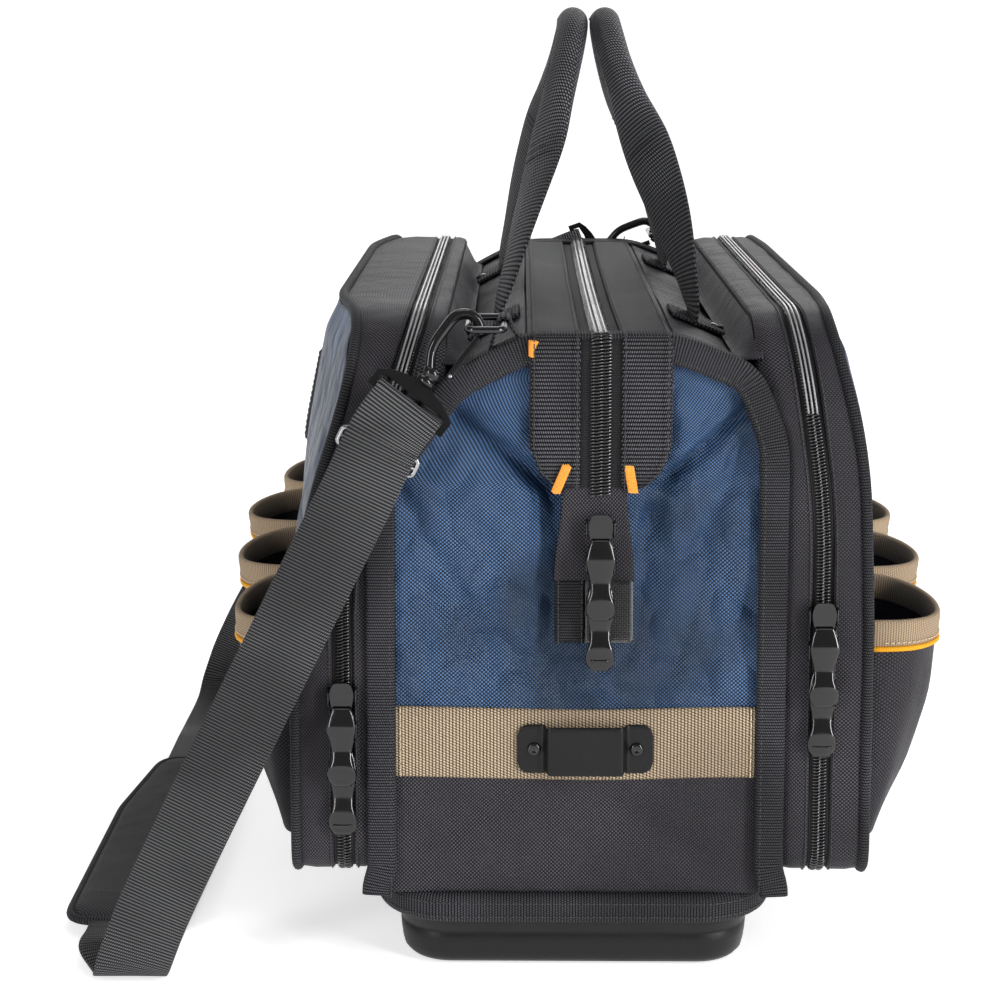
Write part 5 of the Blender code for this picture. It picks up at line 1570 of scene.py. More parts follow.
@dataclass
class EndFittings:
    """Tail of the zip, hook-and-loop patch and the riveted tape clip."""

    tail_x: float = 0.009
    tail_half: float = 0.0205
    tail_low: float = 0.2146
    tail_high: float = 0.2620
    tail_taper: float = 0.0040
    tail_curl: float = 0.0016
    patch_low: float = 0.180
    patch_high: float = 0.2143
    patch_edges: Tuple[float, ...] = (-0.0110, 0.0045, 0.0290)
    patch_seams: Tuple[float, ...] = (-0.0092, 0.0029, 0.0272)
    clip_low: float = 0.111
    clip_high: float = 0.137
    clip_x: float = 0.005

    @property
    def clip_middle(self) -> float:
        """Height of the clip's middle."""
        return (self.clip_low + self.clip_high) / 2

    def tail(self) -> bpy.types.Object:
        """Dark cloth that hangs from the tongue, a little curled at its sides."""
        z = np.linspace(self.tail_low - 0.001, self.tail_high, 22)
        rows = []
        for height in z:
            share = smooth_step((height - self.tail_low) / 0.045)
            half = self.tail_half - self.tail_taper * share
            x = np.linspace(-half, half, 21)
            curl = self.tail_curl * np.abs(x / half) ** 3 + 0.0006 * np.sin(x * 300 + height * 130)
            y = -(END_Y + 0.0026) - curl * (1 - share) - 0.0006
            rows.append(np.column_stack([self.tail_x + x, y, np.full_like(x, height)]))
        return surface("zip_tail_cloth", np.array(rows), BLACK_NYLON, (0, 0, 0.2), wall=0.0016)

    def patch(self) -> bpy.types.Object:
        """Square patch: ribbed webbing on its left, rough loops on its right."""
        pieces = []
        left, middle, right = self.patch_edges
        for x0, x1, finish, lift in ((left, middle, BINDING, 0.0018), (middle, right, LOOP_PILE, 0.0024)):
            x = np.linspace(x0, x1, 15)
            z = np.linspace(self.patch_low, self.patch_high, 20)
            xx, zz = np.meshgrid(x, z)
            edge = np.minimum(np.minimum(xx - x0, x1 - xx),
                              np.minimum(zz - self.patch_low, self.patch_high - zz))
            rise = lift * smooth_step(edge / 0.0018 + 0.25)
            pieces.append(surface("patch", np.dstack([xx, -(END_Y + 0.0002) - rise, zz]), finish, (0, 0, 0.2),
                                  wall=0.0008))
        for x in self.patch_seams:
            row = straight((x, -END_Y - 0.0026, self.patch_low + 0.0015),
                           (x, -END_Y - 0.0026, self.patch_high - 0.0015))
            pieces.append(stitch_row("patch_stitches", row, (0, -1, 0)))
        return joined("hook_and_loop_patch", pieces)

    def clip(self) -> bpy.types.Object:
        """Bent plate with two wings and a raised bridge, left bare."""
        back = -(END_Y + 0.0003 + 0.0016 + 0.0003)
        half, bridge, rise, metal = 0.035, 0.018, 0.0062, 0.0012
        line = [(-half, 0.0), (-bridge - 0.0040, 0.0), (-bridge - 0.0010, -rise + metal),
                (bridge + 0.0010, -rise + metal), (bridge + 0.0040, 0.0), (half, 0.0)]
        even = softened(resampled(line, 0.0008), 2)
        rows = []
        levels = np.linspace(-1, 1, 9)
        tall = (self.clip_high - self.clip_low) / 2
        for x, y in even:
            wing = max(0.0, abs(x) - (half - 0.006)) / 0.006
            height = tall - 0.006 * (1 - math.sqrt(max(0.0, 1 - wing ** 2)))
            height -= 0.0012 * (1 - smooth_step(abs(abs(x) - bridge - 0.0025) / 0.002))
            rows.append([(self.clip_x + x, back - metal + y, self.clip_middle + height * s) for s in levels])
        piece = surface("tape_clip_plate", np.array(rows), SATIN_BLACK, (0, 0, 0.12), wall=metal)
        rounded_edges(piece, 0.0004, 2, 50)
        return piece

    def rivet(self, name: str, x: float) -> bpy.types.Object:
        """Domed rivet head with a small pit in its middle."""
        profile = [(0.00001, -0.0004), (0.0036, -0.0004), (0.0036, 0.0004), (0.0032, 0.0011),
                   (0.0024, 0.0015), (0.0016, 0.0016), (0.0012, 0.0012), (0.0004, 0.0011), (0.00001, 0.0011)]
        return lathe(name, profile, (x, -(END_Y + 0.0034), self.clip_middle), (0, -1, 0), GLOSS_BLACK)

    def build(self) -> None:
        """Build the fittings and put them on the bag."""
        settle(self.tail(), "bag", Slot.NYLON, "zip_tail")
        settle(self.patch(), "bag", Slot.NYLON, "hook_patch")
        settle(self.clip(), "bag", Slot.METAL, "tape_clip")
        settle(self.rivet("tape_clip_rivet_left", -0.0215), "bag", Slot.METAL, "clip_rivet_left")
        settle(self.rivet("tape_clip_rivet_right", 0.0315), "bag", Slot.METAL, "clip_rivet_right")


# -------------------------------------------------- the side compartments


Face = Callable[[np.ndarray], np.ndarray]


@dataclass
class Compartment:
    """One side compartment: the tub on the bag and the lid that hinges out at its foot."""

    side: Side
    corner: float = 0.050
    blue_from: float = 0.178
    fold: float = 0.0058
    fine: float = 0.004
    tooth_pitch: float = 0.0017
    tooth_reach: float = 0.0034
    tooth_lean: float = 0.10
    wire: float = 0.00048

    def outline(self, spacing: float) -> np.ndarray:
        """The compartment's outline in Y and Z, near foot first, over the top to the far foot."""
        toe = arc((-(END_Y - LID_TOE), LID_FOOT + LID_TOE), LID_TOE, -90, -180, 4)
        top = arc((-(END_Y - self.corner), LID_TOP - self.corner), self.corner, 180, 90, 10)
        near = toe + top
        whole = near + [(-y, z) for y, z in reversed(near)]
        even = resampled(whole, spacing, closed=True)
        return softened(even, 2, closed=True)

    def loop(self, place: Face, grow: float, spacing: float = 0.005, pull: float = 0.0) -> np.ndarray:
        """The outline on the face that place gives, grown outwards and drawn in by a share."""
        line = self.outline(spacing)
        y, z = line.T
        x = self.side.sign * (place(z) - pull * self.side.drawn_in(y, z))
        return np.column_stack([x, line - outwards(line) * grow])

    def outward(self, spacing: float = 0.005) -> np.ndarray:
        """The way out of the outline at each of its points."""
        line = self.outline(spacing)
        return np.column_stack([np.zeros(len(line)), -outwards(line)])

    def gusset(self, name: str, stations: Sequence[Pair], inner: Face, outer: Face, finish: Finish,
               wall: float, pull: float = 0.0) -> bpy.types.Object:
        """A strip round the compartment between two faces.

        Args:
            name: Name of the piece.
            stations: Share of the way from the inner to the outer face, and how far it stands out there.
            inner: X of the inner face at a height.
            outer: X of the outer face at a height.
            finish: What it is made of.
            wall: Its thickness.
            pull: Share of the lid's draw that its outer edge follows.

        Returns:
            The strip.
        """
        rows = []
        for share, grow in stations:

            def at(z: np.ndarray, t: float = share) -> np.ndarray:
                """X of this station at each height."""
                return inner(z) + (outer(z) - inner(z)) * t

            line = self.loop(at, grow, pull=pull * clamp(share))
            ripple = 0.0005 * np.sin(line[:, 1] * 95 + share * 9) * np.sin(line[:, 2] * 70 + share * 5)
            line = line + self.outward() * (ripple * math.sin(math.pi * share))[:, None]
            rows.append(line)
        middle = (self.side.sign * (self.side.zip_x - 0.005), 0, 0.2)
        return surface(name, np.array(rows), finish, middle, around=True, wall=wall)

    def coil(self, name: str, sign: int) -> List[bpy.types.Object]:
        """Half of the zip's coil with its tape, on the tub's side or the lid's."""
        side = self.side
        line = self.loop(side.zip_at, 0.0009, self.fine)
        out = self.outward(self.fine)
        if sign * side.sign > 0:
            line, out = line[::-1], out[::-1]
        teeth = TEETH.along(name, line, out, COIL, self.tooth_pitch, self.tooth_reach, self.wire,
                            self.tooth_lean, closed=True)
        tape = self.gusset(f"{name}_tape", ((0.0, 0.0004), (0.5, 0.0002), (1.0, -0.0002)),
                           lambda z: side.zip_at(z) + sign * 0.0006,
                           lambda z: side.zip_at(z) + sign * 0.0085, ZIP_TAPE, 0.0006)
        row = self.loop(lambda z: side.zip_at(z) + sign * 0.0068, 0.0016, self.fine)
        return [teeth, tape, stitch_row(f"{name}_stitches", row, self.outward(self.fine), closed=True)]

    def tub(self) -> bpy.types.Object:
        """The fixed strip round the compartment, its back and its half of the zip."""
        side = self.side
        name = f"{side.name}_tub"
        stations = ((0.0, -0.0022), (0.08, 0.0), (0.5, 0.0012), (0.9, 0.0012), (1.0, 0.0012), (1.02, 0.0004))
        strip = self.gusset(name, stations, side.back_at, lambda z: side.zip_at(z) - self.fold, BLACK_NYLON,
                            0.0018)
        edge = self.loop(side.back_at, -0.0010)
        shares = np.linspace(0, 1, 9)[:, None]
        near = edge[edge[:, 1] < 0]
        near = near[np.lexsort((near[:, 1], np.round(near[:, 2], 4)))]
        near = near[np.append(True, np.diff(np.round(near[:, 2], 4)) > 0)]
        rows = [p * (1 - shares) + (p * np.array([1, -1, 1])) * shares for p in near]
        back = surface(f"{name}_back", np.array(rows), LINING, (side.sign * 0.3, 0, 0.2), wall=0.0010)
        return joined(name, [strip, back, self.shoulder(), *self.coil(f"{name}_coil", -1)])

    def shoulder(self) -> bpy.types.Object:
        """Fabric that fills the step from the strip of the top up to the tub's inner edge."""
        side = self.side
        y = np.linspace(-END_Y + 0.008, END_Y - 0.008, 81)
        inner = side.corner_x - 0.010
        foot = side.strip_height(inner) + 0.0010
        rows = []
        for at in y:
            over = max(0.0, abs(at) - (END_Y - self.corner)) / self.corner
            top = LID_TOP - 0.0004 - self.corner * (1 - math.sqrt(max(0.0, 1 - over ** 2)))
            top = max(top, foot)
            outer = side.back_at(top) + 0.0040
            share = np.linspace(0, 1, 13)
            x = inner + (outer - inner) * share
            z = foot + (top - foot) * smooth_step(share * 1.02)
            z = np.maximum(z, side.strip_height(np.minimum(x, side.corner_x)) + 0.0010 * (x < side.corner_x))
            rows.append(np.column_stack([side.sign * x, np.full(13, at), z]))
        return surface(f"{side.name}_tub_shoulder", np.array(rows), BLACK_NYLON, (0, 0, 0.2), wall=0.0010)

    def shine(self) -> List[bpy.types.Object]:
        """Light grey tubes along the coil's crests over the top: a painted highlight where its turns lie
        flat.
        """
        line = self.loop(self.side.zip_at, 0.0028, self.fine)
        high = line[line[:, 2] > 0.300]
        high = high[np.argsort(high[:, 1])]
        pieces = []
        for shift in (-0.0022, 0.0, 0.0022):
            path = high + np.array([self.side.sign * shift, 0.0, 0.0])
            pieces.append(tube("coil_shine", path, 0.00055, COIL_SHINE, sides=6, look=(1, 0, 0)))
        return pieces

    def lid(self) -> bpy.types.Object:
        """The strip of the lid, its binding, the painted highlight on its coil and its half of the zip."""
        side = self.side
        name = f"{side.name}_lid"
        stations = ((-0.02, 0.0004), (0.0, 0.0012), (0.1, 0.0014), (0.5, 0.0016), (0.92, 0.0006),
                    (1.0, -0.0004))
        strip = self.gusset(name, stations, lambda z: side.zip_at(z) + self.fold,
                            lambda z: side.face_at(z) - 0.0012, BLACK_NYLON, 0.0018, 1.0)
        piping_line = self.loop(lambda z: side.face_at(z) - 0.0016, 0.0004, pull=1.0)
        piping = tube(f"{name}_piping", piping_line, 0.0028, BINDING, closed=True, sides=10, look=(1, 0, 0))
        return joined(f"{side.name}_lid_shell", [strip, piping, *self.shine(), *self.coil(f"{name}_coil", 1)])

    def face_point(self, y: np.ndarray, z: np.ndarray) -> np.ndarray:
        """X of the crowned lid face, measured outwards."""
        base = self.side.face_at(z)
        high = np.clip((LID_TOP - z) / 0.02, 0, 1) * np.clip((z - LID_FOOT) / 0.02, 0, 1)
        wide = np.clip((END_Y - np.abs(y)) / 0.03, 0, 1)
        above = smooth_step((z - 0.19) / 0.05)
        crown = 0.0045 * smooth_step(high) * smooth_step(wide) * (0.25 + 0.75 * above)
        ripple = 0.0007 * np.sin(y * 47 + z * 23) * above
        return base + crown - self.side.drawn_in(y, z) + ripple * smooth_step(wide)

    def face_rows(self, low: float, high: float, count: int, depth: float = 0.0) -> np.ndarray:
        """Rows of the face from one height to another, set in by a depth."""
        line = self.outline(self.fine)
        near = line[line[:, 0] < 0]
        near = near[np.argsort(near[:, 1])]
        found = []
        for z in np.linspace(low, high, count):
            reach = abs(float(np.interp(z, near[:, 1], near[:, 0]))) - 0.0022
            y = np.linspace(-reach, reach, 61)
            x = self.side.sign * (self.face_point(y, np.full_like(y, z)) - depth)
            found.append(np.column_stack([x, y, np.full_like(y, z)]))
        return np.array(found)

    def face(self) -> bpy.types.Object:
        """The lid's outer face: blue above the pockets and black behind them."""
        core = (0, 0, 0.2)
        low, high = LID_FOOT + 0.0015, LID_TOP - 0.0015
        pieces = []
        for name, rows, finish, wall in (
                ("lid_blue", self.face_rows(self.blue_from, high, 45), BLUE_NYLON, 0.0022),
                ("lid_black", self.face_rows(low, self.blue_from, 26), BLACK_NYLON, 0.0022),
                ("lid_lining", self.face_rows(low + 0.002, high - 0.002, 30, 0.0030), LINING, 0.0006)):
            pieces.append(surface(name, rows, finish, core, wall=wall))
        return joined(f"{self.side.name}_lid_face", pieces)

    def build(self) -> None:
        """Build the compartment, its tub on the bag and the rest on the lid."""
        side = self.side
        body = f"{side.name}_lid"
        settle(self.tub(), "bag", Slot.NYLON, f"{side.name}_compartment")
        settle(self.lid(), body, Slot.NYLON, f"{side.name}_lid_gusset")
        settle(self.face(), body, Slot.BLUE, f"{side.name}_lid_panel")


@dataclass
class FacePatch:
    """Plain sewn patch on the face of the left lid."""

    low: float = 0.256
    high: float = 0.312
    half: float = 0.090

    def build(self, compartment: Compartment) -> None:
        """Build the patch on the lid."""
        side = compartment.side
        z = np.linspace(self.low, self.high, 22)
        y = np.linspace(-self.half, self.half, 61)
        yy, zz = np.meshgrid(y, z)
        edge = np.minimum(np.minimum(self.half - np.abs(yy), zz - self.low), self.high - zz)
        rise = 0.0034 * smooth_step(edge / 0.003 + 0.3)
        x = side.sign * (compartment.face_point(yy, zz) + rise)
        pieces = [surface("patch", np.dstack([x, yy, zz]), BLACK_NYLON, (0, 0, 0.2), wall=0.0016)]
        inset = 0.004
        wide, low, high = self.half - inset, self.low + inset, self.high - inset
        ring = resampled([(wide, low), (wide, high), (-wide, high), (-wide, low)], 0.004, closed=True)
        out = compartment.face_point(ring[:, 0], ring[:, 1]) + 0.0036
        path = np.column_stack([side.sign * out, ring])
        pieces.append(stitch_row("patch_stitches", path, (side.sign, 0, 0.15), closed=True))
        settle(joined("left_face_patch", pieces), "left_lid", Slot.NYLON)


@dataclass
class Pockets:
    """Open pockets in a row on a lid, each with a taped rim and piping."""

    compartment: Compartment
    pitch: float = 0.108
    width: float = 0.098
    foot: float = 0.070
    rim: float = 0.186
    tape: float = 0.0135
    power: float = 0.7
    least_reach: float = 0.012
    reach_heights: Tuple[float, ...] = (0.0, 0.28, 0.62, 1.0)
    reach_shares: Tuple[float, ...] = (0.0, 0.50, 0.86, 1.0)
    tape_grows: Tuple[float, ...] = (0.0004, 0.0013, 0.0014, 0.0012, 0.0006, -0.0014, -0.0020, -0.0022,
                                     -0.0021, -0.0012)
    rim_dip: float = 0.0035
    fold_depth: float = 0.0014

    def wave(self, turn: np.ndarray, centre: float, out: float, z: float, grow: float = 0.0) -> np.ndarray:
        """The pocket's wall at one height, from the lid out and back."""
        side = self.compartment.side
        base = side.face_at(z) - 0.0004
        half = self.width / 2 + grow
        x = side.sign * (base + (out + grow) * np.abs(np.sin(turn)) ** self.power)
        y = centre - half * np.cos(turn)
        return np.column_stack([x, y, np.full_like(turn, z)])

    def reach_at(self, index: int, z: float) -> float:
        """How far the pocket stands out at a height."""
        share = (z - self.foot) / (self.rim - self.foot)
        swell = self.compartment.side.pocket_reaches[index] - self.least_reach
        marks = np.linspace(0, 1, 60)
        swells = softened(np.interp(marks, self.reach_heights, self.reach_shares)[:, None], 12)[:, 0]
        return self.least_reach + swell * float(np.interp(share, marks, swells))

    def rim_height(self, turn: np.ndarray) -> np.ndarray:
        """Height of the rim round the pocket: it dips a little at the front."""
        return self.rim - self.rim_dip * np.sin(turn) ** 2

    def centre(self, index: int) -> float:
        """Y of a pocket's middle."""
        return (index - 1.5) * self.pitch

    def row(self, index: int, share: float, grow: float = 0.0) -> np.ndarray:
        """Points of the wall at a share of its height."""
        turn = np.linspace(0.0, math.pi, 49)
        level = self.foot + (self.rim - self.foot) * share
        found = self.wave(turn, self.centre(index), self.reach_at(index, level), level, grow)
        fold = self.fold_depth * np.sin(turn * 7 + index) * np.sin(math.pi * share) * np.sin(turn)
        found[:, 0] += self.compartment.side.sign * fold
        found[:, 2] = self.foot + (self.rim_height(turn) - self.foot) * share
        return found

    def floor(self, index: int) -> List[np.ndarray]:
        """Rows of the floor, from the lid out to the foot of the wall."""
        side = self.compartment.side
        base = self.wave(np.linspace(0.0, math.pi, 49), self.centre(index), self.least_reach, self.foot)
        at_lid = side.sign * side.face_at(self.foot)
        rows = []
        for share in np.linspace(1.0, 0.0, 6)[:0:-1]:
            row = base.copy()
            row[:, 0] = at_lid + (row[:, 0] - at_lid) * share
            row[:, 2] = self.foot - 0.0015 * (1 - share)
            rows.append(row)
        return rows

    def pocket(self, index: int) -> bpy.types.Object:
        """One pocket: wall, floor, taped rim, piping and stitches."""
        side = self.compartment.side
        name = f"{side.name}_pocket_{index + 1}"
        core = (side.sign * (side.face_x - 0.03), self.centre(index), 0.13)
        rows = self.floor(index) + [self.row(index, share) for share in np.linspace(0.0, 0.985, 20)]
        wall = surface(f"{name}_wall", np.array(rows), BLACK_NYLON, core, wall=0.0013)
        low = 1 - self.tape / (self.rim - self.foot)
        shares = np.array([low, low + 0.01, 0.97, 0.995, 1.0, 1.0, 0.995, 0.97, low + 0.01, low])
        tape_rows = np.array([self.row(index, *station) for station in zip(shares, self.tape_grows)])
        tape_rows[4:6, :, 2] += 0.0007
        tape = surface(f"{name}_tape", np.transpose(tape_rows, (1, 0, 2)), RIM_TAPE, core, around=True,
                       caps=True)
        piping = tube(f"{name}_piping", self.row(index, low - 0.008, 0.0010), 0.0014, YELLOW_PIPING, sides=8)
        seam = self.row(index, low + 0.022, 0.0017)[2:-2]
        axis = np.array([side.sign * (side.face_x - 0.02), self.centre(index), 0])
        out = unit((seam - axis) * np.array([1, 1, 0]))
        stitches = stitch_row(f"{name}_stitches", seam, out, TAN_THREAD, 0.0032)
        return joined(f"{name}_cloth", [wall, tape, piping, stitches])

    def build(self) -> None:
        """Build the four pockets on the lid."""
        side = self.compartment.side
        for index in range(4):
            settle(self.pocket(index), f"{side.name}_lid", Slot.NYLON, f"{side.name}_pocket_{index + 1}")


# ----------------------------------------------------- handles and sliders


def curve_through(points: Sequence[Sequence[float]], steps: int) -> np.ndarray:
    """A smooth curve through points of any number of values, spaced by their first three."""
    given = [np.asarray(p, float) for p in points]
    padded = [given[0] * 2 - given[1], *given, given[-1] * 2 - given[-2]]
    found = []
    for i in range(1, len(padded) - 2):
        p = padded[i - 1:i + 3]
        marks = [0.0]
        for a, b in zip(p, p[1:]):
            marks.append(marks[-1] + math.sqrt(max(1e-9, float(np.linalg.norm(b[:3] - a[:3])))))
        t0, t1, t2, t3 = marks
        for k in range(steps):
            t = t1 + (t2 - t1) * k / steps
            a1 = p[0] + (p[1] - p[0]) * (t - t0) / (t1 - t0)
            a2 = p[1] + (p[2] - p[1]) * (t - t1) / (t2 - t1)
            a3 = p[2] + (p[3] - p[2]) * (t - t2) / (t3 - t2)
            b1 = a1 + (a2 - a1) * (t - t0) / (t2 - t0)
            b2 = a2 + (a3 - a2) * (t - t1) / (t3 - t1)
            found.append(b1 + (b2 - b1) * (t - t1) / (t2 - t1))
    found.append(given[-1])
    return np.array(found)


@dataclass
class Handle:
    """A carrying handle: webbing legs that twist up into a grip folded round a core."""

    side: Side
    foot_x: float = 0.0545
    foot_y: float = 0.125
    rise: float = 0.167
    clearance: float = 0.0007
    width: float = 0.038
    thickness: float = 0.0026
    grip: float = 0.0090
    grip_reach: float = 0.0096
    sides: int = 36
    reach_shares: Tuple[float, ...] = (1.0, 0.97, 0.84, 0.68, 0.44, 0.24, 0.10, 0.02, 0.0)
    y_shares: Tuple[float, ...] = (1.0, 1.0, 0.97, 0.88, 0.72, 0.56, 0.37, 0.18, 0.0)
    rise_shares: Tuple[float, ...] = (0.0, 0.06, 0.20, 0.36, 0.56, 0.73, 0.87, 0.965, 1.0)
    turn_shares: Tuple[float, ...] = (0.0, 0.06, 0.16, 0.27, 0.38, 0.44, 0.46, 0.46, 0.46)
    round_shares: Tuple[float, ...] = (0.0, 0.0, 0.0, 0.0, 0.08, 0.72, 1.0, 1.0, 1.0)

    seam_turn: float = 4.2
    cup: float = 0.0030

    @property
    def foot(self) -> float:
        """Height of the handle's lowest edge."""
        return self.side.strip_height(self.foot_x + self.side.sign * TOP_SHIFT) + self.clearance

    def line(self) -> np.ndarray:
        """Points from the near foot to the far one, each with its turn and roundness."""
        rise = TOP_HEIGHT + self.rise - self.grip - self.foot
        spread = self.foot_x - self.grip_reach
        near = []
        for values in zip(self.reach_shares, self.y_shares, self.rise_shares, self.turn_shares,
                          self.round_shares):
            reach, along, up, turn, roundness = values
            x = TOP_SHIFT + self.side.sign * (self.grip_reach + spread * reach)
            near.append((x, -self.foot_y * along, self.foot + rise * up, turn, roundness))
        far = [(x, -y, z, turn, roundness) for x, y, z, turn, roundness in reversed(near[:-1])]
        return curve_through(near + far, 14)

    def frame_at(self, line: np.ndarray) -> Tuple[np.ndarray, np.ndarray]:
        """The wide and the thin direction of the webbing at each point."""
        ahead = unit(np.gradient(line[:, :3], axis=0))
        x_axis = np.tile([1.0, 0.0, 0.0], (len(line), 1))
        across = unit(x_axis - ahead * np.sum(ahead * x_axis, axis=1, keepdims=True))
        level = np.cross(across, ahead)
        turn = (np.pi / 2 * line[:, 3])[:, None]
        far = (line[:, 1] > 0)[:, None]
        wide = level * np.cos(turn) + across * np.sin(turn)
        mirrored = level * np.cos(turn) - across * np.sin(turn)
        wide = np.where(far, mirrored, wide)
        return wide, np.cross(ahead, wide)

    def half(self, size: float, roundness: np.ndarray) -> np.ndarray:
        """Half of a size of the flat webbing, on its way to the round grip."""
        return size / 2 * (1 - roundness) + self.grip * roundness

    def power(self, roundness: np.ndarray) -> np.ndarray:
        """How square the section is: 0.34 where it is flat and 1 where it is round."""
        return 0.34 + 0.66 * roundness

    def cup_at(self, share: np.ndarray, turn: float, roundness: float) -> np.ndarray:
        """How far the webbing cups at a share of its half-width."""
        return self.cup * (1 - roundness) * share ** 2 * math.sin(math.pi * min(1.0, turn * 1.6))

    def body(self) -> bpy.types.Object:
        """Webbing from foot to foot, its grip a little uneven where it is folded."""
        line = self.line()
        wide, thin = self.frame_at(line)
        roundness = np.clip(line[:, 4], 0, 1)
        half_wide, half_thin = self.half(self.width, roundness), self.half(self.thickness, roundness)
        power = self.power(roundness)
        angle = np.linspace(0, 2 * np.pi, self.sides, endpoint=False)
        crease = dip(np.abs(angle - self.seam_turn), 0.25)
        rows = []
        for i, centre in enumerate(line[:, :3]):
            seam = 1 + 0.05 * roundness[i] * crease
            a = half_wide[i] * np.sign(np.cos(angle)) * np.abs(np.cos(angle)) ** power[i]
            b = half_thin[i] * np.sign(np.sin(angle)) * np.abs(np.sin(angle)) ** power[i] * seam
            b = b + self.cup_at(a / half_wide[i], line[i, 3], roundness[i])
            rows.append(centre + wide[i] * a[:, None] + thin[i] * b[:, None])
        return surface(f"{self.side.name}_handle_web", np.array(rows), HANDLE_WEB, around=True, caps=True)

    def stitches(self) -> List[bpy.types.Object]:
        """Three rows across where each end of the grip is sewn shut, and a seam under the grip."""
        line = self.line()
        wide, thin = self.frame_at(line)
        pieces = []
        middle = len(line) // 2
        ends = (int(np.argmax(line[:middle, 4] > 0.10)), len(line) - 1 - int(np.argmax(line[::-1, 4] > 0.10)))
        share = np.linspace(-0.72, 0.72, 9)[:, None]
        for at in (centre + shift for centre in ends for shift in (-2, 0, 2)):
            roundness = max(0.0, line[at, 4])
            power = self.power(roundness)
            bulge = self.half(self.thickness, roundness) * (1 - np.abs(share) ** (2 / power)) ** (power / 2)
            cup = self.cup_at(share, line[at, 3], roundness)
            across = line[at, :3] + wide[at] * self.half(self.width, roundness) * share
            for face in (-1, 1):
                row = across + thin[at] * (face * (bulge + 0.0002) + cup)
                pieces.append(stitch_row("grip_end", row, thin[at] * face, pitch=0.0030))
        grip = line[:, 4] > 0.8
        under = thin[grip] * math.sin(self.seam_turn) + wide[grip] * math.cos(self.seam_turn)
        seam = line[grip, :3] + under * (self.grip * 1.045)
        pieces.append(stitch_row("grip_seam", seam, under, pitch=0.0036))
        return pieces

    def anchor(self, end: str, sign: int) -> bpy.types.Object:
        """Webbing sewn flat over the strip at one foot, with a box stitch and a rivet."""
        side = self.side
        inner = side.flap_edge + 0.0030
        outer = side.corner_x - 0.0010
        x = np.linspace(inner, outer, 14)
        z = side.strip_height(x) + 0.0020
        z[-2:] -= (0.0004, 0.0014)
        path = np.column_stack([side.sign * x, np.full_like(x, sign * self.foot_y), z])
        up = unit(np.array([-side.sign * side.strip_slope, 0.0, 1.0]))
        pieces = [ribbon(f"{side.name}_foot", path, up, self.width, 0.0022, BLACK_WEB)]
        along = unit(path[-1] - path[0])
        middle = (path[0] + path[-1]) / 2 + up * 0.0013
        half = np.linalg.norm(path[-1] - path[0]) / 2 - 0.003
        wide = np.array([0.0, 1.0, 0.0])
        reach = self.width / 2 - 0.0035
        signs = ((-1, -1), (1, -1), (1, 1), (-1, 1))
        corners = [middle + along * a * half + wide * b * reach for a, b in signs]
        box = resampled(corners, 0.003, closed=True)
        pieces.append(stitch_row("foot_box", box, up, closed=True))
        place = middle + along * half * 0.55 + up * 0.0001
        profile = [(0.0, -0.0004), (0.0050, -0.0004), (0.0050, 0.0006), (0.0042, 0.0014), (0.0030, 0.0018),
                   (0.0016, 0.0020), (0.0010, 0.0015), (0.0, 0.0014)]
        pieces.append(lathe("foot_rivet", profile, place, up, GLOSS_BLACK, 24))
        return joined(f"{side.name}_handle_foot_{end}", pieces)

    def build(self) -> None:
        """Build the handle and the webbing that holds its feet."""
        web = joined(f"{self.side.name}_handle_grip", [self.body(), *self.stitches()])
        settle(web, f"{self.side.name}_handle", Slot.WEB, f"{self.side.name}_handle")
        for end, sign in ENDS:
            settle(self.anchor(end, sign), "bag", Slot.WEB)


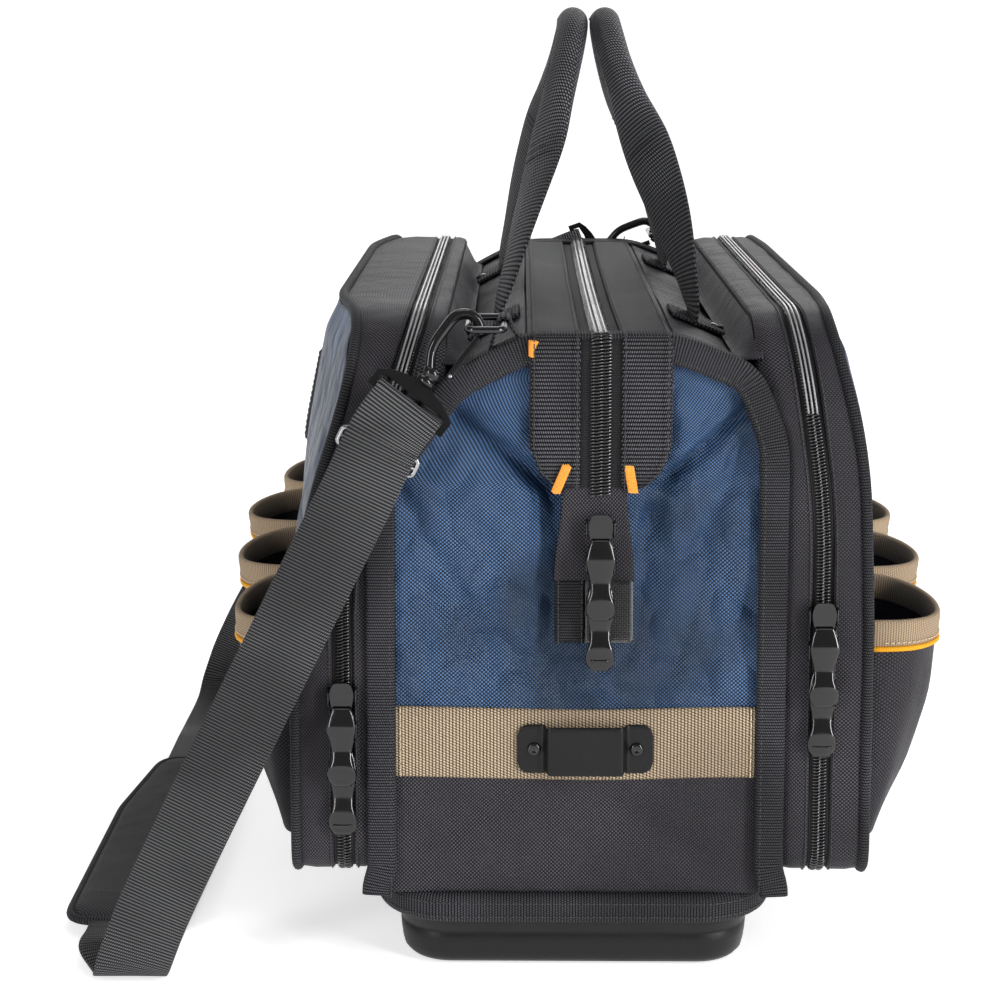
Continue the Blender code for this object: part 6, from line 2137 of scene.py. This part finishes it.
@dataclass
class SliderPair:
    """Two zip sliders that meet, each with a cast pull."""

    name: str
    x: float
    z: float
    back: float
    width: float = 0.016
    waist: float = 0.011
    length: float = 0.016
    depth: float = 0.0075
    step: float = 0.0185
    pull_half: float = 0.0078
    pull_thickness: float = 0.0034
    upper_length: float = 0.042
    lower_length: float = 0.046
    shape: Tuple[Pair, ...] = ((0.0, 0.56), (0.02, 0.70), (0.12, 0.86), (0.25, 1.0), (0.38, 0.86),
                               (0.52, 0.66), (0.66, 0.68), (0.80, 0.96), (0.88, 1.0), (0.96, 0.80),
                               (1.0, 0.52))

    @property
    def front(self) -> float:
        """Y of the sliders' outer face."""
        return -(self.back + self.depth)

    def shell(self, lower: bool) -> bpy.types.Object:
        """One slider: a shield-shaped plate with a flange at each side, and a bridge for the pull."""
        z = self.z - (self.step if lower else 0.0)
        half, waist, tall = self.width / 2, self.waist / 2, self.length / 2
        shield = [(-waist, tall), (waist, tall), (half, tall - self.length / 3), (half * 0.96, 0.0),
                  (waist, -tall), (-waist, -tall), (-half * 0.96, 0.0), (-half, tall - self.length / 3)]
        even = softened(resampled(shield, 0.0012, closed=True), 3, closed=True)
        flip = -1 if lower else 1
        face = [(p * 0.8, q * flip) for p, q in even]
        pieces = [plate("slider_plate", face, 0.0022, (self.x, self.front + 0.0012, z), (1, 0, 0), (0, 0, 1),
                        GLOSS_BLACK, 0.0008)]
        for edge in (-1, 1):
            side = rounded_box(0.0006, 0.0019, 0.0005, 3)
            place = (self.x + edge * (half - 0.0010), self.front + 0.0040, z - 0.0045)
            line = straight(place, (place[0], place[1], z + 0.0045), 4)
            pieces.append(swept("slider_flange", line, (0, -1, 0), side, GLOSS_BLACK))
        front = self.front + 0.0014
        bridge = [(self.x, front + 0.0006, z + 0.0056), (self.x, front - 0.0002, z + 0.0048),
                  (self.x, front - 0.0003, z - 0.0044), (self.x, front + 0.0006, z - 0.0052)]
        even_bridge = softened(resampled(bridge, 0.0012), 1)
        flat = rounded_box(0.0026, 0.0009, 0.0006, 3)
        pieces.append(swept("slider_bridge", even_bridge, (0, -1, 0), flat, GLOSS_BLACK))
        return joined(f"{self.name}_slider_{'low' if lower else 'high'}_body", pieces)

    def pull(self, lower: bool) -> bpy.types.Object:
        """One pull: a waisted bar, the lower one with a ridged tip."""
        if lower:
            pivot = self.z - self.step - self.length / 2 - 0.0024
            y = self.front + 0.0004 + self.pull_thickness / 2
            length = self.lower_length
        else:
            pivot = self.z - self.length / 3
            y = self.front - 0.0003 - self.pull_thickness / 2
            length = self.upper_length
        top = pivot + 0.0008
        origin = (self.x, y, 0.0)
        name = f"{self.name}_pull_{'low' if lower else 'high'}"
        shares = np.linspace(0.0, 1.0, 40)
        widths = np.interp(shares, *zip(*self.shape))
        widths = softened(widths[:, None], 3)[:, 0] * self.pull_half
        turns = np.linspace(0, 2 * np.pi, 28, endpoint=False)
        rows = []
        for share, width in zip(shares, widths):
            ends = min(1.0, math.sin(math.pi * share) * 8 + 0.25)
            high = np.sin(turns)
            deep = np.where(high > 0, -np.abs(high) ** 0.75, np.abs(high) ** 0.4 * 0.7)
            deep = deep * self.pull_thickness / 2 * ends
            wave = 0.0011 * math.cos(share * 4 * math.pi)
            rows.append(np.column_stack([self.x + width * np.cos(turns), y + deep + wave * (high > 0),
                                         np.full(28, top - length * share)]))
        pieces = [surface(f"{name}_core", np.array(rows), GLOSS_BLACK, origin, around=True, caps=True)]
        if lower:
            for k in range(3):
                z = top - length + 0.0060 + 0.0034 * k
                ridge = straight((self.x - 0.0048, y - 0.0016, z), (self.x + 0.0048, y - 0.0016, z), 6)
                pieces.append(tube(f"{name}_ridge", ridge, 0.0007, GLOSS_BLACK, sides=8, look=(0, -1, 0)))
        return joined(name + "_cast", pieces)

    def build(self) -> None:
        """Build both sliders and both pulls."""
        for lower, level in ((False, "upper"), (True, "lower")):
            settle(self.shell(lower), f"{self.name}_slider_{level}", Slot.METAL,
                   f"{self.name}_slider_{level}")
            settle(self.pull(lower), f"{self.name}_pull_{level}", Slot.METAL, f"{self.name}_pull_{level}")


# ------------------------------------------------ shoulder strap and its ends


@dataclass
class StrapEnd:
    """Ring, its webbing tab, snap hook, gate and eye at one end of the strap."""

    name: str
    side: Side
    ring_centre: Place
    tab_bar: float
    base: Place
    direction: Place
    shank: Place
    wide: Place
    eye: Place
    tab_length: float = 0.019
    wire: float = 0.0018
    crook: float = 0.00835
    bar_reach: float = 0.0078

    def ring(self) -> bpy.types.Object:
        """Wire ring with round corners."""
        flat = rounded_box(0.009, 0.023, 0.004, 6)
        line = resampled(flat, 0.0012, closed=True) + self.ring_centre[:2]
        path = at_level(line, self.ring_centre[2])
        return tube(f"{self.name}_ring_wire", path, self.wire, DARK_WIRE, closed=True, sides=14)

    def tab(self) -> bpy.types.Object:
        """Webbing sewn to the strip and looped over the ring's bar."""
        sign = self.side.sign
        bar, z = abs(self.tab_bar), self.ring_centre[2]
        inner = max(bar - self.bar_reach, self.side.flap_edge + 0.0012)
        outer = bar + self.bar_reach
        low_in = self.side.strip_height(inner) + 0.0012
        low_out = self.side.strip_height(outer) + 0.0012
        line = [(inner, low_in), (bar - 0.0038, z - 0.0030)]
        line += arc((bar, z), 0.0031, 180, 0, 10)
        line += [(bar + 0.0038, z - 0.0030), (outer, low_out)]
        even = softened(resampled(line, 0.0010), 2)
        out = unit(even - np.array([bar, z - 0.004]))
        y = math.copysign(END_Y - 0.0115, self.ring_centre[1])
        path, looks = upright(even * (sign, 1), y), upright(out * (sign, 1), 0.0)
        pieces = [ribbon("tab_web", path, looks, self.tab_length, 0.0014, BLACK_WEB)]
        reach = 0.008
        for x, height in ((outer - 0.0028, low_out + 0.0016), (inner + 0.0012, low_in + 0.0013)):
            row = straight((sign * x, y - reach, height), (sign * x, y + reach, height))
            pieces.append(stitch_row("tab_stitches", row, (0, 0, 1), pitch=0.0026))
        return joined(f"{self.name}_ring_web", pieces)

    @property
    def normal(self) -> np.ndarray:
        """The way across the hook's own plane."""
        return np.cross(self.direction, self.shank)

    def at(self, along: float, up: float) -> np.ndarray:
        """A point of the hook's own plane."""
        return np.asarray(self.base) + np.asarray(self.direction) * along + np.asarray(self.shank) * up

    def hook(self) -> bpy.types.Object:
        """Cast hook: swivel collar, shank and crook."""
        line = [(0.0070, 0.0015), (0.0105, 0.0040), (0.0150, 0.0068), (0.0200, 0.0081),
                (0.0270, self.crook)]
        line += arc((0.034, 0.0), self.crook, 90, -68, 14)
        even = softened(resampled(line, 0.0010), 3)
        path = np.array([self.at(a, b) for a, b in even])
        thick = np.interp(np.linspace(0, 1, len(path)), [0.0, 0.15, 0.6, 0.93, 1.0],
                          [0.0030, 0.0027, 0.0029, 0.0025, 0.0017])
        pieces = [tube("hook_wire", path, 0.0022, GLOSS_BLACK, sides=14, radii=thick, look=self.normal)]
        profile = [(0.0, 0.0), (0.0046, 0.0), (0.0054, 0.0008), (0.0054, 0.0028), (0.0040, 0.0036),
                   (0.0040, 0.0046), (0.0052, 0.0054), (0.0052, 0.0080), (0.0040, 0.0090), (0.0, 0.0092)]
        pieces.append(lathe("hook_collar", profile, self.base, self.direction, GLOSS_BLACK, 28))
        return joined(f"{self.name}_hook_cast", pieces)

    def gate(self) -> bpy.types.Object:
        """Sprung gate with its pin and thumb rest."""
        normal = self.normal
        line = [self.at(a, -0.0080) for a in np.linspace(0.0095, 0.0354, 12)]
        pieces = [swept("gate_bar", line, normal, rounded_box(0.0017, 0.0017, 0.0009, 3), SATIN_BLACK)]
        pin = self.at(0.0112, -0.0080)
        pieces.append(lathe("gate_pin", [(0.0, -0.0024), (0.0010, -0.0024), (0.0010, 0.0024), (0.0, 0.0024)],
                            pin, normal, PLATED, 12))
        rest = self.at(0.0190, -0.0100)
        pieces.append(lathe("gate_rest", [(0.0, -0.0012), (0.0014, -0.0010), (0.0014, 0.0010), (0.0, 0.0012)],
                            rest, normal, SATIN_BLACK, 12))
        return joined(f"{self.name}_gate_cast", pieces)

    def eye_plate(self) -> bpy.types.Object:
        """Eye that carries the strap, with its slot."""
        half, tall, slot, low = 0.023, 0.008, 0.0196, -0.005
        outline = [(-half, -tall), (half, -tall), (half, 0.0008), (0.0185, 0.0040), (0.0125, 0.0066),
                   (0.0055, tall), (-0.0055, tall), (-0.0125, 0.0066), (-0.0185, 0.0040), (-half, 0.0008)]
        hole = [(-slot, low), (slot, low), (slot, -0.0010), (0.0130, 0.0006), (-0.0130, 0.0006),
                (-slot, -0.0010)]
        return plate(f"{self.name}_eye_cast", outline, 0.003, self.eye, self.wide, self.direction,
                     GLOSS_BLACK, 0.0007, (hole,))

    def build(self) -> None:
        """Build the end of the strap, each piece on its own body."""
        settle(self.ring(), f"{self.name}_ring", Slot.METAL, f"{self.name}_ring")
        settle(self.tab(), "bag", Slot.WEB, f"{self.name}_ring_tab")
        settle(self.hook(), f"{self.name}_hook", Slot.METAL, f"{self.name}_hook")
        settle(self.gate(), f"{self.name}_gate", Slot.METAL, f"{self.name}_gate")
        settle(self.eye_plate(), "bag", Slot.METAL, f"{self.name}_eye")


NEAR_END = StrapEnd("near", LEFT, (-0.046, -0.2265, 0.3455), -0.037, (-0.07723, -0.24228, 0.31697),
                    (0.6009, 0.21032, 0.77116), (-0.7888, 0.0, 0.61465), (0.79023, -0.01122, -0.61271),
                    (-0.08222, -0.24403, 0.31057))
FAR_END = StrapEnd("far", RIGHT, (0.0725, 0.2265, 0.3455), 0.0815, (0.02871, 0.239, 0.33291),
                   (0.94038, 0.0, 0.34014), (-0.34014, 0.0, 0.94038), (-0.34014, 0.0, 0.94038),
                   (0.0209, 0.239, 0.33009))


@dataclass
class ShoulderStrap:
    """Long webbing strap, doubled round both eyes, and the tri-glide on it."""

    width: float = 0.038
    thickness: float = 0.0022
    glide_at: Place = (-0.09993, -0.2475, 0.28375)
    glide_run: Place = (-0.437314, 0.0, -0.899309)
    controls: Tuple[Tuple[float, ...], ...] = (
        (-0.1087, -0.2459, 0.2658, 0, 1, 0), (-0.1039, -0.2459, 0.2757, 0, 1, 0),
        (-0.0960, -0.2459, 0.2918, 0, 1, 0), (-0.0866, -0.2417, 0.3049, -0.12, 0.98, -0.17),
        (-0.0848, -0.2422, 0.3072, 0.34, 0.84, 0.42), (-0.0838, -0.2446, 0.3085, 0.6, 0.21, 0.77),
        (-0.0842, -0.2475, 0.3081, 0.51, -0.54, 0.67), (-0.0857, -0.2491, 0.3062, 0.12, -0.98, 0.17),
        (-0.0960, -0.2491, 0.2918, 0, -1, 0), (-0.1117, -0.2491, 0.2595, 0, -1, 0),
        (-0.2170, -0.2475, 0.0430, 0, -1, 0), (-0.2280, -0.2469, 0.0150, 0, -0.97, -0.24),
        (-0.2319, -0.2401, 0.0046, 0, -0.45, -0.89), (-0.2350, -0.2280, 0.0030, 0, 0, -1),
        (-0.2450, -0.2130, 0.0080, 0, 0, -1), (-0.2450, -0.1960, 0.0080, 0, 0, -1),
        (-0.2450, 0.0, 0.0080, 0, 0, -1), (-0.2450, 0.1020, 0.0080, 0, 0, -1),
        (-0.2450, 0.1150, 0.0080, 0, 0, -1), (-0.2470, 0.1550, 0.0030, 0, 0, -1),
        (-0.2470, 0.2180, 0.0030, 0, 0, -1), (-0.2461, 0.2371, 0.0113, 0, 0.62, -0.78),
        (-0.2380, 0.2421, 0.0320, 0, 1, -0.1), (-0.2180, 0.2428, 0.0720, 0, 1, 0),
        (-0.1256, 0.2428, 0.2148, 0, 1, 0), (-0.0730, 0.2428, 0.2795, 0, 1, 0),
        (-0.0311, 0.2428, 0.3074, 0, 1, 0), (0.0148, 0.2428, 0.3279, 0, 1, 0),
        (0.0173, 0.2417, 0.3288, 0.66, 0.71, 0.24), (0.0184, 0.2390, 0.3292, 0.94, 0, 0.34),
        (0.0173, 0.2363, 0.3288, 0.66, -0.71, 0.24), (0.0148, 0.2352, 0.3279, 0, -1, 0),
        (-0.0040, 0.2352, 0.3211, 0, -1, 0))

    def glide_ways(self) -> Tuple[np.ndarray, np.ndarray]:
        """The strap's own way at the tri-glide, and the way across it."""
        run = unit(np.asarray(self.glide_run))
        return run, unit(np.cross(run, (0, 1, 0)))

    def strap(self) -> bpy.types.Object:
        """The webbing from its near tail to its far one, with two rows of stitches at the near loop."""
        line = curve_through(self.controls, 14)
        path, looks = line[:, :3], unit(line[:, 3:])
        pieces = [ribbon("strap_web", path, looks, self.width, self.thickness, STRAP_WEB)]
        run, wide = self.glide_ways()
        start = np.array([-0.0960, -0.24905 - self.thickness / 2, 0.2918])
        reach = wide * 0.0165
        for shift in (0.0030, 0.0090):
            row = straight(start + run * shift - reach, start + run * shift + reach)
            pieces.append(stitch_row("strap_stitches", row, (0, -1, 0), pitch=0.0032))
        return joined("strap_webbing", pieces)

    def glide(self) -> bpy.types.Object:
        """Bright wire frame whose bars lie between the layers of the strap."""
        run, wide = self.glide_ways()
        centre = np.asarray(self.glide_at)
        half = 0.0208
        flat = resampled(rounded_box(half, 0.0044, 0.0020, 6), 0.0010, closed=True)
        path = np.array([centre + wide * a + run * b for a, b in flat])
        pieces = [tube("glide_frame", path, 0.0013, PLATED, closed=True, sides=12, look=(0, -1, 0))]
        bar = straight(centre - wide * half, centre + wide * half, 8)
        pieces.append(tube("glide_bar", bar, 0.0012, PLATED, sides=12, look=(0, -1, 0)))
        return joined("tri_glide_frame", pieces)

    def build(self) -> None:
        """Build the strap on the bag and the tri-glide on its own body."""
        settle(self.strap(), "bag", Slot.WEB, "shoulder_strap")
        settle(self.glide(), "tri_glide", Slot.BRIGHT, "tri_glide")


@dataclass
class ShoulderPad:
    """Padded sleeve on the strap, swollen by a cloth simulation between its seams."""

    x: float = -0.245
    near: float = -0.185
    far: float = 0.070
    half: float = 0.034
    far_half: float = 0.024
    taper_from: float = -0.020
    corner: float = 0.012
    thickness: float = 0.016
    seam_inset: float = 0.0014
    seam_width: float = 0.0055
    edge_low: float = 0.0022
    voxel: float = 0.004
    pressure: float = 4.0
    last_frame: int = 20
    cap: float = 0.003

    def outline(self, inset: float) -> np.ndarray:
        """The pad's outline, drawn in by a distance."""
        half, far_half = self.half - inset, self.far_half - inset
        near, far = self.near + inset, self.far - inset
        right = arc((half - self.corner, near + self.corner), self.corner, -90, 0, 6)
        right += [(half, self.taper_from)]
        right += arc((far_half - self.corner, far - self.corner), self.corner, 0, 90, 6)
        whole = right + [(-a, b) for a, b in reversed(right)]
        line = softened(resampled(whole, 0.0035, closed=True), 3, closed=True)
        return line + np.array([self.x, 0.0])

    def pillow(self) -> bpy.types.Object:
        """Flat bag of fabric: its faces meet the outline and swell between."""
        rows = []
        centre = np.array([self.x, (self.near + self.far) / 2])
        edge = self.outline(self.seam_inset)
        half = self.thickness / 2
        for level in (-1, 1):
            shares = (0.0, 0.35, 0.6, 0.78, 0.9, 0.97, 1.0)
            for share in shares[::-level]:
                inner = centre + (edge - centre) * np.array([share, 0.5 + 0.5 * share])
                high = half + level * (half - self.edge_low) * math.sqrt(1 - share ** 6)
                rows.append(at_level(inner, high))
        return surface("shoulder_pad_fill", np.array(rows), PAD_NYLON, around=True, caps=True)

    def swell(self, piece: bpy.types.Object) -> None:
        """Let the fabric swell under pressure, hold its underside flat and cap the movement."""
        remesh = piece.modifiers.new("even mesh", "REMESH")
        remesh.mode = "VOXEL"
        remesh.voxel_size = self.voxel
        graph = bpy.context.evaluated_depsgraph_get()
        even = bpy.data.meshes.new_from_object(piece.evaluated_get(graph), depsgraph=graph)
        piece.modifiers.clear()
        piece.data = even
        before = np.array([v.co[:] for v in even.vertices])
        seam = self.outline(self.seam_inset)
        gaps = np.linalg.norm(before[:, None, :2] - seam[None, :, :], axis=2).min(axis=1)
        held = piece.vertex_groups.new(name="seam")
        held.add([int(i) for i in np.flatnonzero(gaps < self.seam_width)], 1.0, "REPLACE")
        cloth = piece.modifiers.new("swelling", "CLOTH")
        cloth.settings.vertex_group_mass = "seam"
        cloth.settings.use_pressure = True
        cloth.settings.uniform_pressure_force = self.pressure
        cloth.settings.effector_weights.gravity = 0.0
        cloth.point_cache.frame_start = 1
        cloth.point_cache.frame_end = self.last_frame
        scene = bpy.context.scene
        for number in range(1, self.last_frame + 1):
            scene.frame_set(number)
        graph = bpy.context.evaluated_depsgraph_get()
        swollen = piece.evaluated_get(graph).data
        after = np.array([v.co[:] for v in swollen.vertices])
        piece.modifiers.clear()
        scene.frame_set(1)
        step = after - before
        far = np.linalg.norm(step, axis=1, keepdims=True)
        moved = before + step * np.minimum(1.0, self.cap / np.maximum(far, 1e-9))
        moved[:, 2] = np.clip(moved[:, 2], 0.0003, self.thickness)
        for vertex, place in zip(even.vertices, moved):
            vertex.co = place
        finish_only(even, PAD_NYLON)
        even.shade_smooth()
        finer = piece.modifiers.new("finer", "SUBSURF")
        finer.levels = 1
        finer.render_levels = 1

    def trim(self) -> bpy.types.Object:
        """Binding round the edge, and a seam across each end."""
        path = at_level(self.outline(0.0012), self.thickness / 2)
        pieces = [tube("pad_piping", path, 0.0024, BINDING, closed=True, sides=10, look=(0, 0, 1))]
        for share in (0.10, 0.90):
            y = self.near + (self.far - self.near) * share
            wide = self.half - 0.010 if share < 0.5 else self.far_half - 0.008
            row = straight((self.x - wide, y, self.thickness - 0.0012),
                           (self.x + wide, y, self.thickness - 0.0012))
            pieces.append(stitch_row("pad_stitches", row, (0, 0, 1), pitch=0.0036))
        return joined("shoulder_pad_trim", pieces)

    def build(self) -> None:
        """Build the pad on its own body."""
        body = self.pillow()
        self.swell(body)
        settle(body, "shoulder_pad", Slot.NYLON, "shoulder_pad")
        settle(self.trim(), "shoulder_pad", Slot.WEB)


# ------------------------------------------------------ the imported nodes


NODE_FINISHES = {Slot.MOULDED: MOULDED, Slot.NYLON: BLACK_NYLON, Slot.BLUE: BLUE_NYLON, Slot.WEB: BLACK_WEB,
                 Slot.TAN: TAN_WEB, Slot.METAL: GLOSS_BLACK, Slot.BRIGHT: PLATED}


def dress_nodes() -> None:
    """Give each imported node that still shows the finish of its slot."""
    slots = {part["node"]: part["material_slot"] for part in frame["record"]["subparts"]}
    for name, node in frame["nodes"].items():
        if node.hide_render:
            continue
        finish_only(node.data, NODE_FINISHES[Slot(slots[name])])


# ---------------------------------------------------------------- the studio


@dataclass
class Studio:
    """Pale floor, soft lights and the camera."""

    eye: Place = (-0.0285, -1.2762, 0.4982)
    pitch: float = 7.64
    yaw: float = 0.58
    focal: float = 2099.0
    shift: float = -0.200
    floor_glow: float = 0.60
    sky_glow: float = 0.24
    sensor: float = 36.0
    lights: Tuple[Tuple[str, Place, Place, Pair, float], ...] = (
        ("key box", (-1.6, -1.9, 0.85), (0.0, -0.2, 0.2), (0.30, 1.6), 20),
        ("side box", (1.7, -1.5, 0.85), (0.05, -0.2, 0.2), (0.30, 1.6), 44),
        ("top box", (0.0, 0.2, 2.4), (0.0, 0.0, 0.3), (1.2, 1.2), 8),
        ("back box", (0.6, 2.3, 1.5), (0.0, 0.0, 0.3), (2.0, 1.2), 12),
    )

    def floor(self) -> None:
        """A wide pale floor that curves up far behind."""
        rows = []
        for y, z in ((-30.0, 0.0), (4.0, 0.0), (5.0, 0.1), (5.6, 0.5), (5.9, 1.2), (6.0, 5.0)):
            rows.append([(x, y, z - 0.0002) for x in np.linspace(-30, 30, 8)])
        finish = Hard("studio floor", (0.90, 0.90, 0.90), 0.75, Slot.MOULDED, grain=0.0, scale=20.0)
        made = surface("studio_floor", np.array(rows), finish, (0, 0, 60))
        shader = finish.material().node_tree.nodes["Principled BSDF"]
        shader.inputs["Emission Color"].default_value = (1.0, 1.0, 1.0, 1.0)
        shader.inputs["Emission Strength"].default_value = self.floor_glow

    def light(self, name: str, place: Place, aim: Place, size: Pair, power: float) -> None:
        """One soft box that looks at a point."""
        lamp = bpy.data.lights.new(name, "AREA")
        lamp.shape = "RECTANGLE"
        lamp.size, lamp.size_y = size
        lamp.energy = power
        holder = placed(name, lamp)
        holder.location = place
        way = Vector(aim) - Vector(place)
        holder.rotation_euler = way.to_track_quat("-Z", "Y").to_euler()

    def build(self) -> None:
        """Set the floor, the lights, the sky and the camera."""
        self.floor()
        for light in self.lights:
            self.light(*light)
        world = bpy.data.worlds.new("studio")
        world.use_nodes = True
        back = world.node_tree.nodes["Background"]
        back.inputs["Color"].default_value = (1.0, 1.0, 1.0, 1.0)
        back.inputs["Strength"].default_value = self.sky_glow
        bpy.context.scene.world = world
        bpy.context.scene.view_settings.view_transform = "Standard"
        lens = bpy.data.cameras.new("camera")
        lens.sensor_width = self.sensor
        lens.lens = self.focal / 1000.0 * self.sensor
        lens.shift_y = self.shift
        lens.clip_start = 0.05
        holder = placed("camera", lens)
        holder.location = self.eye
        holder.rotation_euler = (math.radians(90 - self.pitch), 0.0, math.radians(self.yaw))
        bpy.context.scene.camera = holder


def main() -> None:
    """Build every piece of the bag, then the studio round it."""
    logging.basicConfig(level=logging.INFO, format="%(message)s")
    for part in (Base(), Carcass(), MainZip(), EndFittings()):
        LOG.info("building %s", type(part).__name__)
        part.build()
    for side in SIDES:
        compartment = Compartment(side)
        compartment.build()
        if side is LEFT:
            FacePatch().build(compartment)
        Pockets(compartment).build()
        Handle(side).build()
        SliderPair(side.name, side.sign * side.zip_x, side.slider_height, END_Y + 0.0003).build()
    SliderPair("main", TOP_SHIFT, 0.2415, END_Y + 0.0036).build()
    for part in (NEAR_END, FAR_END, ShoulderStrap(), ShoulderPad()):
        part.build()
    dress_nodes()
    Studio().build()


if __name__ == "__main__":
    main()
